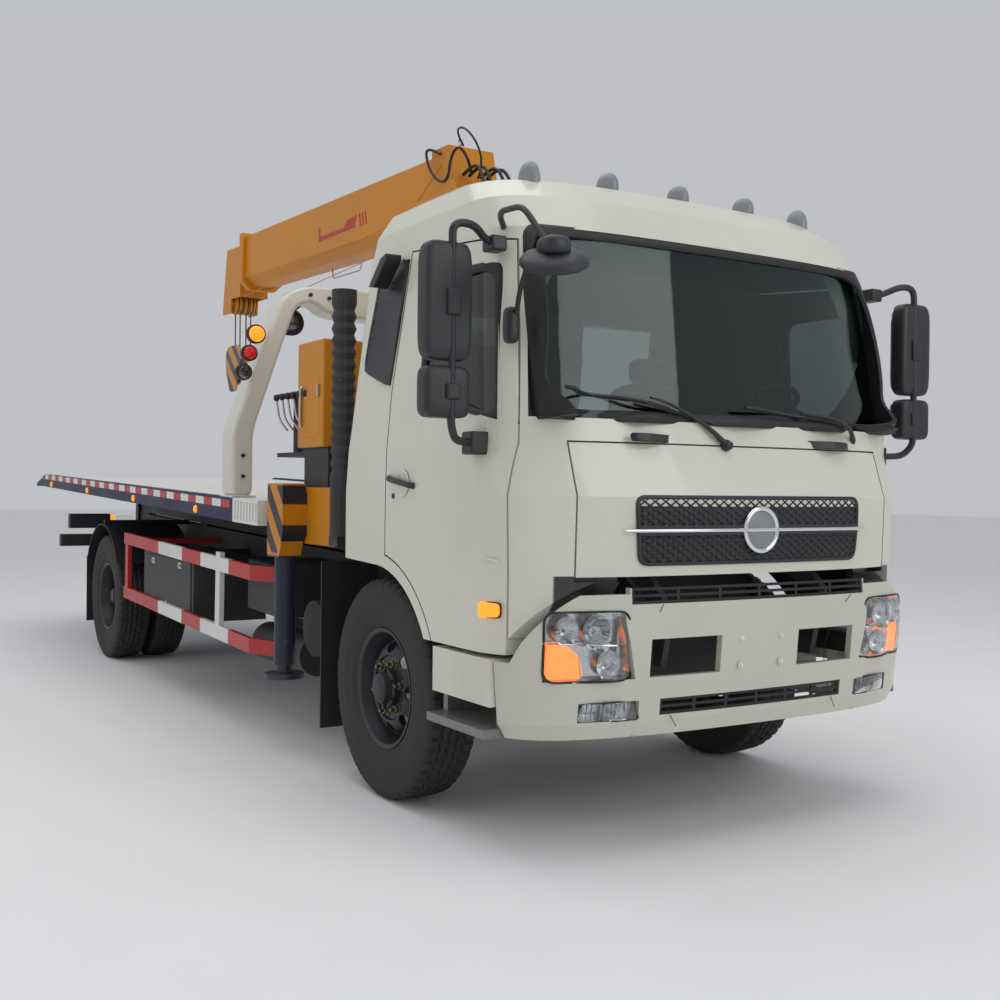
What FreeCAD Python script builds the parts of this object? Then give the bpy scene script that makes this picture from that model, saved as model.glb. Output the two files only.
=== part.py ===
import FreeCAD, Part
import math
import os

# A flatbed tow truck with a slewing crane behind its cab, in millimetres.
# While it is modelled, x runs forward from the front axle, y to the left and z up from the ground.
# Each piece is moved along x at the end, so that the origin lies below the middle of the whole truck.

Vec = FreeCAD.Vector

# Overall layout
wheelbase = 5100.0
tail_reach = 7650.0
cab_half = 1120.0
bed_half = 1200.0
rake_deg = 1.65
seat_gap = 0.3
run_gap = 6.0
cut_over = 20.0

# Wheels and tyres
tyre_radius = 505.0
wheel_sides = 32
tyre_width = 254.0
tyre_bore = 254.0
tyre_tread_half = 96.0
tyre_bulge_radius = 400.0
rim_flange_radius = 275.0
rim_half = 95.0
rim_wall = 14.0
disc_thick = 16.0
hub_radius = 88.0
hub_bore = 35.0
stud_circle = 150.0
hand_hole_radius = 26.0
hand_holes = 8
front_tyre_y = 960.0
rear_tyre_y = 996.0
twin_spacing = 300.0
rear_ball_points = 9
drum_radius = 205.0
front_disc_shift = 52.0
rear_disc_shift = 62.0
front_hub_reach = 150.0
rear_hub_reach = 92.0
hub_cap_radius = 62.0

# Front axle, knuckles and rear axle
kingpin_y = 820.0
kingpin_radius = 20.0
knuckle_boss = 42.0
axle_eye_half = 42.0
knuckle_ear = 32.0
spindle_end = 1070.0
beam_width = 90.0
beam_height = 100.0
beam_drop = 60.0
rear_tube_radius = 72.0
rear_ball_radius = 205.0
rear_spindle_radius = 45.0
rear_spindle_end = 1040.0

# Chassis frame
rail_top = 960.0
rail_height = 250.0
rail_outer = 430.0
rail_flange = 75.0
rail_web = 9.0
rail_front = 1010.0
rail_back = -6780.0
cross_width = 110.0
cross_shares = (0.045, 0.40, 0.50, 0.62, 0.74, 0.86, 0.985)

# Springs
spring_width = 72.0
spring_thick = 62.0
front_spring_half = 720.0
rear_spring_half = 780.0

# Engine, gearbox, shaft and radiator
engine_front = 420.0
engine_back = -560.0
engine_half = 310.0
engine_low = 560.0
engine_high = 1330.0
gearbox_length = 680.0
gearbox_radius = 190.0
gearbox_z = 770.0
shaft_radius = 48.0
radiator_x = 800.0
radiator_thick = 90.0
radiator_half = 330.0
radiator_low = 600.0
radiator_hold_share = 0.75

# Cab shell
cab_low = 790.0
cab_high = 2800.0
cab_nose = 1310.0
cab_back = -373.0
cab_wall = 70.0
cab_rear_corner = 80.0
floor_low = 1090.0
floor_thick = 50.0
tunnel_half = 420.0
tunnel_high = 1430.0
tunnel_front = 560.0
tunnel_wall = 40.0
arch_radius = 570.0
arch_strip = 62.0
arch_back_z = 1105.0
# Heights, nose set-backs, back set-ins, half widths, corner depths, nose flats and corner leads as shares
# of the cab's height, its length, its length, its half width, its half width, its half width and the depth
cab_level_shares = (
    (0.000, 0.012, 0.000, 1.000, 0.36, 0.72, 0.76),
    (0.149, 0.006, 0.000, 1.000, 0.38, 0.72, 0.76),
    (0.303, 0.000, 0.000, 1.000, 0.38, 0.72, 0.76),
    (0.404, 0.051, 0.010, 0.995, 0.33, 0.74, 0.80),
    (0.453, 0.071, 0.017, 0.987, 0.27, 0.77, 0.85),
    (0.830, 0.147, 0.062, 0.933, 0.27, 0.77, 0.85),
    (0.900, 0.190, 0.070, 0.910, 0.28, 0.76, 0.83),
    (0.950, 0.270, 0.094, 0.860, 0.30, 0.74, 0.80),
    (0.985, 0.400, 0.160, 0.750, 0.34, 0.70, 0.76),
    (1.000, 0.500, 0.220, 0.560, 0.20, 0.66, 0.74),
)
roof_start_share = 0.86

# Cab openings
windscreen_low = 1702.0
windscreen_high = 2458.0
windscreen_back = 960.0
windscreen_low_half = 994.0
windscreen_high_half = 932.0
glass_thick = 12.0
glass_inset = 14.0
pillar_side = 30.0
door_front = 1065.0
door_front_high = 960.0
door_lean_z = 1700.0
door_top_front = 2400.0
door_top_back = 2465.0
door_back_high = 215.0
door_back_mid = 120.0
door_mid_z = 1840.0
door_window_front = 1005.0
door_window_front_high = 915.0
door_window_back = 395.0
door_window_high = 2310.0
door_window_low = 1690.0
door_window_rise = 150.0
door_gap = 7.0
rear_window_near = 190.0
rear_window_far = 690.0
rear_window_low = 1850.0
rear_window_high = 2290.0
corner_low = 850.0
corner_edge_x = 1070.0
corner_front_x = 1250.0
flap_half = 850.0
flap_low = 1090.0
nose_room = 90.0
flap_high = 1606.0
flap_thick = 30.0
flap_hinge_x = 1222.0
louvre_front_high = 195.0
louvre_front_low = 100.0
louvre_back_high = -85.0
louvre_back_low = -185.0
louvre_high = 2440.0
louvre_low_front = 1880.0
louvre_low_back = 1970.0
louvre_proud = 5.0
louvre_grooves = 9
louvre_groove = 16.0
louvre_margin = 22.0

# Cab tilt hinge and cab rests
tilt_pivot_x = 1240.0
tilt_pivot_z = 970.0
pivot_pin_radius = 18.0
pivot_eye_radius = 32.0
pivot_ear = 30.0
pivot_lug_length = 200.0
rear_rest_x = -300.0
rear_rest_half = 45.0

# Grille on the front flap
grille_high = 1405.0
grille_low = 1131.0
grille_high_half = 618.0
grille_low_half = 599.0
grille_proud = 8.0
grille_bar_z = 1268.0
grille_bar_half = 9.0
grille_bar_proud = 16.0
badge_radius = 98.0

# Bumper and lamps
bumper_nose = 1332.0
bumper_low = 470.0
bumper_high = 1048.0
bumper_half = 1130.0
bumper_wall = 30.0
bumper_back = 1046.0
bumper_level_shares = (
    (0.00, 0.024, 0.955),
    (0.10, 0.016, 0.985),
    (0.65, 0.000, 1.000),
    (1.00, 0.008, 0.995),
)
bumper_corner_share = 0.34
bumper_flat_share = 0.74
bumper_lead_share = 0.78
side_edge_low = 766.0
corner_drop = 24.0
slot_high = 849.0
slot_low = 700.0
slot_near = 212.0
slot_far = 556.0
slot_plate = 12.0
lower_grille_high = 613.0
lower_grille_low = 548.0
lower_grille_half = 500.0
top_grille_half = 640.0
top_grille_low = 985.0
lower_grille_rows = 2
top_grille_rows = 2
grille_slat = 11.0
grille_upright = 14.0
grille_columns = 6
lamp_near_high = 677.0
lamp_near_low = 620.0
lamp_far = 985.0
lamp_high = 960.0
lamp_low = 697.0
fog_near = 596.0
fog_far = 850.0
fog_high = 612.0
fog_low = 538.0
lamp_proud = 4.0
lamp_depth = 28.0

# Steps, mudguards and side fittings
step_back = 585.0
step_front = 1040.0
step_high = 772.0
step_low = 590.0
step_inner = 760.0
step_wall = 60.0
step_plate_low = 470.0
step_plate_thick = 34.0
step_plate_out = 1150.0
flap_x = -625.0
mud_wall = 10.0
mud_near = 800.0
mud_far = 1110.0
front_flap_low = 215.0
front_guard_high = 1050.0
rear_guard_radius = 585.0
rear_guard_near = 560.0
rear_guard_far = 1150.0
rear_flap_low = 250.0
tank_x = -2950.0
tank_length = 980.0
tank_half = 270.0
tank_y = 790.0
tank_z = 650.0
tank_round = 90.0
toolbox_front = -2710.0
toolbox_back = -3910.0
toolbox_high = 850.0
toolbox_low = 450.0
toolbox_out = 1118.0
toolbox_in = 620.0
battery_front = -1420.0
battery_back = -1950.0
battery_high = 930.0
battery_low = 640.0
battery_out = 1020.0
battery_in = 560.0
cleaner_x = -1010.0
cleaner_z = 665.0
cleaner_radius = 150.0
cleaner_out = 985.0
cleaner_in = 620.0
intake_x = -530.0
intake_y = 1040.0
intake_low = 1180.0
intake_high = 2400.0
intake_bellows_low = 1480.0
intake_bellows_high = 2330.0
intake_radius = 62.0
intake_rib_depth = 12.0
intake_rib_count = 14
intake_sides = 16
intake_foot_half = 50.0
muffler_z = 590.0
muffler_y = 840.0
muffler_radius = 115.0
muffler_front = -1280.0
muffler_back = -2050.0
guard_y = 1150.0
guard_thick = 30.0
guard_upper_low = 845.0
guard_upper_high = 930.0
guard_lower_low = 430.0
guard_lower_high = 515.0
guard_front = -1380.0
guard_back = -4380.0
guard_post_x = -2130.0
guard_post_width = 80.0
guard_post_high = 960.0
guard_bend_x = -1560.0
guard_bend_in = 110.0
guard_back_post_x = -4300.0
guard_arm_half = 20.0
under_bar_x = -6900.0
under_bar_z = 690.0
under_bar_half = 1120.0
under_bar_height = 110.0
under_bar_depth = 90.0
under_hanger_length = 306.0
under_hanger_high_share = 0.3
under_hanger_low_share = 0.9
tail_lamp_x = -6560.0
tail_lamp_length = 90.0
tail_lamp_low = 830.0
tail_lamp_high = 960.0
tail_lamp_near = 760.0

# Tilt frame below the bed
tilt_front = -1560.0
tilt_hinge_x = -6720.0
tilt_hinge_z = 1010.0
tilt_hinge_radius = 26.0
tilt_rail_outer = 425.0
tilt_rail_inner = 345.0
tilt_rail_low = 975.0
tilt_rail_high = 1110.0
tilt_boss_radius = 46.0
bed_travel = 2650.0
bed_tilt_deg = 8.0
pad_length = 160.0

# Bed
bed_front = -1320.0
bed_side_front = -1710.0
bed_side_low = 1169.0
bed_side_high = 1306.0
bed_tail_start = -7260.0
bed_tail_thin = 26.0
bed_side_thick = 60.0
bed_floor_thick = 24.0
bed_floor_drop = 18.0
bed_runner_outer = 420.0
bed_runner_inner = 350.0
bed_cross_height = 60.0
bed_cross_width = 90.0
bed_cross_count = 9
bed_rib_count = 8
bed_rib_depth = 10.0
bed_rib_margin = 16.0
slide_cylinder_z = 1062.0
slide_barrel_radius = 40.0
slide_rod_radius = 25.0
slide_barrel_front = -1700.0
slide_barrel_back = -4700.0
slide_eye_x = -4860.0
slide_rod_inset = 150.0

# Arch on the bed
arch_back = -1935.0
arch_front = -1745.0
arch_foot_half = 1195.0
arch_knee_z = 1730.0
arch_top_half = 850.0
arch_top_z = 2625.0
arch_member = 130.0
arch_bar_height = 150.0
arch_bend = 170.0

# Bed winch
winch_x = -1530.0
winch_drum_radius = 70.0
winch_half = 240.0
winch_z = 1445.0
winch_cheek = 24.0
winch_cheek_radius = 105.0

# Crane base and outriggers
crane_x = -950.0
base_front = -640.0
base_back = -1262.0
base_half = 1030.0
base_low = 1120.0
base_high = 1420.0
base_wall = 22.0
base_foot_low = 998.0
base_foot_half = 430.0
beam_box_high = 1385.0
beam_box_low = 1160.0
right_beam_back = -1235.0
right_beam_front = -1010.0
beam_inner = 40.0
beam_travel = 900.0
leg_x_share = 0.5
leg_y = 1105.0
leg_house_half = 62.0
leg_house_high = 1440.0
leg_house_low = 1045.0
leg_barrel_radius = 57.0
leg_rod_radius = 42.0
leg_barrel_low = 470.0
leg_foot_low = 398.0
leg_foot_radius = 105.0
leg_foot_thick = 26.0
leg_travel = 385.0
leg_rod_high = 1300.0

# Crane control station and oil tank
oil_front = -835.0
oil_back = -1190.0
oil_out = 1020.0
oil_in = 790.0
oil_low = 1630.0
oil_high = 2215.0
oil_round = 55.0
valve_front = -830.0
valve_back = -1150.0
valve_out = 990.0
valve_in = 800.0
lever_rod_radius = 12.0
lever_plate = 24.0
lever_front = -1215.0
lever_back = -1560.0
lever_low = 1590.0
lever_high = 1950.0

# Crane column and boom
slew_ring_radius = 250.0
slew_ring_height = 70.0
column_low_half = 190.0
column_high_half = 150.0
column_side = 26.0
column_top = 3180.0
column_head_half = 95.0
column_neck = 2300.0
boom_pivot_back = 100.0
boom_pivot_z = 3100.0
boom_pin_radius = 35.0
boom_root_high = -1100.0
boom_root_low = -960.0
boom_low = 2953.0
boom_high = 3355.0
boom_crest = 45.0
boom_crest_back = -1300.0
boom_collar_out = 28.0
boom_collar_length = 85.0
boom_lift_deg = 1.93
boom_half = 150.0
boom_chamfer = 70.0
boom_wall = 12.0
boom_front_end = -4600.0
boom_gap = 8.0
section_two_end = -4670.0
section_three_end = -4740.0
section_two_travel = 2300.0
section_three_travel = 2300.0
section_inner_end = -1250.0
head_back_high = -5080.0
head_back_low = -5165.0
head_front_low = -4965.0
head_low = 2770.0
head_neck = 2890.0
head_half = 122.0
head_plate = 14.0
sheave_x = -4990.0
sheave_z = 2856.0
sheave_radius = 88.0
roller_x = -4900.0
roller_z = 2935.0
roller_radius = 22.0
luff_foot_out = 240.0
luff_foot_z = 1760.0
luff_eye_out = 700.0
luff_eye_z = 2852.0
luff_barrel_radius = 75.0
luff_rod_radius = 48.0
luff_barrel_share = 0.8
luff_eye_radius = 58.0
luff_lug_half = 139.2
luff_ear_thick = 22.0
luff_eye_half = 52.0
eye_half = 40.0
luff_pin_radius = 26.0
boom_pad = 60.0
hoist_z = 2000.0
hoist_drum_radius = 90.0
hoist_half = 130.0

# Hook block
hook_top = 2630.0
hook_bottom = 2235.0
hook_half_x = 200.0
hook_half_y = 90.0
rope_radius = 6.0
rope_spread_y = 70.0
rope_top_z = 2905.0
hook_radius = 62.0
hook_thick = 17.0
hook_sides = 24
hook_corners = 8
# Half outline of the hook block: shares of its half width out, and of its height up
hook_outline_shares = ((-0.6, 1.0), (-0.9, 0.9), (-1.0, 0.7), (-0.9, 0.45), (-0.4, 0.0),
                       (0.4, 0.0), (0.9, 0.45), (1.0, 0.7), (0.9, 0.9), (0.6, 1.0))

# Tilt cylinders
tilt_foot_x = -4550.0
tilt_foot_z = 800.0
tilt_eye_x = -3080.0
tilt_eye_z = 1020.0
tilt_cylinder_y = 240.0
tilt_barrel_radius = 55.0
tilt_rod_radius = 35.0
tilt_barrel_share = 0.84
tilt_pin_radius = 22.0
tilt_eye_radius = 48.0
eye_room = 30.0

# Cab fittings
dash_front = 1090.0
dash_back = 800.0
dash_low = 1420.0
dash_high = 1690.0
dash_half = 960.0
door_sweep = 304.0
seat_half = 260.0
seat_y = 520.0
seat_front = 420.0
seat_back = -130.0
seat_high = 1560.0
seat_back_high = 2120.0
seat_pad = 150.0
wheel_x = 690.0
wheel_z = 1800.0
wheel_radius = 230.0
wheel_tube = 17.0
wheel_lean_deg = 28.0
wheel_tube_corners = 8
wheel_hub_share = 0.24
mirror_x = 985.0
mirror_root_x = 915.0
mirror_near = 1205.0
mirror_far = 1415.0
mirror_depth = 90.0
mirror_round = 27.0
mirror_low = 1900.0
mirror_high = 2350.0
wide_low = 1685.0
wide_high = 1885.0
mirror_tube = 15.0
mirror_elbow = 19.0
mirror_arm_y = 1290.0
mirror_foot_low = 1610.0
mirror_foot_high = 2385.0
round_mirror_x = 1430.0
round_mirror_y = -1075.0
round_mirror_z = 2275.0
round_mirror_radius = 150.0
round_mirror_thick = 75.0
round_arm_x = 900.0
round_arm_y = 1000.0
round_arm_z = 2450.0
roof_lamp_length = 120.0
roof_lamp_half = 38.0
roof_lamp_low = 2616.0
roof_lamp_top = 2790.0
roof_lamp_round = 34.0
roof_lamp_x = 766.0
roof_lamp_side_x = 734.0
roof_lamp_shares = (-0.69, -0.35, 0.0, 0.35, 0.69)
wiper_radius = 9.0
handle_front = 380.0
handle_back = 150.0
handle_z = 1440.0
handle_height = 46.0
handle_depth = 34.0

front_reach = round_mirror_x + round_mirror_thick / 2
origin_shift = (tail_reach - front_reach) / 2
rake = math.radians(rake_deg)
rake_pivot = Vec(0, 0, tyre_radius)
nodes = {}


def block(x_low, x_high, y_low, y_high, z_low, z_high):
    return Part.makeBox(x_high - x_low, y_high - y_low, z_high - z_low, Vec(x_low, y_low, z_low))


def rod(start, end, radius):
    line = end - start
    return Part.makeCylinder(radius, line.Length, start, line)


def tube(start, end, outer, inner):
    return rod(start, end, outer).cut(rod(start, end, inner))


def side_prism(points, y_low, y_high):
    # Outline in x and z, carried across from y_low to y_high
    corners = [Vec(x, y_low, z) for x, z in points]
    face = Part.Face(Part.makePolygon(corners + corners[:1]))
    return face.extrude(Vec(0, y_high - y_low, 0))


def front_prism(points, x_low, x_high):
    # Outline in y and z, carried along from x_low to x_high
    corners = [Vec(x_low, y, z) for y, z in points]
    face = Part.Face(Part.makePolygon(corners + corners[:1]))
    return face.extrude(Vec(x_high - x_low, 0, 0))


def plan_prism(points, z_low, z_high):
    # Outline in x and y, carried up from z_low to z_high
    corners = [Vec(x, y, z_low) for x, y in points]
    face = Part.Face(Part.makePolygon(corners + corners[:1]))
    return face.extrude(Vec(0, 0, z_high - z_low))


def mirrored(shape):
    return shape.mirror(Vec(0, 0, 0), Vec(0, 1, 0))


def join(shapes):
    whole = shapes[0]
    for shape in shapes[1:]:
        whole = whole.fuse(shape)
    return whole.removeSplitter()


def both(shape):
    return [shape, mirrored(shape)]


def raked(shape):
    # The unladen frame rises towards the rear, about the front axle
    turned = shape.copy()
    turned.rotate(rake_pivot, Vec(0, 1, 0), rake_deg)
    return turned


def lifted(shape):
    # The stowed boom rises a little towards its tip, about its pivot
    turned = shape.copy()
    turned.rotate(Vec(crane_x - boom_pivot_back, 0, boom_pivot_z), Vec(0, 1, 0), boom_lift_deg)
    return turned


def lifted_point(x, y, z):
    pivot_x = crane_x - boom_pivot_back
    rise = z - boom_pivot_z
    reach = x - pivot_x
    lift = math.radians(boom_lift_deg)
    return Vec(pivot_x + reach * math.cos(lift) + rise * math.sin(lift), y,
               boom_pivot_z - reach * math.sin(lift) + rise * math.cos(lift))


def raked_point(x, y, z):
    rise = z - rake_pivot.z
    return Vec(x * math.cos(rake) + rise * math.sin(rake), y,
               rake_pivot.z - x * math.sin(rake) + rise * math.cos(rake))


def solids_of(shapes):
    found = []
    for shape in shapes:
        found.extend(shape.Solids)
    return found


def keep(name, shapes):
    nodes[name] = solids_of(shapes)


def rounded_box(x_low, x_high, y_low, y_high, z_low, z_high, radius, along):
    # The four edges that run along the given direction are rounded
    body = block(x_low, x_high, y_low, y_high, z_low, z_high)
    edges = [edge for edge in body.Edges if abs(edge.tangentAt(edge.FirstParameter).dot(along)) > 0.5]
    return body.makeFillet(radius, edges)


def turned_point(y, radius, angle):
    return Vec(radius * math.cos(angle), y, radius * math.sin(angle))


def lathe(points, sides=wheel_sides):
    # Outline in y and radius, carried round the y axis in flat facets whose middles touch the true circle
    reach = 1 / math.cos(math.pi / sides)
    closed = points + points[:1]
    faces = []
    for number in range(sides):
        low = 2 * math.pi * (number - 0.5) / sides
        high = 2 * math.pi * (number + 0.5) / sides
        for (y, radius), (next_y, next_radius) in zip(closed, closed[1:]):
            corners = [turned_point(y, radius * reach, low), turned_point(next_y, next_radius * reach, low)]
            if next_radius > seat_gap:
                corners.append(turned_point(next_y, next_radius * reach, high))
            if radius > seat_gap:
                corners.append(turned_point(y, radius * reach, high))
            if len(corners) > 2:
                faces.append(Part.Face(Part.makePolygon(corners + corners[:1])))
    shell = Part.makeShell(faces)
    shell.sewShape()
    solid = Part.makeSolid(shell)
    return solid if solid.Volume > 0 else solid.reversed()


def ring(radius, thick, sides, corners):
    # A ring round the y axis whose section is a regular polygon
    steps = [2 * math.pi * number / corners for number in range(corners)]
    return lathe([(thick * math.cos(step), radius + thick * math.sin(step)) for step in steps], sides)


# Wheels


def tyre():
    half = tyre_width / 2
    bore = tyre_bore + seat_gap
    shoulder = (tyre_radius + tyre_bulge_radius) / 2
    bead = (bore + tyre_bulge_radius) / 2
    bead_half = rim_half - rim_wall - seat_gap
    side = [(bead_half, bore), (bead_half, rim_flange_radius + seat_gap),
            (half * 0.92, bead), (half, tyre_bulge_radius),
            (half * 0.97, shoulder), (tyre_tread_half, tyre_radius)]
    other = [(-y, radius) for y, radius in reversed(side)]
    return lathe(side + other)


def rim(disc_shift, hub_reach, has_drum):
    # The outer side of the rim faces +y
    barrel_inner = tyre_bore - rim_wall
    outline = [(rim_half, barrel_inner), (rim_half, rim_flange_radius),
               (rim_half - rim_wall, rim_flange_radius), (rim_half - rim_wall, tyre_bore),
               (-rim_half + rim_wall, tyre_bore), (-rim_half + rim_wall, rim_flange_radius),
               (-rim_half, rim_flange_radius), (-rim_half, barrel_inner)]
    barrel = lathe(outline)
    disc_outline = [(disc_shift, 0), (disc_shift, stud_circle), (0, barrel_inner + rim_wall / 2),
                    (-disc_thick, barrel_inner + rim_wall / 2),
                    (disc_shift - disc_thick, stud_circle - disc_thick), (disc_shift - disc_thick, 0)]
    disc = lathe(disc_outline)
    hub = rod(Vec(0, disc_shift - disc_thick, 0), Vec(0, hub_reach, 0), hub_radius)
    cap = rod(Vec(0, hub_reach, 0), Vec(0, hub_reach + disc_thick, 0), hub_cap_radius)
    body = join([barrel, disc, hub, cap])
    hole_circle = (stud_circle + barrel_inner) / 2
    for number in range(hand_holes):
        angle = 2 * math.pi * (number + 0.5) / hand_holes
        centre = Vec(hole_circle * math.cos(angle), 0, hole_circle * math.sin(angle))
        body = body.cut(rod(centre - Vec(0, rim_half, 0), centre + Vec(0, rim_half, 0), hand_hole_radius))
    if has_drum:
        drum = rod(Vec(0, -rim_half + disc_thick, 0), Vec(0, disc_shift - disc_thick, 0), drum_radius)
        body = join([body, drum])
    return body


def place_wheel(shape, x, y):
    # A wheel on the right side is the mirror image of one on the left
    placed = shape.copy()
    placed.translate(Vec(x, abs(y), tyre_radius))
    return placed if y > 0 else mirrored(placed)


def make_wheels():
    tyre_shape = tyre()
    front_bore = rod(Vec(0, -tyre_width, 0), Vec(0, spindle_end - front_tyre_y + seat_gap, 0),
                     hub_bore + seat_gap)
    front_rim = rim(front_disc_shift, front_hub_reach, True).cut(front_bore)
    outer_rim = rim(-rear_disc_shift, rear_hub_reach, False)
    inner_rim = rim(rear_disc_shift, rear_disc_shift + disc_thick, True)
    inner_rim.translate(Vec(0, -twin_spacing, 0))
    inner_hub = rod(Vec(0, -twin_spacing - rim_half + disc_thick, 0), Vec(0, -rear_disc_shift, 0),
                    hub_radius)
    rear_bore = rod(Vec(0, -twin_spacing - tyre_width, 0),
                    Vec(0, rear_spindle_end - rear_tyre_y + seat_gap, 0),
                    rear_spindle_radius + seat_gap)
    rear_rims = join([outer_rim, inner_rim, inner_hub]).cut(rear_bore)
    inner_tyre = tyre_shape.copy()
    inner_tyre.translate(Vec(0, -twin_spacing, 0))
    for side, sign in (("left", 1), ("right", -1)):
        keep("tyre_front_" + side, [place_wheel(tyre_shape, 0, sign * front_tyre_y)])
        keep("rim_front_" + side, [place_wheel(front_rim, 0, sign * front_tyre_y)])
        pair = [place_wheel(tyre_shape, -wheelbase, sign * rear_tyre_y),
                place_wheel(inner_tyre, -wheelbase, sign * rear_tyre_y)]
        keep("tyres_rear_" + side, pair)
        keep("rims_rear_" + side, [place_wheel(rear_rims, -wheelbase, sign * rear_tyre_y)])


# Axles and knuckles
def make_axles():
    axle_z = tyre_radius
    half = beam_width / 2
    pad_y = rail_outer - rail_flange / 2
    outline = [(-kingpin_y, axle_z - axle_eye_half),
               (-pad_y - spring_width, axle_z - beam_drop - beam_height),
               (pad_y + spring_width, axle_z - beam_drop - beam_height),
               (kingpin_y, axle_z - axle_eye_half),
               (kingpin_y, axle_z + axle_eye_half), (pad_y + spring_width, axle_z - beam_drop),
               (-pad_y - spring_width, axle_z - beam_drop), (-kingpin_y, axle_z + axle_eye_half)]
    beam = front_prism(outline, -half, half)
    low = Vec(0, kingpin_y, axle_z - axle_eye_half)
    high = Vec(0, kingpin_y, axle_z + axle_eye_half)
    for piece in both(rod(low - Vec(0, 0, knuckle_ear + run_gap), low, knuckle_boss + run_gap)):
        beam = beam.cut(piece)
    eye = rod(low, high, knuckle_boss + seat_gap)
    beam = join([beam] + both(eye))
    clear = block(-half - cut_over, half + cut_over, kingpin_y, spindle_end, low.z - cut_over,
                  high.z + cut_over)
    clear = clear.cut(rod(low - Vec(0, 0, cut_over), high + Vec(0, 0, cut_over), knuckle_boss + seat_gap))
    bore = rod(low - Vec(0, 0, cut_over), high + Vec(0, 0, cut_over), kingpin_radius + seat_gap)
    for piece in both(bore) + both(clear):
        beam = beam.cut(piece)
    springs = make_springs()
    keep("front_axle", [beam] + springs[:2])

    ear_gap = seat_gap * 2
    pin = rod(low - Vec(0, 0, ear_gap + knuckle_ear), high + Vec(0, 0, ear_gap + knuckle_ear),
              kingpin_radius)
    fork_x = knuckle_boss
    wall_y = kingpin_y + knuckle_boss + ear_gap
    upper = rod(high + Vec(0, 0, ear_gap), high + Vec(0, 0, ear_gap + knuckle_ear), knuckle_boss)
    lower = rod(low - Vec(0, 0, ear_gap), low - Vec(0, 0, ear_gap + knuckle_ear), knuckle_boss)
    high_bridge = block(-fork_x, fork_x, kingpin_y, wall_y + knuckle_ear / 2,
                        high.z + ear_gap, high.z + ear_gap + knuckle_ear)
    low_bridge = block(-fork_x, fork_x, kingpin_y, wall_y + knuckle_ear / 2,
                       low.z - ear_gap - knuckle_ear, low.z - ear_gap)
    back = block(-fork_x, fork_x, wall_y, wall_y + knuckle_ear / 2,
                 low.z - ear_gap - knuckle_ear, high.z + ear_gap + knuckle_ear)
    spindle = rod(Vec(0, wall_y, axle_z), Vec(0, spindle_end, axle_z), hub_bore)
    knuckle = join([upper, lower, high_bridge, low_bridge, back, spindle, pin])
    knuckle = knuckle.cut(tube(low, high, knuckle_boss + ear_gap, kingpin_radius))
    keep("knuckle_left", [knuckle])
    keep("knuckle_right", [mirrored(knuckle)])

    centre = Vec(-wheelbase, 0, axle_z)
    inner_face = rear_tyre_y - twin_spacing - rim_half
    housing = rod(centre - Vec(0, inner_face, 0), centre + Vec(0, inner_face, 0), rear_tube_radius)
    spindles = rod(centre - Vec(0, rear_spindle_end, 0), centre + Vec(0, rear_spindle_end, 0),
                   rear_spindle_radius)
    ball_steps = [math.pi * number / (rear_ball_points - 1) for number in range(rear_ball_points)]
    ball = lathe([(-rear_ball_radius * math.cos(step),
                   rear_ball_radius * math.sin(step)) for step in ball_steps])
    ball.translate(centre)
    nose = rod(centre, centre + Vec(rear_ball_radius + rear_tube_radius, 0, 0), rear_tube_radius)
    keep("rear_axle", [join([housing, spindles, ball, nose])] + springs[2:])


def leaf_spring(centre_x, half_length, low_z, end_z, y):
    # A curved pack: an arc through its two eyes and the axle's pad
    ends = [Vec(centre_x - half_length, y, end_z), Vec(centre_x + half_length, y, end_z)]
    middle = Vec(centre_x, y, low_z)
    up = Vec(0, 0, spring_thick)
    lower = Part.Arc(ends[0], middle, ends[1]).toShape()
    upper = Part.Arc(ends[0] + up, middle + up, ends[1] + up).toShape()
    sides = [Part.makeLine(ends[0], ends[0] + up), Part.makeLine(ends[1], ends[1] + up)]
    face = Part.Face(Part.Wire(Part.__sortEdges__([lower, sides[1], upper, sides[0]])))
    shape = face.extrude(Vec(0, spring_width, 0))
    shape.translate(Vec(0, -spring_width / 2, 0))
    return shape


def make_springs():
    y = rail_outer - rail_flange / 2
    front_low = tyre_radius - beam_drop + seat_gap
    front_end = rail_top - rail_height - spring_thick - rail_web * 2
    front = leaf_spring(0, front_spring_half, front_low, front_end, y)
    rear_low = tyre_radius + rear_tube_radius + seat_gap
    rear_rise = wheelbase * math.sin(rake)
    rear_end = rail_top + rear_rise - rail_height - spring_thick - rail_web * 4
    rear = leaf_spring(-wheelbase, rear_spring_half, rear_low, rear_end, y)
    hangers = []
    for centre_x, half_length, end_z in ((0, front_spring_half, front_end),
                                         (-wheelbase, rear_spring_half, rear_end)):
        for sign in (-1, 1):
            x = centre_x + sign * (half_length - spring_width / 2)
            hangers.append(block(x - spring_width / 2, x + spring_width / 2, y - spring_width / 2,
                                 y + spring_width / 2, end_z, end_z + spring_thick + rail_height / 2))
    pieces = [join([front, hangers[0], hangers[1]]), join([rear, hangers[2], hangers[3]])]
    below = raked(block(rail_back, rail_front, -rail_outer * 2, rail_outer * 2,
                        rail_top - rail_height - seat_gap, rail_top))
    trimmed = [piece.cut(below) for piece in pieces]
    return [shape for piece in trimmed for shape in both(piece)]


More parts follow.
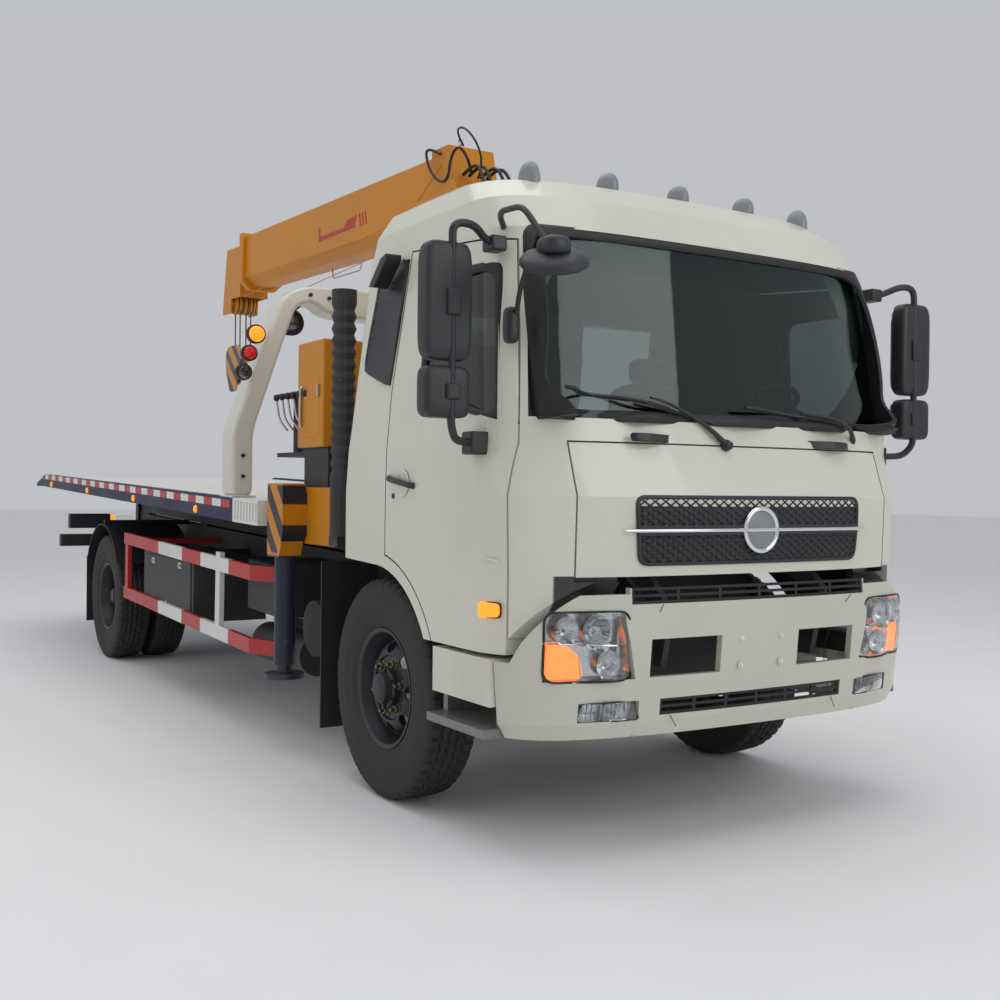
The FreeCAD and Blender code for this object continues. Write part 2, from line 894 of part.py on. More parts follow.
# Chassis frame, engine and driveline
def make_frame():
    low = rail_top - rail_height
    inner = rail_outer - rail_web
    web = block(rail_back, rail_front, inner, rail_outer, low, rail_top)
    flange_in = rail_outer - rail_flange
    upper = block(rail_back, rail_front, flange_in, inner, rail_top - rail_web, rail_top)
    lower = block(rail_back, rail_front, flange_in, inner, low, low + rail_web)
    pieces = both(join([web, upper, lower]))
    length = rail_front - rail_back
    for share in cross_shares:
        x = rail_front - share * length
        back = x - cross_width if x - cross_width > rail_back else rail_back
        cross = block(back, x, -inner, inner, low + rail_web, rail_top - rail_height * 0.55)
        pieces.append(cross)
    frame = join(pieces)
    frame = raked(frame)
    engine_room = block(engine_back - run_gap, engine_front + run_gap, -engine_half - run_gap,
                        engine_half + run_gap, engine_low - run_gap, engine_high)
    frame = frame.cut(engine_room)
    ear_low = tilt_pivot_z - rail_height
    ear_back = rail_front - rail_height / 2
    lean = pivot_eye_radius * math.sqrt(0.5)
    for y in (rail_outer - pivot_ear, -rail_outer):
        arm = side_prism([(ear_back, ear_low), (tilt_pivot_x - pivot_ear, ear_low),
                          (tilt_pivot_x + lean, tilt_pivot_z - lean),
                          (tilt_pivot_x - lean, tilt_pivot_z + lean),
                          (ear_back, tilt_pivot_z - rail_height / 3)], y, y + pivot_ear)
        eye = rod(Vec(tilt_pivot_x, y, tilt_pivot_z), Vec(tilt_pivot_x, y + pivot_ear, tilt_pivot_z),
                  pivot_eye_radius)
        frame = join([frame, arm, eye])
        frame = frame.cut(rod(Vec(tilt_pivot_x, y - cut_over, tilt_pivot_z),
                              Vec(tilt_pivot_x, y + pivot_ear + cut_over, tilt_pivot_z),
                              pivot_pin_radius + seat_gap))
    return frame


def make_chassis():
    frame = make_frame()
    hinge_clear = raked(rod(Vec(tilt_hinge_x, -rail_outer * 2, tilt_hinge_z),
                            Vec(tilt_hinge_x, rail_outer * 2, tilt_hinge_z), tilt_boss_radius + run_gap))
    frame = frame.cut(hinge_clear)
    ear_half = tilt_boss_radius
    for y_low, y_high in ((-rail_outer, -tilt_rail_outer - seat_gap),
                          (tilt_rail_outer + seat_gap, rail_outer)):
        ear = raked(block(tilt_hinge_x - ear_half, tilt_hinge_x + ear_half,
                          y_low - cut_over if y_low < 0 else y_low,
                          y_high if y_low < 0 else y_high + cut_over, rail_top - rail_height / 2,
                          tilt_hinge_z))
        eye = raked(rod(Vec(tilt_hinge_x, y_low - cut_over if y_low < 0 else y_low, tilt_hinge_z),
                        Vec(tilt_hinge_x, y_high if y_low < 0 else y_high + cut_over, tilt_hinge_z),
                        ear_half))
        frame = join([frame, ear, eye])
    pin_hole = raked(rod(Vec(tilt_hinge_x, -rail_outer * 2, tilt_hinge_z),
                         Vec(tilt_hinge_x, rail_outer * 2, tilt_hinge_z), tilt_hinge_radius + seat_gap))
    frame = frame.cut(pin_hole)
    foot_ears = []
    for y in (-tilt_cylinder_y, tilt_cylinder_y):
        for sign in (-1, 1):
            near = y + sign * (eye_half + seat_gap * 2)
            far = near + sign * luff_ear_thick
            ear = raked(block(tilt_foot_x - rail_height, tilt_foot_x + tilt_eye_radius, min(near, far),
                              max(near, far),
                              tilt_foot_z - tilt_eye_radius, tilt_foot_z + tilt_eye_radius))
            foot_ears.append(ear)
    cross = raked(block(tilt_foot_x - rail_height, tilt_foot_x - rail_height + cross_width / 2,
                        -rail_outer + rail_web, rail_outer - rail_web,
                        tilt_foot_z - tilt_eye_radius, tilt_foot_z + tilt_eye_radius))
    frame = join([frame, cross] + foot_ears)
    pins = raked(rod(Vec(tilt_foot_x, -rail_outer, tilt_foot_z), Vec(tilt_foot_x, rail_outer, tilt_foot_z),
                     tilt_pin_radius + seat_gap))
    pins = pins.common(raked(block(tilt_foot_x - tilt_eye_radius, tilt_foot_x + tilt_eye_radius,
                                   -rail_outer + rail_flange, rail_outer - rail_flange,
                                   tilt_foot_z - tilt_eye_radius, tilt_foot_z + tilt_eye_radius)))
    frame = frame.cut(pins)
    keep("chassis_frame", [frame])

    engine = block(engine_back, engine_front, -engine_half, engine_half, engine_low, engine_high)
    gear_start = Vec(engine_back, 0, gearbox_z)
    gear_end = Vec(engine_back - gearbox_length, 0, gearbox_z)
    shaft_end = Vec(-wheelbase + rear_ball_radius + rear_tube_radius, 0, tyre_radius)
    gearbox = rod(gear_start, gear_end, gearbox_radius)
    shaft = rod(gear_end, shaft_end, shaft_radius)
    line = join([gearbox, shaft])
    line = line.cut(block(-wheelbase, shaft_end.x + seat_gap, -rail_outer, rail_outer, 0, rail_top))
    radiator = block(radiator_x, radiator_x + radiator_thick, -radiator_half, radiator_half,
                     radiator_low, floor_low - run_gap * 4)
    hold = rail_outer - rail_web - seat_gap
    bar = block(radiator_x + cut_over, radiator_x + radiator_thick - cut_over, -hold, hold,
                rail_top - rail_height * radiator_hold_share, rail_top - rail_height / 2)
    keep("engine_and_driveline", [engine, line, join([radiator, bar])])


# Cab
def plan_outline(z, nose, back, half, corner_depth, flat_half, lead):
    # Straight back and sides with small rear corners, and a front that is one smooth bow
    side_x = nose - corner_depth
    corner = cab_rear_corner if half > cab_rear_corner * 2 else half / 2
    bow = Part.BezierCurve()
    bow.setPoles([Vec(side_x, half, z), Vec(side_x + lead, half, z), Vec(nose, flat_half, z),
                  Vec(nose, 0, z)])
    other = Part.BezierCurve()
    other.setPoles([Vec(nose, 0, z), Vec(nose, -flat_half, z), Vec(side_x + lead, -half, z),
                    Vec(side_x, -half, z)])
    bend = corner * (1 - math.sqrt(0.5))
    edges = [
        Part.makeLine(Vec(back + corner, half, z), Vec(side_x, half, z)),
        bow.toShape(),
        other.toShape(),
        Part.makeLine(Vec(side_x, -half, z), Vec(back + corner, -half, z)),
        Part.Arc(Vec(back + corner, -half, z), Vec(back + bend, -half + bend, z),
                 Vec(back, -half + corner, z)).toShape(),
        Part.makeLine(Vec(back, -half + corner, z), Vec(back, half - corner, z)),
        Part.Arc(Vec(back, half - corner, z), Vec(back + bend, half - bend, z),
                 Vec(back + corner, half, z)).toShape(),
    ]
    return Part.Wire(edges)


def cab_body(inset):
    # The cab's outer form, or the same form with every wall moved in by inset
    height = cab_high - cab_low
    length = cab_nose - cab_back
    wires = []
    for rise, setback, setin, width, depth, flat, lead in cab_level_shares:
        z = cab_low + rise * height
        if rise > roof_start_share:
            z -= inset
        if rise == 0:
            z -= cut_over * (1 if inset > 0 else 0)
        nose = cab_nose - setback * length - inset
        back = cab_back + setin * length + inset
        half = cab_half * width - inset
        corner_depth = depth * cab_half
        wires.append(plan_outline(z, nose, back, half, corner_depth, flat * half, lead * corner_depth))
    return Part.makeLoft(wires, True, True)


def door_outline(grow):
    return [(door_front + grow, cab_low - grow), (door_front + grow, door_lean_z),
            (door_front_high + grow, door_top_front + grow),
            (door_back_high - grow, door_top_back + grow),
            (door_back_mid - grow, door_mid_z), (door_back_mid - grow, cab_low - grow)]


def window_outline(grow):
    rise = door_window_rise
    return [(door_window_front + grow, door_window_low - grow),
            (door_window_front_high + grow, door_window_high + grow),
            (door_window_back - grow, door_window_high + grow),
            (door_window_back - grow, door_window_low + rise - grow)]


def pillar_body(grow):
    # The windscreen and the cab's front pillars, which the doors' front edges close against
    lean = (door_window_front - door_window_front_high) / (door_window_high - door_window_low)
    high_x = door_window_front_high - (windscreen_high - door_window_high) * lean
    front = front_prism(windscreen_outline(pillar_side + grow), 0, cab_nose + cut_over)
    side = side_prism([(door_window_front - grow, windscreen_low - cut_over * 4),
                       (cab_nose + cut_over, windscreen_low - cut_over * 4),
                       (cab_nose + cut_over, windscreen_high + cut_over * 4),
                       (high_x - grow, windscreen_high + cut_over * 4)], -bed_half, bed_half)
    return front.common(side)


def arch_cut(radius, back_z):
    wheel = rod(Vec(0, -bed_half, tyre_radius), Vec(0, bed_half, tyre_radius), radius)
    behind = side_prism([(0, cab_low - cut_over * 2), (0, tyre_radius + radius), (cab_back * 2, back_z),
                         (cab_back * 2, cab_low - cut_over * 2)], -bed_half, bed_half)
    return wheel.fuse(behind)


def windscreen_outline(grow):
    return [(-windscreen_low_half - grow, windscreen_low - grow),
            (windscreen_low_half + grow, windscreen_low - grow),
            (windscreen_high_half + grow, windscreen_high + grow),
            (-windscreen_high_half - grow, windscreen_high + grow)]


def louvre_outline(grow):
    return [(louvre_front_low + grow, louvre_low_front - grow),
            (louvre_front_high + grow, louvre_high + grow),
            (louvre_back_high - grow, louvre_high + grow), (louvre_back_low - grow, louvre_low_back - grow)]


def corner_cut(grow):
    # What lies below the slanted edge between the cab's corner and the bumper
    return side_prism([(corner_edge_x - cut_over * 2, cab_low - cut_over * 2),
                       (corner_edge_x - cut_over * 2, corner_low - grow),
                       (corner_edge_x, corner_low - grow),
                       (corner_front_x, flap_low - grow), (cab_nose + cut_over * 4, flap_low - grow),
                       (cab_nose + cut_over * 4, cab_low - cut_over * 2)], -bed_half, bed_half)


def make_cab():
    outer = cab_body(0)
    inner = cab_body(cab_wall)
    walls = outer.cut(inner)
    slab = block(cab_back, cab_nose, -cab_half, cab_half, floor_low, floor_low + floor_thick)
    hump = block(cab_back, tunnel_front, -tunnel_half, tunnel_half, floor_low, tunnel_high)
    under = block(cab_back - cut_over, tunnel_front - tunnel_wall, -tunnel_half + tunnel_wall,
                  tunnel_half - tunnel_wall, cab_low - cut_over, tunnel_high - tunnel_wall)
    floor = slab.fuse(hump).cut(under)
    room = inner.cut(floor)
    shell = outer.cut(room).cut(under)
    shell = shell.cut(arch_cut(arch_radius, arch_back_z))
    shell = shell.cut(corner_cut(0))
    nose_y = top_grille_half + run_gap * 3
    shell = shell.cut(block(tilt_pivot_x - nose_room, cab_nose + cut_over, -nose_y, nose_y,
                            cab_low - cut_over, floor_low))
    side_y = cab_half * 0.7
    far_y = cab_half + cut_over * 2

    door_region = side_prism(door_outline(0), side_y, far_y)
    door_space = side_prism(door_outline(door_gap), side_y, far_y)
    arch_keep = arch_cut(arch_radius + arch_strip, arch_back_z + arch_strip)
    arch_keep_grown = arch_cut(arch_radius + arch_strip - door_gap, arch_back_z + arch_strip - door_gap)
    window = side_prism(window_outline(0), side_y, far_y)
    door = walls.common(door_region).cut(arch_keep).cut(window).cut(pillar_body(0))
    space = door_space.cut(arch_keep_grown).cut(pillar_body(-door_gap))
    for piece in both(space):
        shell = shell.cut(piece)

    pane_skin = cab_body(glass_inset).cut(cab_body(glass_inset + glass_thick))
    screen = pane_skin.common(front_prism(windscreen_outline(-seat_gap), windscreen_back + seat_gap,
                                          cab_nose))
    shell = shell.cut(front_prism(windscreen_outline(0), windscreen_back, cab_nose + cut_over))
    door_pane = pane_skin.common(side_prism(window_outline(-seat_gap), side_y, far_y))

    flap_region = front_prism([(-flap_half, flap_low), (flap_half, flap_low), (flap_half, flap_high),
                               (-flap_half, flap_high)], 0, cab_nose + cut_over)
    flap_space = front_prism([(-flap_half - door_gap, flap_low - cut_over),
                              (flap_half + door_gap, flap_low - cut_over),
                              (flap_half + door_gap, flap_high + door_gap),
                              (-flap_half - door_gap, flap_high + door_gap)], 0, cab_nose + cut_over)
    flap = outer.cut(cab_body(flap_thick)).common(flap_region)
    recess = outer.cut(cab_body(flap_thick + door_gap)).common(flap_space)
    buffers = cab_body(flap_thick + seat_gap).cut(cab_body(flap_thick + door_gap * 2))
    buffer_y = (flap_half + grille_high_half) / 2
    shell = shell.cut(recess)
    for piece in both(block(0, cab_nose, buffer_y, buffer_y + cab_wall, grille_low, grille_low + cab_wall)):
        shell = shell.fuse(buffers.common(piece))

    rear_holes = []
    for sign in (-1, 1):
        low_y = min(sign * rear_window_near, sign * rear_window_far)
        high_y = max(sign * rear_window_near, sign * rear_window_far)
        hole = block(cab_back * 2, 0, low_y, high_y, rear_window_low, rear_window_high)
        shell = shell.cut(hole)
        pane = block(cab_back * 2, 0, low_y + seat_gap, high_y - seat_gap,
                     rear_window_low + seat_gap, rear_window_high - seat_gap)
        rear_holes.append(pane_skin.common(pane))
    keep("cab_glass", [screen] + rear_holes)

    louvre_hole = side_prism(louvre_outline(0), side_y, far_y)
    louvre_plug = side_prism(louvre_outline(-seat_gap), side_y, far_y)
    inside_skin = cab_body(louvre_proud + glass_thick)
    for piece in both(louvre_hole):
        shell = shell.cut(piece.cut(inside_skin))
    panel = cab_body(-louvre_proud).cut(cab_body(louvre_proud + glass_thick - seat_gap))
    louvre = panel.common(louvre_plug)
    groove_skin = cab_body(-louvre_proud - seat_gap).cut(cab_body(louvre_proud))
    pitch = (louvre_high - louvre_low_back) / louvre_grooves
    for number in range(louvre_grooves):
        z = louvre_low_back + pitch * (number + 0.5)
        groove = block(louvre_back_high + louvre_margin, louvre_front_low - louvre_margin, side_y, far_y,
                       z - louvre_groove / 2, z + louvre_groove / 2)
        louvre = louvre.cut(groove_skin.common(groove))
    louvres = both(louvre)

    lug_y = rail_outer + run_gap
    lean = pivot_eye_radius * math.sqrt(0.5)
    lug_top = floor_low + floor_thick / 2
    lug_front = tilt_pivot_x + lean - (lug_top - tilt_pivot_z - lean)
    pin = rod(Vec(tilt_pivot_x, -lug_y - pivot_ear, tilt_pivot_z),
              Vec(tilt_pivot_x, lug_y + pivot_ear, tilt_pivot_z),
              pivot_pin_radius)
    lugs = []
    for sign in (-1, 1):
        low_y = min(sign * lug_y, sign * (lug_y + pivot_ear))
        lugs.append(side_prism([(tilt_pivot_x - lean, tilt_pivot_z - lean),
                                (tilt_pivot_x + lean, tilt_pivot_z + lean),
                                (lug_front, lug_top), (lug_front - pivot_lug_length, lug_top)],
                               low_y, low_y + pivot_ear))
        lugs.append(rod(Vec(tilt_pivot_x, low_y, tilt_pivot_z),
                        Vec(tilt_pivot_x, low_y + pivot_ear, tilt_pivot_z),
                        pivot_eye_radius))
    shell = join([shell, pin] + lugs)
    rests = []
    for sign in (-1, 1):
        y = sign * (rail_outer - rail_flange / 2)
        rests.append(block(rear_rest_x, rear_rest_x + rear_rest_half * 2, y - rear_rest_half,
                           y + rear_rest_half,
                           raked_point(rear_rest_x, 0, rail_top).z + seat_gap * 2,
                           floor_low + floor_thick / 2))
    shell = join([shell] + rests)
    keep("cab_shell", [shell])
    keep("front_flap", [flap])
    keep("door_left", [door])
    keep("door_right", [mirrored(door)])
    keep("door_glass_left", [door_pane])
    keep("door_glass_right", [mirrored(door_pane)])

    grille_points = [(-grille_low_half, grille_low), (grille_low_half, grille_low),
                     (grille_high_half, grille_high), (-grille_high_half, grille_high)]
    grille_region = front_prism(grille_points, 0, cab_nose + cut_over)
    grille = cab_body(-grille_proud).cut(cab_body(-seat_gap)).common(grille_region)
    bar_region = block(0, cab_nose + cut_over * 2, -grille_high_half, grille_high_half,
                       grille_bar_z - grille_bar_half, grille_bar_z + grille_bar_half)
    bar = cab_body(-grille_bar_proud).cut(cab_body(-grille_proud / 2)).common(bar_region)
    badge = rod(Vec(0, 0, grille_bar_z), Vec(cab_nose + cut_over * 2, 0, grille_bar_z), badge_radius)
    badge = cab_body(-grille_bar_proud).cut(cab_body(-grille_proud / 2)).common(badge)
    keep("grille", [join([grille, bar, badge])])
    return louvres


def make_cab_inside():
    inner = cab_body(cab_wall + seat_gap)
    dash = side_prism([(dash_front + cab_wall, dash_low), (dash_front + cab_wall, dash_high - cut_over),
                       (dash_front - cab_wall, dash_high), (dash_back, dash_high - cab_wall),
                       (dash_back, dash_low + cab_wall), (dash_back + cab_wall, dash_low)], -dash_half,
                       dash_half)
    dash = dash.common(inner)
    for piece in both(rod(Vec(door_front, cab_half, dash_low - cut_over),
                          Vec(door_front, cab_half, dash_high + cut_over), door_sweep)):
        dash = dash.cut(piece)
    floor_top = floor_low + floor_thick + seat_gap
    seats = []
    for y in (-seat_y, seat_y):
        base = block(seat_back, seat_front, y - seat_half, y + seat_half, floor_top, seat_high)
        cut = block(seat_back - cut_over, seat_front + cut_over, -tunnel_half - seat_gap,
                    tunnel_half + seat_gap,
                    floor_low, tunnel_high + seat_gap)
        base = base.cut(cut)
        rest = side_prism([(seat_back, seat_high - cut_over), (seat_back + seat_pad, seat_high - cut_over),
                           (seat_back + seat_pad * 0.4, seat_back_high),
                           (seat_back - seat_pad * 0.4, seat_back_high)],
                          y - seat_half, y + seat_half)
        seats.append(join([base, rest]))
    rim_ring = ring(wheel_radius, wheel_tube, wheel_sides, wheel_tube_corners)
    rim_ring.rotate(Vec(0, 0, 0), Vec(1, 0, 0), 90)
    hub = rod(Vec(0, 0, -wheel_tube * 2), Vec(0, 0, wheel_tube), wheel_radius * wheel_hub_share)
    pieces = [rim_ring, hub]
    for angle in (90, 210, 330):
        direction = Vec(math.cos(math.radians(angle)), math.sin(math.radians(angle)), 0)
        pieces.append(rod(direction * wheel_tube, direction * wheel_radius, wheel_tube * 0.8))
    column = rod(Vec(0, 0, -wheel_radius * 0.8), Vec(0, 0, 0), wheel_tube * 1.5)
    steering = join(pieces + [column])
    steering.rotate(Vec(0, 0, 0), Vec(0, 1, 0), -wheel_lean_deg)
    steering.translate(Vec(wheel_x, seat_y, wheel_z))
    keep("steering_wheel", [steering])
    direction = Vec(-math.sin(math.radians(wheel_lean_deg)), 0, math.cos(math.radians(wheel_lean_deg)))
    hub_point = Vec(wheel_x, seat_y, wheel_z) - direction * (wheel_radius * 0.8 + seat_gap)
    stalk = rod(hub_point, hub_point - direction * wheel_radius * 1.6, wheel_tube * 1.8)
    stalk = stalk.cut(block(0, cab_nose, 0, cab_half, 0, floor_top))
    keep("cab_interior", [join([dash, stalk])] + seats)
    return hub_point, direction


def make_mirrors():
    # Two mirrors on a bent tube, on the door; seen here on the left side
    tube_radius = mirror_tube
    upright = Vec(0, 0, 1)
    main = rounded_box(mirror_x - mirror_depth / 2, mirror_x + mirror_depth / 2, mirror_near, mirror_far,
                       mirror_low, mirror_high, mirror_round, upright)
    wide = rounded_box(mirror_x - mirror_depth / 2, mirror_x + mirror_depth / 2, mirror_near, mirror_far,
                       wide_low, wide_high, mirror_round, upright)
    post = rod(Vec(mirror_x, mirror_arm_y, mirror_foot_low), Vec(mirror_x, mirror_arm_y, mirror_foot_high),
               tube_radius)
    root_y = cab_half * 0.88
    arms = []
    for z in (mirror_foot_low, mirror_foot_high):
        skin_y = cab_half if z < mirror_low else cab_half - tube_radius * 3
        arms.append(rod(Vec(mirror_root_x, root_y, z), Vec(mirror_root_x, skin_y + tube_radius * 2, z),
                        tube_radius))
        arms.append(rod(Vec(mirror_root_x, skin_y + tube_radius * 2, z), Vec(mirror_x, mirror_arm_y, z),
                        tube_radius))
        arms.append(Part.makeSphere(mirror_elbow, Vec(mirror_root_x, skin_y + tube_radius * 2, z)))
        arms.append(Part.makeSphere(mirror_elbow, Vec(mirror_x, mirror_arm_y, z)))
        arms.append(block(mirror_root_x - tube_radius * 2, mirror_root_x + tube_radius * 2, root_y,
                          skin_y + tube_radius,
                          z - tube_radius * 2, z + tube_radius * 2))
    whole = join([main, wide, post] + arms)
    whole = whole.cut(cab_body(-seat_gap))
    handle = block(handle_back, handle_front, cab_half - handle_depth, cab_half + handle_depth / 2,
                   handle_z - handle_height / 2, handle_z + handle_height / 2).cut(cab_body(-seat_gap))
    keep("mirrors_left", [whole, handle])
    keep("mirrors_right", [mirrored(whole), mirrored(handle)])

    centre = Vec(round_mirror_x, round_mirror_y, round_mirror_z)
    disc = rod(centre - Vec(round_mirror_thick / 2, 0, 0), centre + Vec(round_mirror_thick / 2, 0, 0),
               round_mirror_radius)
    disc = disc.makeFillet(round_mirror_thick * 0.35, disc.Edges)
    elbow = Vec(corner_front_x - cab_wall, round_mirror_y, round_mirror_z + round_mirror_radius)
    root = Vec(round_arm_x, -round_arm_y, round_arm_z)
    arm = join([rod(centre, elbow, tube_radius), rod(elbow, root, tube_radius),
                Part.makeSphere(mirror_elbow, elbow),
                disc])
    return arm.cut(cab_body(-seat_gap))


def make_cab_trim(louvres, mirror):
    skin = cab_body(-seat_gap)
    lamps = []
    for share in roof_lamp_shares:
        y = share * cab_half
        x = roof_lamp_x if abs(share) < 0.5 else roof_lamp_side_x
        lamp = rounded_box(x - roof_lamp_length / 2, x + roof_lamp_length / 2, y - roof_lamp_half,
                           y + roof_lamp_half,
                           roof_lamp_low, roof_lamp_top, roof_lamp_round, Vec(0, 1, 0))
        lamps.append(lamp.cut(skin))
    keep("roof_lamps", lamps)

    blades = []
    on_glass = cab_body(-wiper_radius).cut(cab_body(glass_inset - seat_gap))
    on_skin = cab_body(-wiper_radius * 2).cut(skin)
    for y in (-windscreen_low_half * 0.62, windscreen_low_half * 0.12):
        blade_z = windscreen_low + wiper_radius * 5
        blade = on_glass.common(block(0, cab_nose, y, y + windscreen_low_half * 0.52, blade_z,
                                      blade_z + wiper_radius * 2))
        arm = on_glass.common(block(0, cab_nose, y, y + wiper_radius * 3, windscreen_low,
                                    blade_z + wiper_radius))
        foot = on_skin.common(block(0, cab_nose, y, y + wiper_radius * 4, windscreen_low - wiper_radius * 5,
                                    windscreen_low + wiper_radius * 2))
        blades.append(join([blade, arm, foot]))
    keep("cab_trim", louvres + [mirror] + blades)


# Bumper and lamps
def bumper_body(inset):
    height = bumper_high - bumper_low
    length = bumper_nose - cab_back
    wires = []
    for rise, setback, width in bumper_level_shares:
        z = bumper_low + rise * height
        nose = bumper_nose - setback * length - inset
        half = bumper_half * width - inset
        depth = bumper_corner_share * half
        wires.append(plan_outline(z, nose, cab_back, half, depth, bumper_flat_share * half,
                                  bumper_lead_share * depth))
    return Part.makeLoft(wires, True, True)


def slatted(band, half, low, high, rows):
    # A strip of the bumper's skin with open rows between its slats and uprights
    grille = band.common(block(corner_edge_x, bumper_nose, -half, half, low, high))
    row = (high - low - grille_slat) / rows
    column = (2 * half - grille_upright) / grille_columns
    for row_number in range(rows):
        z = low + grille_slat + row * row_number
        for column_number in range(grille_columns):
            y = -half + grille_upright + column * column_number
            grille = grille.cut(block(corner_edge_x, bumper_nose + cut_over, y, y + column - grille_upright,
                                      z, z + row - grille_slat))
    return grille


def make_bumper():
    over = cut_over
    shell = bumper_body(0).cut(bumper_body(bumper_wall))
    front = block(bumper_back, bumper_nose + over, -bed_half, bed_half, bumper_low, bumper_high)
    shell = shell.common(front)
    top_cut = side_prism([(bumper_back - over, side_edge_low), (corner_edge_x + over * 2, side_edge_low),
                          (corner_front_x + over / 2, bumper_high), (corner_front_x, bumper_high + over),
                          (bumper_back - over, bumper_high + over)], -bed_half, bed_half)
    shell = shell.cut(top_cut)
    corner_y = top_grille_half + run_gap
    for piece in both(block(bumper_back - over, bumper_nose + over, corner_y, bed_half,
                            bumper_high - corner_drop, bumper_high + over)):
        shell = shell.cut(piece)
    slots = []
    for sign in (-1, 1):
        near = sign * slot_near
        far = sign * slot_far
        slots.append(block(corner_edge_x, bumper_nose + over, min(near, far), max(near, far), slot_low,
                           slot_high))
    low_slot = block(corner_edge_x, bumper_nose + over, -lower_grille_half, lower_grille_half,
                     lower_grille_low, lower_grille_high)
    top_slot = block(corner_edge_x, bumper_nose + over, -top_grille_half, top_grille_half,
                     top_grille_low, bumper_high + over)
    for cut in slots + [low_slot, top_slot]:
        shell = shell.cut(cut)

    band = bumper_body(bumper_wall * 0.2).cut(bumper_body(bumper_wall * 0.5))
    low_grille = slatted(band, lower_grille_half - seat_gap, lower_grille_low + seat_gap,
                         lower_grille_high - seat_gap, lower_grille_rows)
    top_grille = slatted(band, top_grille_half - seat_gap, top_grille_low + seat_gap, bumper_high,
                         top_grille_rows)
    keep("bumper_grilles", [low_grille, top_grille])

    lamp_skin = bumper_body(-lamp_proud).cut(bumper_body(lamp_depth))
    lamp_points = [(lamp_near_low, lamp_low), (lamp_far, lamp_low), (lamp_far, lamp_high),
                   (lamp_near_high, lamp_high)]
    fog_points = [(fog_near, fog_low), (fog_far, fog_low), (fog_far, fog_high), (fog_near, fog_high)]
    lamps = []
    for points in (lamp_points, fog_points):
        region = front_prism(points, corner_edge_x, bumper_nose + over)
        for piece in both(region):
            shell = shell.cut(piece)
        middle_y = sum(y for y, z in points) / len(points)
        middle_z = sum(z for y, z in points) / len(points)
        shrunk = [(y - seat_gap * (1 if y > middle_y else -1), z - seat_gap * (1 if z > middle_z else -1))
                  for y, z in points]
        lamps += both(lamp_skin.common(front_prism(shrunk, corner_edge_x, bumper_nose + over)))
    keep("front_lamps", lamps)

    rail_end = raked_point(rail_front, 0, rail_top - rail_height / 2)
    brackets = []
    bracket_y = (slot_far + lamp_near_low) / 2
    for sign in (-1, 1):
        y = sign * bracket_y
        plate = block(rail_front - rail_height, bumper_nose - bumper_wall, y - slot_plate, y + slot_plate,
                      rail_end.z - rail_height / 3, rail_end.z)
        brackets.append(plate.common(bumper_body(bumper_wall / 2)))
        low_y = min(sign * (rail_outer + seat_gap), y)
        high_y = max(sign * (rail_outer + seat_gap), y)
        brackets.append(block(rail_front - rail_height, rail_front, low_y, high_y,
                              rail_end.z - rail_height / 3, rail_end.z))
    keep("bumper", [join([shell] + brackets)])


def make_steps():
    body = block(step_back, step_front, step_inner, bumper_half - run_gap, step_low, step_high)
    arch = rod(Vec(0, -bed_half, tyre_radius), Vec(0, bed_half, tyre_radius), arch_radius)
    body = body.cut(arch)
    hollow = block(step_back + step_wall, step_front - step_wall, step_inner - cut_over,
                   bumper_half - run_gap - step_wall, step_low - cut_over, step_high - step_wall)
    body = body.cut(hollow)
    bracket_z = (step_low + step_high) / 2
    arm = block(step_back, step_back + step_wall, rail_outer + seat_gap, step_inner + cut_over,
                bracket_z - step_wall, bracket_z + step_wall)
    housing = join([body, arm])
    plate = block(step_back, step_front, step_inner, step_plate_out, step_plate_low,
                  step_plate_low + step_plate_thick)
    stays = [block(x, x + step_plate_thick, step_inner, bumper_half - step_wall, step_plate_low,
                   step_low + step_wall)
             for x in (step_back, step_front - step_plate_thick)]
    housing = join([housing, plate] + stays)
    keep("steps", both(housing))


# Mudguards, tanks and side fittings
def intake_ribs():
    # Zigzag of the intake's bellows, from its foot to its cap
    points = []
    pitch = (intake_bellows_high - intake_bellows_low) / intake_rib_count
    for number in range(intake_rib_count):
        z = intake_bellows_low + pitch * number
        points += [(z, intake_radius), (z + pitch / 2, intake_radius - intake_rib_depth)]
    points.append((intake_bellows_high, intake_radius))
    return points


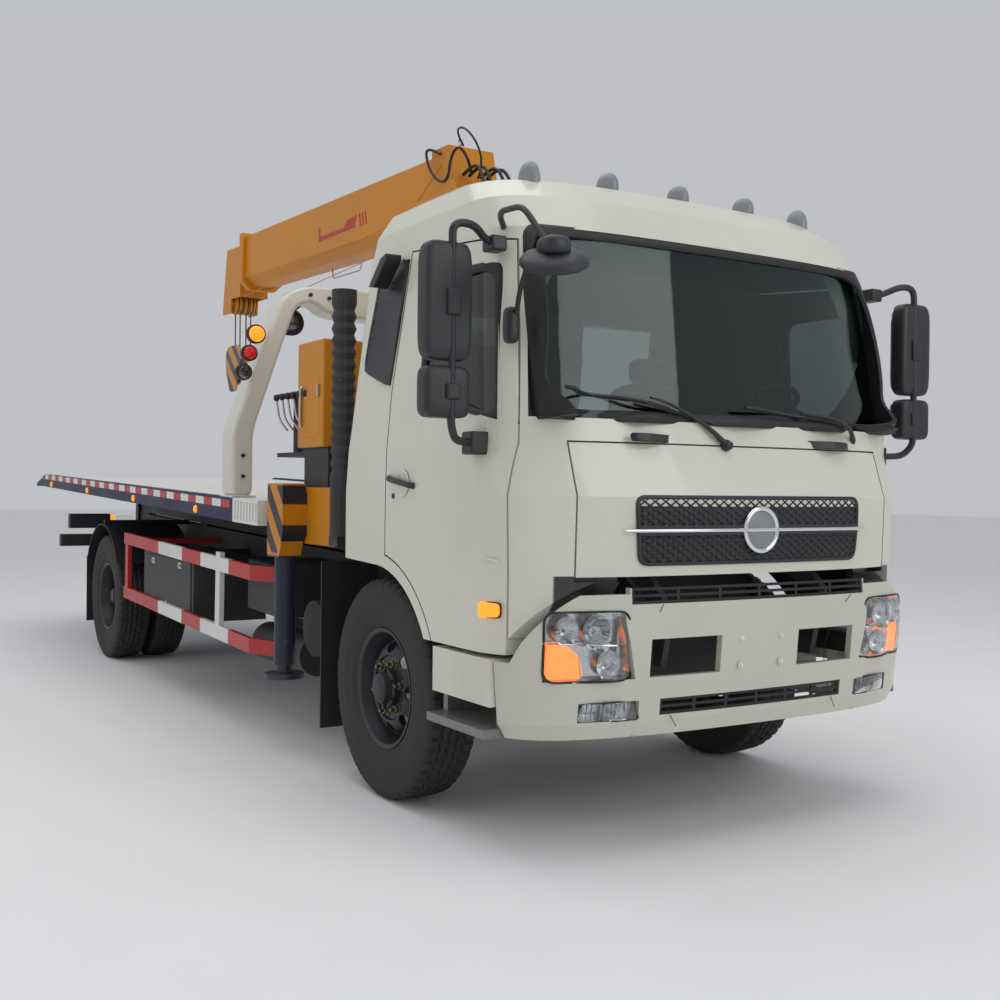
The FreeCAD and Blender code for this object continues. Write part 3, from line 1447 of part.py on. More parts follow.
def make_side_fittings():
    flap = block(flap_x, flap_x + mud_wall, mud_near, mud_far, front_flap_low, front_guard_high)
    arm = block(flap_x, flap_x + mud_wall * 4, rail_outer + seat_gap, mud_near + mud_wall,
                rail_top - mud_wall * 8, rail_top)
    guard = join([flap, arm])

    centre = Vec(-wheelbase, 0, tyre_radius)
    outer = rear_guard_radius
    whole = tube(centre + Vec(0, rear_guard_near, 0), centre + Vec(0, rear_guard_far, 0), outer + mud_wall,
                 outer)
    upper = block(-wheelbase - outer * 2, -wheelbase + outer * 2, 0, bed_half, tyre_radius + outer * 0.5,
                  tyre_radius + outer * 2)
    hood = whole.common(upper)
    flat_z = tyre_radius + outer * 0.5
    reach = math.sqrt(outer * outer - (outer * 0.5) ** 2)
    apron = block(-wheelbase - reach - mud_wall * 3, -wheelbase - reach - mud_wall * 2, rear_guard_near,
                  rear_guard_far, rear_flap_low, flat_z + mud_wall)
    lip = block(-wheelbase - reach - mud_wall * 3, -wheelbase - reach, rear_guard_near, rear_guard_far,
                flat_z, flat_z + mud_wall)
    stay = block(-wheelbase - mud_wall * 2, -wheelbase + mud_wall * 2, rail_outer + seat_gap,
                 rear_guard_far - cut_over, tyre_radius + outer, tyre_radius + outer + mud_wall * 4)
    keep("mudguards", both(guard) + both(join([hood, apron, lip, stay])))

    tank = rounded_box(tank_x - tank_length, tank_x, tank_y - tank_half, tank_y + tank_half,
                       tank_z - tank_half,
                       tank_z + tank_half, tank_round, Vec(1, 0, 0))
    hang = [block(x, x + cut_over * 3, rail_outer + seat_gap, tank_y - tank_half + tank_round, tank_z,
                  tank_z + tank_half - cut_over) for x in (tank_x - tank_length * 0.25,
                                                           tank_x - tank_length * 0.75)]
    keep("fuel_tank", [join([tank] + hang)])

    box = block(toolbox_back, toolbox_front, -toolbox_out, -toolbox_in, toolbox_low, toolbox_high)
    arms = [block(x, x + cut_over * 3, -toolbox_in - cut_over, -rail_outer - seat_gap,
                  toolbox_high - rail_height / 2, toolbox_high)
            for x in (toolbox_back + rail_height, toolbox_front - rail_height)]
    toolbox = raked(join([box] + arms))

    battery = block(battery_back, battery_front, -battery_out, -battery_in, battery_low, battery_high)
    arm = block(battery_back + cut_over * 5, battery_front - cut_over * 5, -battery_in,
                -rail_outer - seat_gap,
                battery_high - rail_height / 3, battery_high - cut_over)
    battery = raked(join([battery, arm]))

    cleaner = rod(Vec(cleaner_x, -cleaner_in, cleaner_z), Vec(cleaner_x, -cleaner_out, cleaner_z),
                  cleaner_radius)
    arm = block(cleaner_x - cut_over, cleaner_x + cut_over, -cleaner_in, -rail_outer - seat_gap,
                rail_top - rail_height * 0.8, rail_top - rail_height * 0.5)
    drum = rod(Vec(muffler_back, -muffler_y, muffler_z - muffler_radius), Vec(muffler_front, -muffler_y,
               muffler_z - muffler_radius), muffler_radius)
    hang = block(muffler_back + cut_over * 6, muffler_back + cut_over * 8,
                 -muffler_y + muffler_radius * 0.8,
                 -rail_outer - seat_gap, muffler_z - muffler_radius * 1.4, muffler_z - muffler_radius * 0.6)
    web_join = block(muffler_back + cut_over * 6, muffler_back + cut_over * 8, -rail_outer - cut_over * 2,
                     -rail_outer - seat_gap, muffler_z - muffler_radius, rail_top - rail_height / 2)
    stack = lathe([(intake_low, 0), (intake_low, intake_radius)] + intake_ribs()
                  + [(intake_high, intake_radius), (intake_high, 0)], intake_sides)
    stack.rotate(Vec(0, 0, 0), Vec(1, 0, 0), 90)
    stack.translate(Vec(intake_x, -intake_y, 0))
    foot = block(intake_x - intake_foot_half, intake_x + intake_foot_half, -intake_y - intake_foot_half,
                 -rail_outer - seat_gap, intake_low - intake_foot_half, intake_low + seat_gap)
    drop = block(intake_x - intake_foot_half, intake_x + intake_foot_half, -rail_outer - slot_plate - seat_gap,
                 -rail_outer - seat_gap, rail_top - rail_height / 2, intake_low - intake_foot_half + cut_over)
    intake = join([stack, foot, drop])
    keep("side_boxes", [toolbox, battery, join([cleaner, arm]), join([drum, hang, web_join]), intake])

    rails = []
    for low, high in ((guard_upper_low, guard_upper_high), (guard_lower_low, guard_lower_high)):
        straight = block(guard_back, guard_bend_x, -guard_y, -guard_y + guard_thick, low, high)
        bent = plan_prism([(guard_bend_x, -guard_y), (guard_front, -guard_y + guard_bend_in),
                           (guard_front, -guard_y + guard_bend_in + guard_thick),
                           (guard_bend_x, -guard_y + guard_thick)],
                          low, high)
        rails += [straight, bent]
    posts = []
    for x in (guard_post_x, guard_back_post_x):
        posts.append(block(x - guard_post_width / 2, x + guard_post_width / 2, -guard_y,
                           -guard_y + guard_thick,
                           guard_lower_low, guard_post_high if x == guard_post_x else guard_upper_high))
        posts.append(block(x - guard_arm_half, x + guard_arm_half, -guard_y + guard_thick / 2,
                           -rail_outer - seat_gap, guard_upper_low, guard_upper_low + guard_arm_half * 2))
    guard = raked(join(rails + posts))
    keep("side_guards", both(guard))

    bar = block(under_bar_x - under_bar_depth / 2, under_bar_x + under_bar_depth / 2, -under_bar_half,
                under_bar_half,
                under_bar_z - under_bar_height / 2, under_bar_z + under_bar_height / 2)
    hangers = []
    for sign in (-1, 1):
        y = sign * (rail_outer + slot_plate + seat_gap * 2)
        hang_x = under_bar_x + under_hanger_length
        hang_points = [(under_bar_x, under_bar_z),
                       (hang_x, rail_top - rail_height * under_hanger_high_share),
                       (hang_x, rail_top - rail_height * under_hanger_low_share),
                       (under_bar_x, under_bar_z - under_bar_height / 2)]
        hangers.append(side_prism(hang_points, y - slot_plate, y + slot_plate))
    lamps = []
    for sign in (-1, 1):
        near = sign * tail_lamp_near
        far = sign * under_bar_half
        low_y = min(near, far)
        high_y = max(near, far)
        plate = block(tail_lamp_x, tail_lamp_x + tail_lamp_length, low_y, high_y, tail_lamp_low,
                      tail_lamp_high)
        arm_low = min(sign * (rail_outer + seat_gap), near)
        arm_high = max(sign * (rail_outer + seat_gap), near)
        arm = block(tail_lamp_x + tail_lamp_length / 3, tail_lamp_x + tail_lamp_length * 2 / 3, arm_low,
                    arm_high,
                    tail_lamp_low, (tail_lamp_low + tail_lamp_high) / 2)
        lamps.append(raked(join([plate, arm])))
    keep("rear_bar", [raked(join([bar] + hangers))] + lamps)


# Tilt frame, bed and arch
def make_tilt_frame():
    rail = block(tilt_hinge_x - tilt_boss_radius, tilt_front, tilt_rail_inner, tilt_rail_outer,
                 tilt_rail_low, tilt_rail_high)
    rail_clear = rail_top + seat_gap
    pads = [block(x, x + pad_length, tilt_rail_inner, tilt_rail_outer, rail_clear, tilt_rail_low)
            for x in (tilt_front - pad_length * 2, -wheelbase + pad_length * 2, tilt_hinge_x + pad_length)]
    boss = rod(Vec(tilt_hinge_x, tilt_rail_inner, tilt_hinge_z),
               Vec(tilt_hinge_x, tilt_rail_outer, tilt_hinge_z),
               tilt_boss_radius)
    side = join([rail, boss] + pads)
    head = block(tilt_front - pad_length / 2, tilt_front, -tilt_rail_inner - cut_over,
                 tilt_rail_inner + cut_over,
                 tilt_rail_low, tilt_rail_high)
    pin = rod(Vec(tilt_hinge_x, -rail_outer - cut_over, tilt_hinge_z),
              Vec(tilt_hinge_x, rail_outer + cut_over, tilt_hinge_z),
              tilt_hinge_radius)
    eye_cross = block(tilt_eye_x + tilt_eye_radius + eye_room,
                      tilt_eye_x + tilt_eye_radius + eye_room + pad_length / 3,
                      -tilt_rail_inner - cut_over, tilt_rail_inner + cut_over, tilt_rail_low,
                      slide_cylinder_z - slide_barrel_radius - run_gap)
    pieces = both(side) + [head, pin, eye_cross]
    ear_back = tilt_eye_x - tilt_eye_radius
    ear_front = tilt_eye_x + tilt_eye_radius + eye_room + run_gap
    for y in (-tilt_cylinder_y, tilt_cylinder_y):
        for sign in (-1, 1):
            near = y + sign * (eye_half + seat_gap * 2)
            far = near + sign * luff_ear_thick
            pieces.append(block(ear_back, ear_front, min(near, far), max(near, far),
                                tilt_eye_z - tilt_eye_radius, tilt_rail_high - cut_over))
    frame = join(pieces)
    barrel_z = slide_cylinder_z
    holder = block(slide_barrel_front - pad_length / 2, tilt_front - pad_length / 4, -slide_barrel_radius,
                   slide_barrel_radius, barrel_z - slide_barrel_radius, barrel_z + slide_barrel_radius)
    barrel = tube(Vec(slide_barrel_back, 0, barrel_z),
                  Vec(slide_barrel_front - pad_length / 4, 0, barrel_z),
                  slide_barrel_radius, slide_rod_radius + seat_gap)
    keep("tilt_frame", [raked(join([frame, holder, barrel]))])


def bed_side_outline():
    tail = -tail_reach_raked
    return [(bed_side_front, bed_side_low), (bed_side_front, bed_side_high),
            (bed_tail_start, bed_side_high),
            (tail, bed_side_high - bed_side_drop), (tail, bed_side_high - bed_side_drop - bed_tail_thin),
            (bed_tail_start, bed_side_low + bed_side_lift)]


bed_side_drop = 100.0
bed_side_lift = 20.0
tail_rise = bed_side_high - bed_side_drop - tyre_radius
tail_reach_raked = (tail_reach + tail_rise * math.sin(rake)) / math.cos(rake)


def make_bed():
    side = side_prism(bed_side_outline(), bed_half - bed_side_thick, bed_half)
    floor_high = bed_side_high - bed_floor_drop
    floor_low_z = floor_high - bed_floor_thick
    floor_points = [(bed_side_front, floor_low_z), (bed_side_front, floor_high),
                    (bed_tail_start, floor_high),
                    (-tail_reach_raked, bed_side_high - bed_side_drop - bed_tail_thin / 4),
                    (-tail_reach_raked, bed_side_high - bed_side_drop - bed_tail_thin),
                    (bed_tail_start, floor_low_z)]
    inner_half = bed_half - bed_side_thick
    floor = side_prism(floor_points, -inner_half, inner_half)
    front = block(bed_side_front, bed_front, -bed_half, bed_half, bed_side_low, bed_side_high)
    rib_pitch = (bed_front - bed_side_front) / bed_rib_count
    for number in range(bed_rib_count):
        x = bed_side_front + rib_pitch * (number + 0.5)
        groove = block(x - rib_pitch / 4, x + rib_pitch / 4, bed_half - bed_rib_depth, bed_half + cut_over,
                       bed_side_low + bed_rib_margin, bed_side_high - bed_rib_margin)
        for piece in both(groove):
            front = front.cut(piece)
    runner_low = tilt_rail_high + seat_gap
    runner = block(bed_tail_start + pad_length, bed_front - pad_length, bed_runner_inner, bed_runner_outer,
                   runner_low, floor_low_z)
    crosses = []
    span = bed_tail_start - bed_side_front
    for number in range(bed_cross_count):
        x = bed_side_front + span * (number + 0.5) / bed_cross_count
        crosses.append(block(x - bed_cross_width / 2, x + bed_cross_width / 2, -inner_half, inner_half,
                             floor_low_z - bed_cross_height, floor_low_z))
    bracket = block(slide_eye_x - bed_cross_width / 2, slide_eye_x + bed_cross_width / 2, -bed_cross_width,
                    bed_cross_width, slide_cylinder_z - slide_rod_radius, floor_low_z)
    rod_shape = rod(Vec(slide_eye_x, 0, slide_cylinder_z),
                    Vec(slide_barrel_front - slide_rod_inset, 0, slide_cylinder_z),
                    slide_rod_radius)
    bed = join(both(side) + [floor, front] + both(runner) + crosses)
    keep("bed_tray", [raked(join([bed, bracket, rod_shape]))])


def make_arch():
    foot_z = raked_point(arch_front, 0, bed_side_high).z + seat_gap
    thick = arch_member
    lean = math.atan2(arch_top_z - arch_knee_z, arch_foot_half - arch_top_half)
    side_in = thick / math.sin(lean)
    knee_in = arch_knee_z + thick * 0.12
    outline = [(arch_foot_half, foot_z), (arch_foot_half, arch_knee_z),
               (arch_top_half + arch_bend * math.cos(lean), arch_top_z - arch_bend * math.sin(lean)),
               (arch_top_half - arch_bend * 0.6, arch_top_z),
               (0, arch_top_z), (0, arch_top_z - arch_bar_height),
               (arch_top_half - arch_bend - side_in * 0.3, arch_top_z - arch_bar_height),
               (arch_top_half + arch_bend * math.cos(lean) - side_in,
                arch_top_z - arch_bar_height - arch_bend * 0.5),
               (arch_foot_half - side_in, knee_in), (arch_foot_half - thick, foot_z)]
    half = front_prism(outline, arch_back, arch_front)
    whole = join(both(half))
    below = raked(block(bed_tail_start, bed_front, -bed_half, bed_half, 0, bed_side_high + seat_gap))
    keep("arch", [whole.cut(below)])


def make_winch():
    axis_z = raked_point(winch_x, 0, winch_z).z
    drum = rod(Vec(winch_x, -winch_half, axis_z), Vec(winch_x, winch_half, axis_z), winch_drum_radius)
    pieces = [drum]
    low = raked_point(winch_x, 0, bed_side_high).z + seat_gap
    for sign in (-1, 1):
        y = sign * winch_half
        pieces.append(rod(Vec(winch_x, y - winch_cheek / 2, axis_z),
                          Vec(winch_x, y + winch_cheek / 2, axis_z),
                          winch_cheek_radius))
        pieces.append(block(winch_x - winch_cheek_radius, winch_x + winch_cheek_radius, y - winch_cheek / 2,
                            y + winch_cheek / 2, low, axis_z))
    motor = rod(Vec(winch_x, winch_half, axis_z), Vec(winch_x, winch_half * 1.6, axis_z),
                winch_drum_radius * 0.8)
    whole = join(pieces + [motor])
    below = raked(block(bed_tail_start, bed_front, -bed_half, bed_half, 0, bed_side_high + seat_gap))
    keep("bed_winch", [whole.cut(below)])


def cylinder_pair(foot, eye, barrel_radius, rod_radius, barrel_share, eye_radius, half, pin_radius,
                  has_pin):
    # A hydraulic cylinder between two eyes, as a barrel and a rod
    line = eye - foot
    length = line.Length
    direction = Vec(line.x / length, line.y / length, line.z / length)
    barrel_end = foot + direction * (length * barrel_share)
    barrel_start = foot + direction * (eye_radius + barrel_radius)
    across = Vec(0, half, 0)
    barrel = join([rod(barrel_start, barrel_end, barrel_radius), rod(foot, barrel_start, half * 0.9),
                   rod(foot - across, foot + across, eye_radius)])
    rod_start = barrel_start + direction * cut_over
    bore = rod(rod_start, barrel_end + direction * cut_over, rod_radius + seat_gap)
    barrel = barrel.cut(bore)
    if has_pin:
        barrel = join([barrel, rod(foot - across - Vec(0, luff_ear_thick, 0),
                                   foot + across + Vec(0, luff_ear_thick, 0),
                                   pin_radius)])
    rod_low = rod_start + direction * cut_over
    shaft = join([rod(rod_low, eye, rod_radius), rod(eye - across, eye + across, eye_radius)])
    return barrel, shaft, direction


def make_tilt_cylinders():
    barrels = []
    rods = []
    foot_pair = []
    for y in (-tilt_cylinder_y, tilt_cylinder_y):
        foot = raked_point(tilt_foot_x, y, tilt_foot_z)
        eye = raked_point(tilt_eye_x, y, tilt_eye_z)
        barrel, shaft, direction = cylinder_pair(foot, eye, tilt_barrel_radius, tilt_rod_radius,
                                                 tilt_barrel_share,
                                                 tilt_eye_radius, eye_half, tilt_pin_radius, True)
        barrels.append(barrel)
        rods.append(shaft)
        foot_pair = [foot, eye, direction]
    tie = rod(Vec(foot_pair[0].x, -tilt_cylinder_y, foot_pair[0].z),
              Vec(foot_pair[0].x, tilt_cylinder_y, foot_pair[0].z),
              tilt_pin_radius)
    keep("tilt_barrels", [join(barrels + [tie])])
    keep("tilt_rods", rods)
    return foot_pair


# Crane
def make_crane_base():
    wall = base_wall
    box = block(base_back, base_front, -base_half, base_half, base_low, base_high)
    right_slot = block(right_beam_back - seat_gap, right_beam_front + seat_gap, -base_half - cut_over,
                       base_half - wall,
                       beam_box_low - seat_gap, beam_box_high + seat_gap)
    left_back = base_front - (right_beam_front - base_back)
    left_front = base_front - (right_beam_back - base_back)
    left_slot = block(left_back - seat_gap, left_front + seat_gap, -base_half + wall, base_half + cut_over,
                      beam_box_low - seat_gap, beam_box_high + seat_gap)
    box = box.cut(right_slot).cut(left_slot)
    foot = block(base_back, base_front, -base_foot_half, base_foot_half, base_foot_low - cut_over * 2,
                 base_low)
    under = raked(block(rail_back, rail_front, -base_half, base_half, 0, rail_top + seat_gap))
    foot = foot.cut(under)
    slew_ring = rod(Vec(crane_x, 0, base_high), Vec(crane_x, 0, base_high + slew_ring_height),
                    slew_ring_radius)
    keep("crane_base", [join([box, foot, slew_ring])])

    beam_back = right_beam_back
    beam_front = right_beam_front
    leg_x = beam_back + leg_x_share * (beam_front - beam_back)
    solid = block(beam_back, beam_front, -leg_y + leg_house_half, -beam_inner, beam_box_low, beam_box_high)
    hollow = block(beam_back + wall / 2, beam_front - wall / 2, -leg_y + leg_house_half * 2,
                   -beam_inner + cut_over,
                   beam_box_low + wall / 2, beam_box_high - wall / 2)
    beam = solid.cut(hollow)
    house = side_prism([(beam_back, leg_house_high), (beam_back, leg_house_low),
                        (leg_x + leg_house_half, leg_house_low),
                        (beam_front, beam_box_low + wall), (beam_front, leg_house_high)],
                       -leg_y - leg_house_half, -leg_y + leg_house_half)
    barrel = rod(Vec(leg_x, -leg_y, leg_barrel_low), Vec(leg_x, -leg_y, leg_house_low + cut_over),
                 leg_barrel_radius)
    bore = rod(Vec(leg_x, -leg_y, leg_barrel_low - cut_over), Vec(leg_x, -leg_y, leg_rod_high + cut_over),
               leg_rod_radius + seat_gap)
    right_beam = join([beam, house, barrel]).cut(bore)
    foot_top = leg_foot_low + leg_foot_thick
    foot_plate = rod(Vec(leg_x, -leg_y, leg_foot_low), Vec(leg_x, -leg_y, foot_top), leg_foot_radius)
    leg_rod = rod(Vec(leg_x, -leg_y, foot_top), Vec(leg_x, -leg_y, leg_rod_high), leg_rod_radius)
    right_leg = join([foot_plate, leg_rod])
    keep("outrigger_beam_right", [right_beam])
    keep("outrigger_leg_right", [right_leg])
    # The left beam lies in the front slot, turned half round about the crane's axis
    middle = Vec((base_back + base_front) / 2, 0, 0)
    for name, shape in (("outrigger_beam_left", right_beam), ("outrigger_leg_left", right_leg)):
        turned = shape.copy()
        turned.rotate(middle, Vec(0, 0, 1), 180)
        keep(name, [turned])

    tank = rounded_box(oil_back, oil_front, -oil_out, -oil_in, oil_low, oil_high, oil_round, Vec(0, 0, 1))
    keep("oil_tank", [tank])
    valve = block(valve_back, valve_front, -valve_out, -valve_in, base_high + seat_gap, oil_low - seat_gap)
    low_plate = block(lever_back, lever_front, -valve_out, -valve_in, lever_low, lever_low + lever_plate)
    high_plate = block(lever_back, lever_front, -valve_out, -valve_in, lever_high - lever_plate, lever_high)
    posts = []
    for x_share in (0.3, 0.7):
        x = lever_back + x_share * (lever_front - lever_back)
        y = -(valve_out + valve_in) / 2
        posts.append(rod(Vec(x, y, lever_low), Vec(x, y, lever_high), lever_rod_radius * 3))
    link = block(lever_front - cut_over, valve_back + cut_over, -valve_out, -valve_in, lever_low,
                 lever_low + lever_plate)
    keep("control_station", [join([valve, low_plate, high_plate, link] + posts)])


def boom_profile(inset, low, high, chamfer):
    half = boom_half - inset
    return [(-half, low + inset + chamfer), (-half, high - inset), (half, high - inset),
            (half, low + inset + chamfer), (half - chamfer, low + inset), (-half + chamfer, low + inset)]


def make_crane():
    ring_top = base_high + slew_ring_height + seat_gap
    pivot = Vec(crane_x - boom_pivot_back, 0, boom_pivot_z)
    inside = boom_half + boom_gap
    foot = rod(Vec(crane_x, 0, ring_top), Vec(crane_x, 0, ring_top + slew_ring_height * 2),
               slew_ring_radius * 0.9)
    cheek_low = ring_top + slew_ring_height
    head_top = column_head_half / 2
    cheek_points = [(crane_x - column_low_half, cheek_low), (crane_x - column_low_half, column_neck),
                    (pivot.x - column_head_half, pivot.z), (pivot.x - head_top, column_top),
                    (pivot.x + head_top, column_top), (pivot.x + column_head_half, pivot.z),
                    (crane_x + column_high_half, column_neck), (crane_x + column_low_half, cheek_low)]
    cheek = side_prism(cheek_points, inside, inside + column_side)
    web = block(crane_x + column_high_half - column_side, crane_x + column_high_half, -inside, inside,
                cheek_low,
                column_neck)
    floor = block(crane_x - column_low_half, crane_x + column_low_half, -inside - column_side,
                  inside + column_side,
                  cheek_low, cheek_low + column_side)
    foot_ear_z = luff_foot_z - luff_eye_radius
    ears = []
    for sign in (-1, 1):
        near = sign * (luff_eye_half + seat_gap * 2)
        far = near + sign * luff_ear_thick
        ears.append(block(crane_x - luff_foot_out - luff_eye_radius, crane_x + column_high_half,
                          min(near, far),
                          max(near, far), foot_ear_z - luff_eye_radius, luff_foot_z + luff_eye_radius))
    bottom = block(crane_x - luff_foot_out - luff_eye_radius, crane_x + column_high_half, -inside, inside,
                   foot_ear_z - luff_eye_radius - column_side, foot_ear_z - luff_eye_radius)
    drum_x = crane_x + column_high_half - hoist_drum_radius
    drum = rod(Vec(drum_x, -hoist_half, hoist_z), Vec(drum_x, hoist_half, hoist_z), hoist_drum_radius)
    column = join([foot, web, floor, bottom, drum] + both(cheek) + ears)
    pin_hole = rod(Vec(pivot.x, -inside * 2, pivot.z), Vec(pivot.x, inside * 2, pivot.z),
                   boom_pin_radius + seat_gap)
    foot_pin = rod(Vec(crane_x - luff_foot_out, -inside, luff_foot_z),
                   Vec(crane_x - luff_foot_out, inside, luff_foot_z),
                   luff_pin_radius + seat_gap)
    column = column.cut(pin_hole).cut(foot_pin)
    keep("crane_column", [column])

    root = boom_root_low
    outer = front_prism(boom_profile(0, boom_low, boom_high, boom_chamfer), boom_front_end, root)
    crest = block(boom_crest_back, root, -boom_half, boom_half, boom_high - boom_wall,
                  boom_high + boom_crest)
    collar = front_prism(boom_profile(-boom_collar_out, boom_low, boom_high, boom_chamfer), boom_front_end,
                         boom_front_end + boom_collar_length)
    outer = join([outer, crest, collar])
    bore = front_prism(boom_profile(boom_wall, boom_low, boom_high, boom_chamfer),
                       boom_front_end - cut_over,
                       section_inner_end + cut_over * 5)
    pin = rod(Vec(pivot.x, -inside - column_side, pivot.z), Vec(pivot.x, inside + column_side, pivot.z),
              boom_pin_radius)
    boom = outer.cut(bore)
    nose_cut = side_prism([(boom_root_high, boom_high + boom_crest),
                           (boom_root_high, boom_high + boom_crest + cut_over),
                           (root + cut_over, boom_high + boom_crest + cut_over),
                           (root + cut_over, boom_low),
                           (root, boom_low)], -inside, inside)
    boom = boom.cut(nose_cut)
    eye_x = crane_x - luff_eye_out
    lugs = []
    for sign in (-1, 1):
        near = sign * (luff_eye_half + seat_gap * 2)
        far = near + sign * luff_ear_thick
        lug_points = [(eye_x - luff_lug_half, boom_low + boom_wall / 2),
                      (eye_x - luff_eye_radius, luff_eye_z - luff_eye_radius),
                      (eye_x + luff_eye_radius, luff_eye_z - luff_eye_radius),
                      (eye_x + luff_lug_half, boom_low + boom_wall / 2)]
        lugs.append(side_prism(lug_points, min(near, far), max(near, far)))
    boom = join([boom, pin] + lugs)
    eye_space = rod(Vec(eye_x, -luff_eye_half - seat_gap, luff_eye_z),
                    Vec(eye_x, luff_eye_half + seat_gap, luff_eye_z),
                    luff_eye_radius + run_gap)
    boom = boom.cut(eye_space)
    mouth = front_prism(boom_profile(boom_wall, boom_low, boom_high, boom_chamfer), boom_front_end,
                        boom_front_end + boom_pad)
    mouth_bore = front_prism(boom_profile(boom_wall + boom_gap - seat_gap, boom_low, boom_high,
                                          boom_chamfer),
                             boom_front_end - cut_over, boom_front_end + boom_pad + cut_over)
    boom = join([boom, mouth.cut(mouth_bore)])
    keep("boom_base", [lifted(boom)])

    gap = boom_gap
    two_inset = boom_wall + gap
    two_outer = front_prism(boom_profile(two_inset, boom_low, boom_high, boom_chamfer), section_two_end,
                            section_inner_end)
    two_bore = front_prism(boom_profile(two_inset + boom_wall, boom_low, boom_high, boom_chamfer),
                           section_two_end - cut_over, section_inner_end + cut_over)
    two_pad = front_prism(boom_profile(boom_wall + seat_gap, boom_low, boom_high, boom_chamfer),
                          section_inner_end - boom_pad, section_inner_end)
    two_mouth = front_prism(boom_profile(two_inset + boom_wall, boom_low, boom_high, boom_chamfer),
                            section_two_end, section_two_end + boom_pad)
    two_mouth_bore = front_prism(boom_profile(two_inset + boom_wall + gap - seat_gap, boom_low, boom_high,
                                              boom_chamfer),
                                 section_two_end - cut_over, section_two_end + boom_pad + cut_over)
    two = join([two_outer, two_pad]).cut(two_bore)
    keep("boom_section_two", [lifted(join([two, two_mouth.cut(two_mouth_bore)]))])
    three_inset = two_inset + boom_wall + gap
    three_outer = front_prism(boom_profile(three_inset, boom_low, boom_high, boom_chamfer),
                              section_three_end,
                              section_inner_end)
    three_bore = front_prism(boom_profile(three_inset + boom_wall, boom_low, boom_high, boom_chamfer),
                             section_three_end - cut_over, section_inner_end + cut_over)
    three_pad = front_prism(boom_profile(three_inset - gap + seat_gap, boom_low, boom_high, boom_chamfer),
                            section_inner_end - boom_pad, section_inner_end)
    three = join([three_outer, three_pad]).cut(three_bore)
    plates = []
    head_top = boom_high - three_inset
    for sign in (-1, 1):
        near = sign * (head_half - head_plate)
        far = sign * head_half
        plates.append(side_prism([(section_three_end + head_plate, head_top), (head_back_high, head_top),
                                  (head_back_low, head_low), (head_front_low, head_low),
                                  (head_front_low + head_plate, head_neck),
                                  (section_three_end + head_plate, head_neck)],
                                 min(near, far), max(near, far)))
    face = block(section_three_end, section_three_end + head_plate, -head_half, head_half, head_neck,
                 head_top)
    back = block(head_back_high, head_back_high + head_plate, -head_half, head_half, head_neck, head_top)
    roller = rod(Vec(roller_x, -head_half, roller_z), Vec(roller_x, head_half, roller_z), roller_radius)
    sheave_pin = rod(Vec(sheave_x, -head_half, sheave_z), Vec(sheave_x, head_half, sheave_z),
                     boom_pin_radius * 0.7)
    sheave = rod(Vec(sheave_x, -rope_spread_y - head_plate, sheave_z),
                 Vec(sheave_x, rope_spread_y + head_plate, sheave_z),
                 sheave_radius)
    keep("boom_section_three", [lifted(join([three, face, back, sheave_pin, sheave, roller] + plates))])

    foot_point = Vec(crane_x - luff_foot_out, 0, luff_foot_z)
    eye_point = lifted_point(eye_x, 0, luff_eye_z)
    barrel, shaft, direction = cylinder_pair(foot_point, eye_point, luff_barrel_radius, luff_rod_radius,
                                             luff_barrel_share, luff_eye_radius, luff_eye_half,
                                             luff_pin_radius, True)
    keep("luff_barrel", [barrel])
    keep("luff_rod", [shaft])
    return foot_point, eye_point, direction, pivot


def make_hook():
    pin = lifted_point(sheave_x, 0, sheave_z)
    height = hook_top - hook_bottom
    outline = []
    for out_share, rise_share in hook_outline_shares:
        outline.append((pin.x + out_share * hook_half_x, hook_bottom + rise_share * height))
    body = side_prism(outline, -hook_half_y, hook_half_y)
    shank_end = hook_bottom - hook_thick * 2
    shank = rod(Vec(pin.x, 0, hook_bottom + cut_over), Vec(pin.x, 0, shank_end), hook_thick)
    centre = Vec(pin.x, 0, shank_end - hook_radius)
    bend = ring(hook_radius, hook_thick, hook_sides, hook_corners)
    bend.translate(centre)
    gap = block(pin.x, pin.x + hook_radius * 2, -hook_thick * 2, hook_thick * 2, centre.z,
                centre.z + hook_radius * 2)
    hook = bend.cut(gap)
    ropes = []
    for x in (pin.x - sheave_radius, pin.x + sheave_radius):
        for y in (-rope_spread_y, rope_spread_y):
            ropes.append(rod(Vec(x, y, hook_top - cut_over), Vec(x, y, rope_top_z), rope_radius))
    keep("hook_block", [join([body, shank, hook] + ropes)])


def say(name, point, direction=None):
    place = [round((point.x + origin_shift) / 1000, 6), round(point.y / 1000, 6), round(point.z / 1000, 6)]
    line = [name] + place
    if direction is not None:
        line += [round(direction.x, 7), round(direction.y, 7), round(direction.z, 7)]
    print("place", *line)


def export_all():
    os.makedirs("parts", exist_ok=True)
    total = 0
    for name, solids in nodes.items():
        moved = []
        for solid in solids:
            piece = solid.copy()
            piece.translate(Vec(origin_shift, 0, 0))
            moved.append(piece)
            total += piece.Volume
        shape = moved[0] if len(moved) == 1 else Part.makeCompound(moved)
        valid = all(piece.isValid() for piece in moved)
        print("node", name, len(moved), "valid" if valid else "INVALID")
        shape.exportStep("parts/" + name + ".step")
    print("nodes", len(nodes), "volume m3", round(total / 1e9, 4))


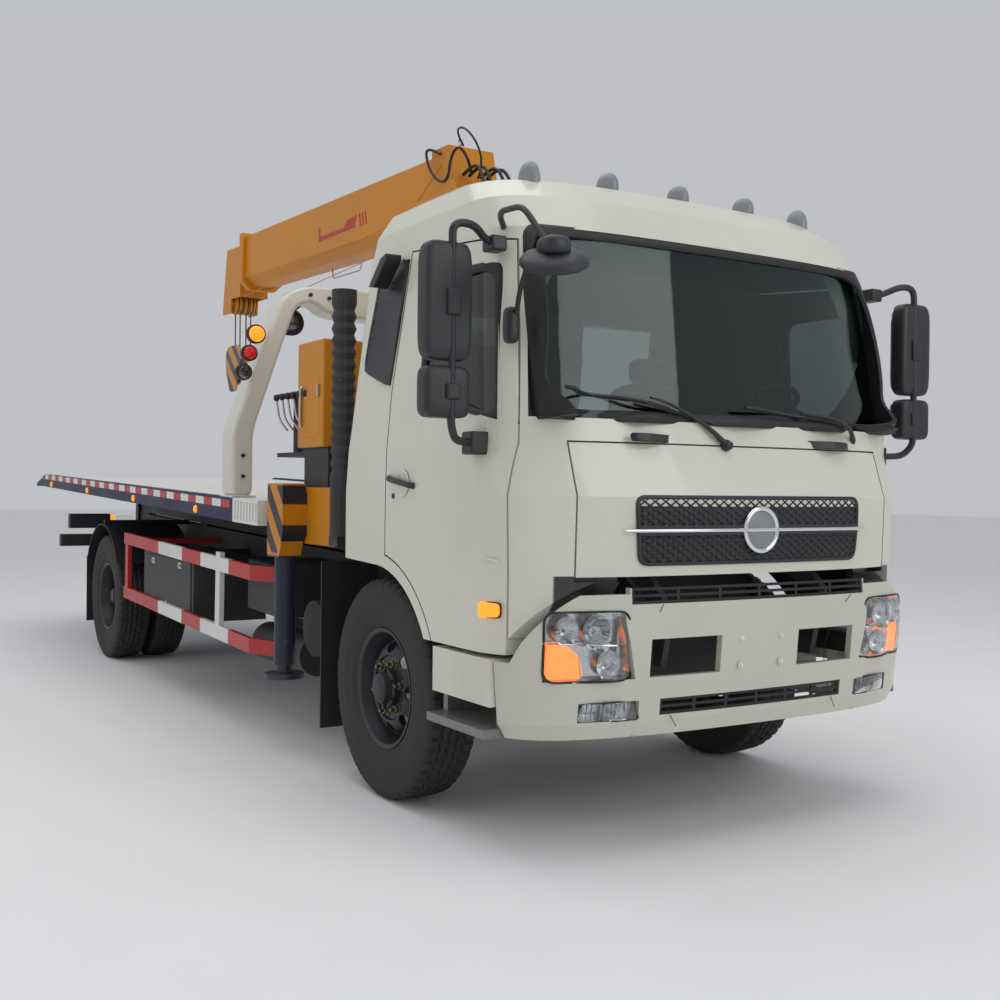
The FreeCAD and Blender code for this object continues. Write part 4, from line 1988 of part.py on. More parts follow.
def main():
    make_wheels()
    make_axles()
    make_chassis()
    louvres = make_cab()
    wheel_point, wheel_axis = make_cab_inside()
    mirror = make_mirrors()
    make_cab_trim(louvres, mirror)
    make_bumper()
    make_steps()
    make_side_fittings()
    make_tilt_frame()
    make_bed()
    make_arch()
    make_winch()
    tilt_pair = make_tilt_cylinders()
    make_crane_base()
    luff_foot, luff_eye, luff_axis, pivot = make_crane()
    make_hook()
    export_all()
    say("front_axle", Vec(0, 0, tyre_radius))
    say("rear_axle", Vec(-wheelbase, 0, tyre_radius))
    say("kingpin", Vec(0, kingpin_y, tyre_radius))
    say("cab_tilt", Vec(tilt_pivot_x, 0, tilt_pivot_z))
    say("door_hinge", Vec(door_front, cab_half, tyre_radius))
    say("flap_hinge", Vec(flap_hinge_x, 0, flap_high))
    say("steering_wheel", wheel_point, wheel_axis)
    say("bed_tilt", raked_point(tilt_hinge_x, 0, tilt_hinge_z))
    say("bed_slide", raked_point(bed_front, 0, bed_side_low), Vec(-math.cos(rake), 0, math.sin(rake)))
    say("tilt_foot", tilt_pair[0])
    say("tilt_eye", tilt_pair[1], tilt_pair[2])
    deck_x = (bed_side_front + bed_tail_start) / 2
    say("deck", raked_point(deck_x, 0, bed_side_high - bed_floor_drop),
        Vec(math.sin(rake), 0, math.cos(rake)))
    say("hook_bowl", Vec(sheave_x, 0, hook_bottom - hook_thick * 3 - hook_radius * 2))
    say("slew", Vec(crane_x, 0, base_high))
    say("boom_pivot", pivot)
    say("luff_foot", luff_foot)
    say("luff_eye", luff_eye, luff_axis)
    say("hook_pin", lifted_point(sheave_x, 0, sheave_z))
    say("boom_line", lifted_point(boom_front_end, 0, boom_low),
        Vec(-math.cos(math.radians(boom_lift_deg)), 0,
                                                                    math.sin(math.radians(boom_lift_deg))))
    say("leg_left",
        Vec(base_back + base_front - right_beam_back - leg_x_share * (right_beam_front - right_beam_back),
                              leg_y, leg_foot_low))
    say("leg_right", Vec(right_beam_back + leg_x_share * (right_beam_front - right_beam_back), -leg_y,
                         leg_foot_low))


main()
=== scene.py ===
import math

import bmesh
import bpy
import numpy as np
from mathutils import Matrix, Vector


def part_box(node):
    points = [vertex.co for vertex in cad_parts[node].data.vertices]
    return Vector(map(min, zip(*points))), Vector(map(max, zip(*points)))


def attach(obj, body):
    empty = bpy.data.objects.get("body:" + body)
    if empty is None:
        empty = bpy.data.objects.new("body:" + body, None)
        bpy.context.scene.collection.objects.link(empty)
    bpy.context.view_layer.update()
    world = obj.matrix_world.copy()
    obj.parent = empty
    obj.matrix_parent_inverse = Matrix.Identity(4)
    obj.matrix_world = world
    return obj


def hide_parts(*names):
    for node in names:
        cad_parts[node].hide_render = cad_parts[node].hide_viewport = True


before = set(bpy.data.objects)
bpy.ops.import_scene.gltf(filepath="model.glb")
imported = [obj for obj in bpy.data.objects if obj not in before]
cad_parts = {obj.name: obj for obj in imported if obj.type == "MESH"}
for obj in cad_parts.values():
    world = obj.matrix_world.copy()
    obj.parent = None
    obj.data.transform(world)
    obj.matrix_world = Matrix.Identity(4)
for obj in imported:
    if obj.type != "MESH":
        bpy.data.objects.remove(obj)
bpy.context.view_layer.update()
tyreLow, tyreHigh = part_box("tyre_front_left")
axleX = (tyreLow[0] + tyreHigh[0]) / 2  # every number below counts x from the front axle
print("frame loaded")


# Shapes: each gives its points and its faces, and piece() makes the mesh

def sheetOf(grid, closeRows=False, closeColumns=False, caps=False):
    # A grid of points joined into four-sided faces, row to row and column to column
    grid = np.asarray(grid, float)
    rows, columns = grid.shape[:2]
    row, column = np.meshgrid(np.arange(rows if closeRows else rows - 1),
                              np.arange(columns if closeColumns else columns - 1), indexing="ij")
    nextRow, nextColumn = (row + 1) % rows, (column + 1) % columns
    quads = np.stack([row * columns + column, nextRow * columns + column,
                      nextRow * columns + nextColumn, row * columns + nextColumn], -1).reshape(-1, 4)
    faces = quads.tolist()
    if caps:
        faces += [list(range(columns)), list(range((rows - 1) * columns, rows * columns))]
    return grid.reshape(-1, 3), faces


def boxOf(low, high):
    # Eight corners between two opposite ones
    corners = np.array([[(low, high)[i][0], (low, high)[j][1], (low, high)[k][2]]
                        for i in (0, 1) for j in (0, 1) for k in (0, 1)], float)
    return corners, [[0, 1, 3, 2], [4, 6, 7, 5], [0, 4, 5, 1], [2, 3, 7, 6], [0, 2, 6, 4], [1, 5, 7, 3]]


def prismOf(outline, low, high, across):
    # A flat outline carried from low to high along the axis numbered across
    outline = np.asarray(outline, float)
    ends = [np.insert(outline, across, reach, axis=1) for reach in (low, high)]
    return sheetOf(np.stack(ends), closeColumns=True, caps=True)


def turnedOf(profile, centre, axis=1, sides=48, closed=False, caps=True):
    # A profile of (along, radius) swept round an axis: centre + radius (cos a, sin a) + along
    profile = np.asarray(profile, float)
    angle = np.linspace(0, 2 * math.pi, sides, endpoint=False)
    first, second = [(1, 2), (2, 0), (0, 1)][axis]
    grid = np.zeros((len(profile), sides, 3))
    grid[..., axis] = profile[:, :1]
    grid[..., first] = profile[:, 1:] * np.cos(angle)
    grid[..., second] = profile[:, 1:] * np.sin(angle)
    return sheetOf(grid + np.asarray(centre, float), closeRows=closed, closeColumns=True,
                   caps=caps and not closed)


def tubeOf(path, radius, sides=10, closed=False, flat=1.0):
    # A circle, or an ellipse, carried along a path and kept square to it
    path = np.asarray(path, float)
    ahead = np.roll(path, -1, 0) - np.roll(path, 1, 0) if closed else np.gradient(path, axis=0)
    ahead /= np.linalg.norm(ahead, axis=1)[:, None]
    side = np.cross(ahead[0], (0.13, 0.21, 0.97))
    sidesList = []
    for way in ahead:
        side = side - way * side.dot(way)
        side = side / np.linalg.norm(side)
        sidesList.append(side)
    side = np.array(sidesList)
    up = np.cross(ahead, side)
    angle = np.linspace(0, 2 * math.pi, sides, endpoint=False)
    radius = np.broadcast_to(np.asarray(radius, float), (len(path),))[:, None, None]
    ring = side[:, None] * np.cos(angle)[:, None] * flat + up[:, None] * np.sin(angle)[:, None]
    return sheetOf(path[:, None] + ring * radius, closeRows=closed, closeColumns=True, caps=not closed)


def rodOf(start, end, radius, sides=16):
    # A straight tube between two points
    return tubeOf([start, end], radius, sides)


def bentPath(corners, radius, steps=7):
    # Straight runs with each corner turned in a curve that starts one radius before it
    corners = np.asarray(corners, float)
    share = np.linspace(0, 1, steps)[:, None]
    runs = [corners[:1]]
    for before, corner, after in zip(corners, corners[1:], corners[2:]):
        back, on = before - corner, after - corner
        reach = min(radius, np.linalg.norm(back) * 0.49, np.linalg.norm(on) * 0.49)
        start = corner + back / np.linalg.norm(back) * reach
        end = corner + on / np.linalg.norm(on) * reach
        runs.append((1 - share) ** 2 * start + 2 * share * (1 - share) * corner + share ** 2 * end)
    return np.concatenate(runs + [corners[-1:]])


def looseLine(points, count=40):
    # A quadratic B-spline: each piece runs from mid-run to mid-run with the point as its control
    points = np.asarray(points, float)
    middles = (points[:-1] + points[1:]) / 2
    starts = np.concatenate([points[:1], middles[1:-1]]) if len(points) > 3 else points[:1]
    ends = np.concatenate([middles[1:-1], points[-1:]]) if len(points) > 3 else points[-1:]
    controls = points[1:-1]
    share = np.linspace(0, 1, max(3, count // len(controls)))[:, None, None]
    line = (1 - share) ** 2 * starts + 2 * share * (1 - share) * controls + share ** 2 * ends
    line = line.transpose(1, 0, 2).reshape(-1, 3)
    keep = np.concatenate([[True], np.linalg.norm(np.diff(line, axis=0), axis=1) > 1e-6])
    return line[keep]


def mirrorOf(shape):
    # The same shape on the other side: y turns to -y
    points, faces = shape
    return points * (1, -1, 1), faces


def bothSides(shapes):
    # Shapes and their mirror images
    return list(shapes) + [mirrorOf(shape) for shape in shapes]


def movedOf(shape, step):
    # Every point shifted by one step
    return shape[0] + np.asarray(step, float), shape[1]


def rolledOf(shape, axis, angle, centre):
    # Points turned about a centre: matrix times (point - centre) + centre
    turn = np.array(Matrix.Rotation(angle, 3, axis))
    return (shape[0] - centre) @ turn.T + centre, shape[1]


def roundedOutline(corners, radius, steps=8, between=1):
    # A closed outline in two coordinates, each corner turned in a curve, each run cut into equal lengths
    corners = np.asarray(corners, float)
    count = len(corners)
    share = np.linspace(0, 1, steps)[:, None]
    arcs = []
    for number in range(count):
        corner = corners[number]
        back = corners[number - 1] - corner
        on = corners[(number + 1) % count] - corner
        reach = min(radius, np.linalg.norm(back) * 0.48, np.linalg.norm(on) * 0.48)
        start = corner + back / np.linalg.norm(back) * reach
        end = corner + on / np.linalg.norm(on) * reach
        arcs.append((1 - share) ** 2 * start + 2 * share * (1 - share) * corner + share ** 2 * end)
    outline = []
    cut = np.linspace(0, 1, between + 1)[1:-1, None]
    for number in range(count):
        outline += [arcs[number], arcs[number][-1] + (arcs[(number + 1) % count][0] - arcs[number][-1]) * cut]
    return np.concatenate(outline)


def pillow(low, high, power=2.6, rows=24, columns=32):
    # A superellipsoid between two corners: signed powers of sine and cosine of two angles
    low, high = np.asarray(low, float), np.asarray(high, float)
    up = np.linspace(-math.pi / 2, math.pi / 2, rows)[:, None]
    turned = np.linspace(0, 2 * math.pi, columns, endpoint=False)[None, :]

    def bend(value):
        return np.sign(value) * np.abs(value) ** (2 / power)

    grid = np.stack([bend(np.cos(up)) * bend(np.cos(turned)), bend(np.cos(up)) * bend(np.sin(turned)),
                     bend(np.sin(up)) * np.ones_like(turned)], -1)
    return sheetOf((low + high) / 2 + grid * (high - low) / 2, closeColumns=True)


def triangles(node):
    # Corners of a node's triangles, with x counted from the front axle
    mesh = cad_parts[node].data
    mesh.calc_loop_triangles()
    places = np.empty(len(mesh.vertices) * 3)
    mesh.vertices.foreach_get("co", places)
    corners = np.empty(len(mesh.loop_triangles) * 3, dtype=np.int32)
    mesh.loop_triangles.foreach_get("vertices", corners)
    return (places.reshape(-1, 3) - (axleX, 0, 0))[corners].reshape(-1, 3, 3)


def meet(node, spots, axis, side):
    # Where lines along an axis, through spots in the other two coordinates, first meet a node from one side
    corners = triangles(node)
    others = [k for k in range(3) if k != axis]
    flat = corners[:, :, others]
    edgeB, edgeC = flat[:, 1] - flat[:, 0], flat[:, 2] - flat[:, 0]
    area = edgeB[:, 0] * edgeC[:, 1] - edgeB[:, 1] * edgeC[:, 0]
    keep = np.abs(area) > 1e-12
    corners, flat, edgeB, edgeC, area = corners[keep], flat[keep], edgeB[keep], edgeC[keep], area[keep]
    found = np.full(len(spots), np.nan)
    for start in range(0, len(spots), 64):
        gap = spots[start:start + 64, None] - flat[None, :, 0]
        shareB = (gap[..., 0] * edgeC[:, 1] - gap[..., 1] * edgeC[:, 0]) / area
        shareC = (gap[..., 1] * edgeB[:, 0] - gap[..., 0] * edgeB[:, 1]) / area
        height = (corners[:, 0, axis] + shareB * (corners[:, 1, axis] - corners[:, 0, axis])
                  + shareC * (corners[:, 2, axis] - corners[:, 0, axis])) * side
        inside = (shareB >= -1e-6) & (shareC >= -1e-6) & (shareB + shareC <= 1 + 1e-6)
        best = np.where(inside, height, -np.inf).max(1)
        found[start:start + 64] = np.where(np.isfinite(best), best * side, np.nan)
    return found


def piece(name, shapes, material, body, solid=True, bevel=0.0, bevelSteps=2, sharp=38, wall=0.0,
          stands=()):
    # One mesh of several shapes, in its place in the frame, riding on a body
    points, faces, start = [], [], 0
    for shapePoints, shapeFaces in shapes:
        points.append(shapePoints)
        faces += [[corner + start for corner in face] for face in shapeFaces]
        start += len(shapePoints)
    mesh = bpy.data.meshes.new(name)
    mesh.from_pydata((np.concatenate(points) + (axleX, 0, 0)).tolist(), [], faces)
    work = bmesh.new()
    work.from_mesh(mesh)
    bmesh.ops.remove_doubles(work, verts=work.verts, dist=2e-5)
    if solid:
        bmesh.ops.recalc_face_normals(work, faces=work.faces)
    work.to_mesh(mesh)
    work.free()
    mesh.polygons.foreach_set("use_smooth", [True] * len(mesh.polygons))
    mesh.set_sharp_from_angle(angle=math.radians(sharp))
    mesh.materials.append(material)
    made = bpy.data.objects.new(name, mesh)
    bpy.context.scene.collection.objects.link(made)
    if wall:
        thick = made.modifiers.new("wall", "SOLIDIFY")
        thick.thickness = wall
        thick.offset = -1
    if bevel:
        soft = made.modifiers.new("soft", "BEVEL")
        soft.width = bevel
        soft.segments = bevelSteps
        soft.limit_method = "ANGLE"
        soft.angle_limit = math.radians(38)
        soft.harden_normals = False
    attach(made, body)
    if stands:
        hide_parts(*stands)
    return made


# Finishes

def addNode(tree, kind, inputs=None, **settings):
    # A shader node: settings are its own, and inputs are values or links by number or name
    made = tree.nodes.new(kind)
    for key, value in settings.items():
        setattr(made, key, value)
    for key, value in (inputs or {}).items():
        if isinstance(value, bpy.types.NodeSocket):
            tree.links.new(value, made.inputs[key])
        else:
            made.inputs[key].default_value = value
    return made


def sums(tree, operation, first, second=0.5, third=0.5):
    # One step of arithmetic on values or links
    return addNode(tree, "ShaderNodeMath", {0: first, 1: second, 2: third}, operation=operation).outputs[0]


def within(tree, value, low, high, soft=0.004):
    # 1 between low and high, 0 outside, with a short soft edge
    rise = addNode(tree, "ShaderNodeMapRange", {0: value, 1: low - soft, 2: low + soft}).outputs[0]
    fall = addNode(tree, "ShaderNodeMapRange", {0: value, 1: high - soft, 2: high + soft}).outputs[0]
    return sums(tree, "MULTIPLY", rise, sums(tree, "SUBTRACT", 1.0, fall))


def blendOf(tree, factor, first, second):
    # The first colour where the factor is 0, the second where it is 1
    return addNode(tree, "ShaderNodeMix", {0: factor, 6: first, 7: second}, data_type="RGBA").outputs[2]


def rgba(colour):
    # A colour with full alpha
    return tuple(colour) + (1.0,)


def shade(colour, factor):
    # A colour times a factor, held at 1
    return tuple(min(1.0, channel * factor) for channel in colour)


def finish(name, colour, rough=0.5, metal=0.0, coat=0.0, grainScale=90.0, grain=0.05, mottleScale=2.2,
           mottle=0.1, dust=0.0, dustTop=1.2, dustColour=(0.30, 0.26, 0.20), zones=None, stretch=(1, 1, 1),
           roughSpread=0.12, chips=0.0, chipColour=(0.10, 0.075, 0.06), shine=0.5):
    # Paint, plastic or metal: mottled colour, road dust low down, chips, uneven gloss and a fine grain
    material = bpy.data.materials.new(name)
    material.use_nodes = True
    tree = material.node_tree
    shader = tree.nodes["Principled BSDF"]
    place = addNode(tree, "ShaderNodeTexCoord")
    spread = addNode(tree, "ShaderNodeMapping", {0: place.outputs["Object"], 3: stretch}).outputs[0]
    apart = addNode(tree, "ShaderNodeSeparateXYZ", {0: place.outputs["Object"]})
    alongX = sums(tree, "SUBTRACT", apart.outputs[0], axleX)
    wide = addNode(tree, "ShaderNodeTexNoise", {"Vector": spread, "Scale": mottleScale, "Detail": 5.0})
    fine = addNode(tree, "ShaderNodeTexNoise", {"Vector": spread, "Scale": grainScale, "Detail": 3.0})
    tone = addNode(tree, "ShaderNodeMapRange", {0: wide.outputs[0], 1: 0.35, 2: 0.65}).outputs[0]
    mixed = blendOf(tree, tone, rgba(shade(colour, 1 - mottle)), rgba(shade(colour, 1 + mottle * 0.5)))
    if zones:
        mixed = zones(tree, place, (alongX, apart.outputs[1], apart.outputs[2]), mixed)
    if chips:
        spots = addNode(tree, "ShaderNodeTexNoise", {"Vector": spread, "Scale": 14.0, "Detail": 8.0})
        worn = addNode(tree, "ShaderNodeMapRange", {0: spots.outputs[0], 1: 0.73 - chips * 0.1,
                                                    2: 0.76 - chips * 0.1}).outputs[0]
        mixed = blendOf(tree, worn, mixed, rgba(chipColour))
    if dust:
        low = addNode(tree, "ShaderNodeMapRange", {0: apart.outputs[2], 1: dustTop, 2: 0.1}).outputs[0]
        patches = addNode(tree, "ShaderNodeMapRange", {0: wide.outputs[0], 1: 0.25, 2: 0.75}).outputs[0]
        amount = sums(tree, "MULTIPLY", sums(tree, "MULTIPLY", low, patches), dust * 0.4)
        mixed = blendOf(tree, amount, mixed, rgba(dustColour))
    tree.links.new(mixed, shader.inputs["Base Color"])
    gloss = addNode(tree, "ShaderNodeMapRange", {0: wide.outputs[0], 1: 0.3, 2: 0.7,
                                                 3: max(0.02, rough - roughSpread / 2),
                                                 4: min(1.0, rough + roughSpread / 2)})
    tree.links.new(gloss.outputs[0], shader.inputs["Roughness"])
    bump = addNode(tree, "ShaderNodeBump", {"Height": fine.outputs[0], "Strength": grain, "Distance": 0.002})
    tree.links.new(bump.outputs[0], shader.inputs["Normal"])
    shader.inputs["Metallic"].default_value = metal
    shader.inputs["Specular IOR Level"].default_value = shine
    if coat:
        shader.inputs["Coat Weight"].default_value = coat
        shader.inputs["Coat Roughness"].default_value = 0.06
    return material


def glassFinish(name, colour, rough=0.02, through=1.0, glow=None, rippleScale=30.0, ripple=0.01, zones=None):
    # Clear or tinted glass with a faint ripple, or a lens with fine ribs
    material = bpy.data.materials.new(name)
    material.use_nodes = True
    tree = material.node_tree
    shader = tree.nodes["Principled BSDF"]
    place = addNode(tree, "ShaderNodeTexCoord")
    apart = addNode(tree, "ShaderNodeSeparateXYZ", {0: place.outputs["Object"]})
    wave = addNode(tree, "ShaderNodeTexNoise", {"Vector": place.outputs["Object"], "Scale": rippleScale})
    tinted = blendOf(tree, wave.outputs[0], rgba(colour), rgba(shade(colour, 0.93)))
    if zones:
        alongX = sums(tree, "SUBTRACT", apart.outputs[0], axleX)
        tinted = zones(tree, place, (alongX, apart.outputs[1], apart.outputs[2]), tinted)
    tree.links.new(tinted, shader.inputs["Base Color"])
    bump = addNode(tree, "ShaderNodeBump", {"Height": wave.outputs[0], "Strength": ripple, "Distance": 0.002})
    tree.links.new(bump.outputs[0], shader.inputs["Normal"])
    shader.inputs["Roughness"].default_value = rough
    shader.inputs["IOR"].default_value = 1.45
    shader.inputs["Transmission Weight"].default_value = through
    if glow:
        shader.inputs["Emission Color"].default_value = rgba(colour)
        shader.inputs["Emission Strength"].default_value = glow
    return material


def cabInsideAndChinShade(tree, place, xyz, painted):
    # Faces of the hollow cab that look towards its middle are trim, and the chin behind the flap is painted
    # black as painted shade for the gap under the flap
    centre = addNode(tree, "ShaderNodeVectorMath", {0: place.outputs["Object"], 1: (axleX + 0.45, 0, 1.9)},
                     operation="SUBTRACT").outputs[0]
    facing = addNode(tree, "ShaderNodeVectorMath", {0: centre, 1: place.outputs["Normal"]},
                     operation="DOT_PRODUCT").outputs["Value"]
    outward = addNode(tree, "ShaderNodeMapRange", {0: facing, 1: -0.02, 2: 0.02}).outputs[0]
    x, y, z = xyz
    # Painted shade: the chin behind the front flap is painted black, where the gap under the flap lies in
    # shade
    middle = sums(tree, "MULTIPLY", within(tree, x, 0.9, 1.4), within(tree, y, -0.93, 0.93))
    chinShade = sums(tree, "MULTIPLY", middle, within(tree, z, 0.7, 1.094, 0.001))
    shell = blendOf(tree, chinShade, painted, rgba(looks["black"]))
    return blendOf(tree, outward, rgba(looks["trim"]), shell)


def bedZones(tree, place, xyz, painted):
    # Pale deck on top and pale front block, blue sides
    x, y = xyz[:2]
    upright = addNode(tree, "ShaderNodeSeparateXYZ", {0: place.outputs["Normal"]}).outputs[2]
    top = sums(tree, "MULTIPLY", within(tree, upright, 0.6, 1.5, 0.05), within(tree, y, -1.135, 1.135))
    pale = sums(tree, "MAXIMUM", top, within(tree, x, -1.712, 0))
    return blendOf(tree, pale, painted, rgba(looks["deck"]))


def guardZones(tree, place, xyz, painted):
    # Red and white lengths along the side guards
    x = xyz[0]
    red = sums(tree, "MAXIMUM", within(tree, x, -4.6, -3.42), within(tree, x, -1.92, -1.2))
    middle = sums(tree, "MAXIMUM", within(tree, x, -2.86, -2.46), red)
    return blendOf(tree, middle, painted, rgba(looks["red"]))


def stripeZones(tree, place, xyz, painted):
    # Black slanted stripes
    x, y, z = xyz
    slant = sums(tree, "ADD", sums(tree, "ADD", sums(tree, "MULTIPLY", x, 0.9), y), z)
    wave = sums(tree, "FRACT", sums(tree, "MULTIPLY", slant, 5.0))
    dark = sums(tree, "MULTIPLY", within(tree, wave, 0.0, 0.46, 0.03), within(tree, z, 2.23, 2.64))
    return blendOf(tree, dark, painted, rgba(looks["black"]))


def legZones(tree, place, xyz, painted):
    # Leg colour below the crane's base, black slanted stripes on the leg house above
    x, y, z = xyz
    outer = sums(tree, "MAXIMUM", within(tree, y, -1.3, -1.02), within(tree, y, 1.02, 1.3))
    slant = sums(tree, "ADD", sums(tree, "MULTIPLY", x, 1.1), z)
    wave = sums(tree, "FRACT", sums(tree, "MULTIPLY", slant, 4.6))
    dark = sums(tree, "MULTIPLY", sums(tree, "MULTIPLY", within(tree, wave, 0.0, 0.5, 0.02), outer),
                within(tree, z, 1.07, 1.43))
    striped = blendOf(tree, dark, painted, rgba(looks["black"]))
    low = sums(tree, "MULTIPLY", within(tree, z, 0.0, 1.055), outer)
    return blendOf(tree, low, striped, rgba(looks["leg"]))


def bumperZones(tree, place, xyz, painted):
    # The brackets behind the bumper's middle are dark
    x, y = xyz[:2]
    behind = sums(tree, "MULTIPLY", within(tree, x, 0.9, 1.262), within(tree, y, -0.62, 0.62))
    return blendOf(tree, behind, painted, rgba(looks["black"]))


def stepZones(tree, place, xyz, painted):
    # The tread plate and its dark band below the painted housing
    return blendOf(tree, within(tree, xyz[2], 0.1, 0.575), painted, rgba(looks["plate"]))


def screenZones(tree, place, xyz, painted):
    # The green band along the top of the windscreen
    band = addNode(tree, "ShaderNodeMapRange", {0: xyz[2], 1: 2.28, 2: 2.42}).outputs[0]
    return blendOf(tree, band, painted, rgba(looks["band"]))


looks = {"cab": (0.66, 0.65, 0.55), "crane": (0.60, 0.225, 0.008), "blue": (0.010, 0.014, 0.062),
         "deck": (0.74, 0.74, 0.70), "red": (0.45, 0.018, 0.02), "white": (0.72, 0.72, 0.69),
         "black": (0.022, 0.022, 0.024), "frame": (0.026, 0.027, 0.03), "leg": (0.020, 0.027, 0.045),
         "trim": (0.07, 0.072, 0.075), "plate": (0.16, 0.155, 0.15), "rim": (0.028, 0.031, 0.037),
         "rubber": (0.026, 0.024, 0.022), "steel": (0.52, 0.52, 0.53), "brass": (0.20, 0.17, 0.10),
         "band": (0.02, 0.30, 0.26)}
paint = {
    "cab_paint": finish("cabPaint", looks["cab"], 0.32, coat=0.5, grain=0.02, mottle=0.03, dust=0.25,
                        dustTop=1.3, roughSpread=0.06),
    "cab_shell": finish("cabShellPaint", looks["cab"], 0.32, coat=0.5, grain=0.02, mottle=0.03, dust=0.25,
                        dustTop=1.3, roughSpread=0.06, zones=cabInsideAndChinShade),
    "crane_paint": finish("cranePaint", looks["crane"], 0.42, coat=0.08, grain=0.03, mottle=0.07, dust=0.1,
                          dustTop=2.0, chips=0.2, shine=0.3),
    "bumper": finish("bumperPaint", shade(looks["cab"], 0.86), 0.34, coat=0.4, grain=0.02, mottle=0.03,
                     dust=0.3, dustTop=1.0, roughSpread=0.06, zones=bumperZones),
    "legHouse": finish("legHousePaint", looks["crane"], 0.42, coat=0.05, grain=0.03, mottle=0.07, dust=0.2,
                       chips=0.3, zones=legZones, shine=0.3),
    "hook": finish("hookPaint", looks["crane"], 0.4, coat=0.2, grain=0.03, chips=0.5, zones=stripeZones),
    "bed_paint": finish("bedPaint", looks["blue"], 0.42, grain=0.03, dust=0.08, dustTop=2.0,
                        chips=0.3, zones=bedZones, shine=0.2),
    "frame_paint": finish("framePaint", looks["frame"], 0.55, grain=0.08, mottle=0.25, dust=0.4, chips=0.2,
                          chipColour=(0.09, 0.06, 0.04)),
    "guard_paint": finish("guardPaint", looks["white"], 0.4, grain=0.03, dust=0.3, chips=0.25,
                          zones=guardZones),
    "leg_paint": finish("legPaint", looks["leg"], 0.42, grain=0.04, dust=0.3, chips=0.3),
    "black_plastic": finish("blackPlastic", looks["black"], 0.5, grain=0.25, grainScale=260.0, mottle=0.15,
                            dust=0.12, shine=0.3),
    "softPlastic": finish("softPlastic", (0.02, 0.021, 0.024), 0.42, grain=0.12, grainScale=300.0),
    "step": finish("stepPaint", looks["cab"], 0.36, coat=0.3, grain=0.03, dust=0.4, zones=stepZones),
    "rubber": finish("sealRubber", (0.012, 0.012, 0.013), 0.55, grain=0.06, grainScale=200.0),
    "tyre_rubber": finish("tyreRubber", looks["rubber"], 0.78, grain=0.3, grainScale=160.0, mottle=0.3,
                          dust=0.35, dustTop=1.0, dustColour=(0.11, 0.085, 0.06)),
    "rim_paint": finish("rimPaint", looks["rim"], 0.42, metal=0.3, grain=0.05, mottle=0.3, dust=0.35,
                        dustColour=(0.12, 0.10, 0.08)),
    "brass": finish("brassNut", looks["brass"], 0.35, metal=0.9, grain=0.1, mottle=0.3),
    "steel": finish("steelBright", looks["steel"], 0.28, metal=1.0, grain=0.05, grainScale=200.0, mottle=0.12,
                    stretch=(1, 1, 6)),
    "cable": finish("steelCable", (0.16, 0.16, 0.165), 0.5, metal=0.8, grain=0.5, grainScale=400.0),
    "tank_metal": finish("tankMetal", (0.30, 0.31, 0.32), 0.42, metal=0.9, grain=0.1, mottle=0.2, dust=0.4),
    "chrome": finish("chromeBright", (0.78, 0.78, 0.79), 0.08, metal=1.0, grain=0.005, mottle=0.04,
                     roughSpread=0.05),
    "reflector": finish("reflectorSilver", (0.74, 0.75, 0.77), 0.14, metal=1.0, grain=0.35, grainScale=60.0,
                        mottle=0.08, roughSpread=0.1),
    "lampGrey": finish("lampGrey", (0.24, 0.25, 0.26), 0.3, grain=0.08, grainScale=120.0),
    "red": finish("redPaint", looks["red"], 0.4, grain=0.03, mottle=0.08),
    "white": finish("whiteTape", looks["white"], 0.4, grain=0.04, grainScale=400.0, mottle=0.05),
    "seat_cloth": finish("seatCloth", (0.055, 0.056, 0.06), 0.9, grain=0.9, grainScale=420.0, mottle=0.2),
    "trim": finish("dashTrim", (0.05, 0.052, 0.055), 0.6, grain=0.3, grainScale=300.0, mottle=0.1),
    "plate": finish("treadPlate", looks["plate"], 0.4, metal=0.6, grain=0.1, mottle=0.25, dust=0.5,
                    dustTop=1.0),
    "window_glass": glassFinish("windowGlass", (0.17, 0.21, 0.20), ripple=0.003),
    "screenGlass": glassFinish("screenGlass", (0.36, 0.45, 0.43), ripple=0.002, rippleScale=8.0,
                               zones=screenZones),
    "lamp_glass": glassFinish("lampGlass", (0.95, 0.96, 0.96), rough=0.03, rippleScale=40.0, ripple=0.08),
    "amber_lens": glassFinish("amberLens", (0.95, 0.30, 0.02), rough=0.12, through=0.5, glow=0.9,
                              rippleScale=90.0, ripple=0.3),
    "redLens": glassFinish("redLens", (0.75, 0.02, 0.02), rough=0.12, through=0.5, glow=0.15,
                           rippleScale=90.0, ripple=0.3),
}
nodeLook = {
    "cab_shell": "cab_shell", "door_left": "cab_shell", "door_right": "cab_shell", "front_flap": "cab_paint",
    "bumper": "bumper", "arch": "cab_paint", "steps": "step", "cab_glass": "screenGlass",
    "door_glass_left": "window_glass", "door_glass_right": "window_glass", "cab_trim": "black_plastic",
    "bumper_grilles": "black_plastic", "mudguards": "black_plastic", "control_station": "frame_paint",
    "roof_lamps": "lampGrey", "steering_wheel": "softPlastic", "fuel_tank": "tank_metal",
    "side_boxes": "frame_paint", "side_guards": "guard_paint", "crane_base": "crane_paint",
    "oil_tank": "crane_paint", "bed_tray": "bed_paint", "outrigger_beam_left": "legHouse",
    "outrigger_beam_right": "legHouse", "outrigger_leg_left": "leg_paint",
    "outrigger_leg_right": "leg_paint", "crane_column": "crane_paint", "boom_base": "crane_paint",
    "boom_section_two": "crane_paint", "boom_section_three": "crane_paint", "luff_barrel": "crane_paint",
    "luff_rod": "steel", "tilt_rods": "steel", "hook_block": "hook", "bed_winch": "frame_paint",
}
for nodeName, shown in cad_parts.items():
    look = paint[nodeLook.get(nodeName, "frame_paint")]
    for place in shown.material_slots:
        place.material = look
print("finishes ready")


# Camera, lights and floor

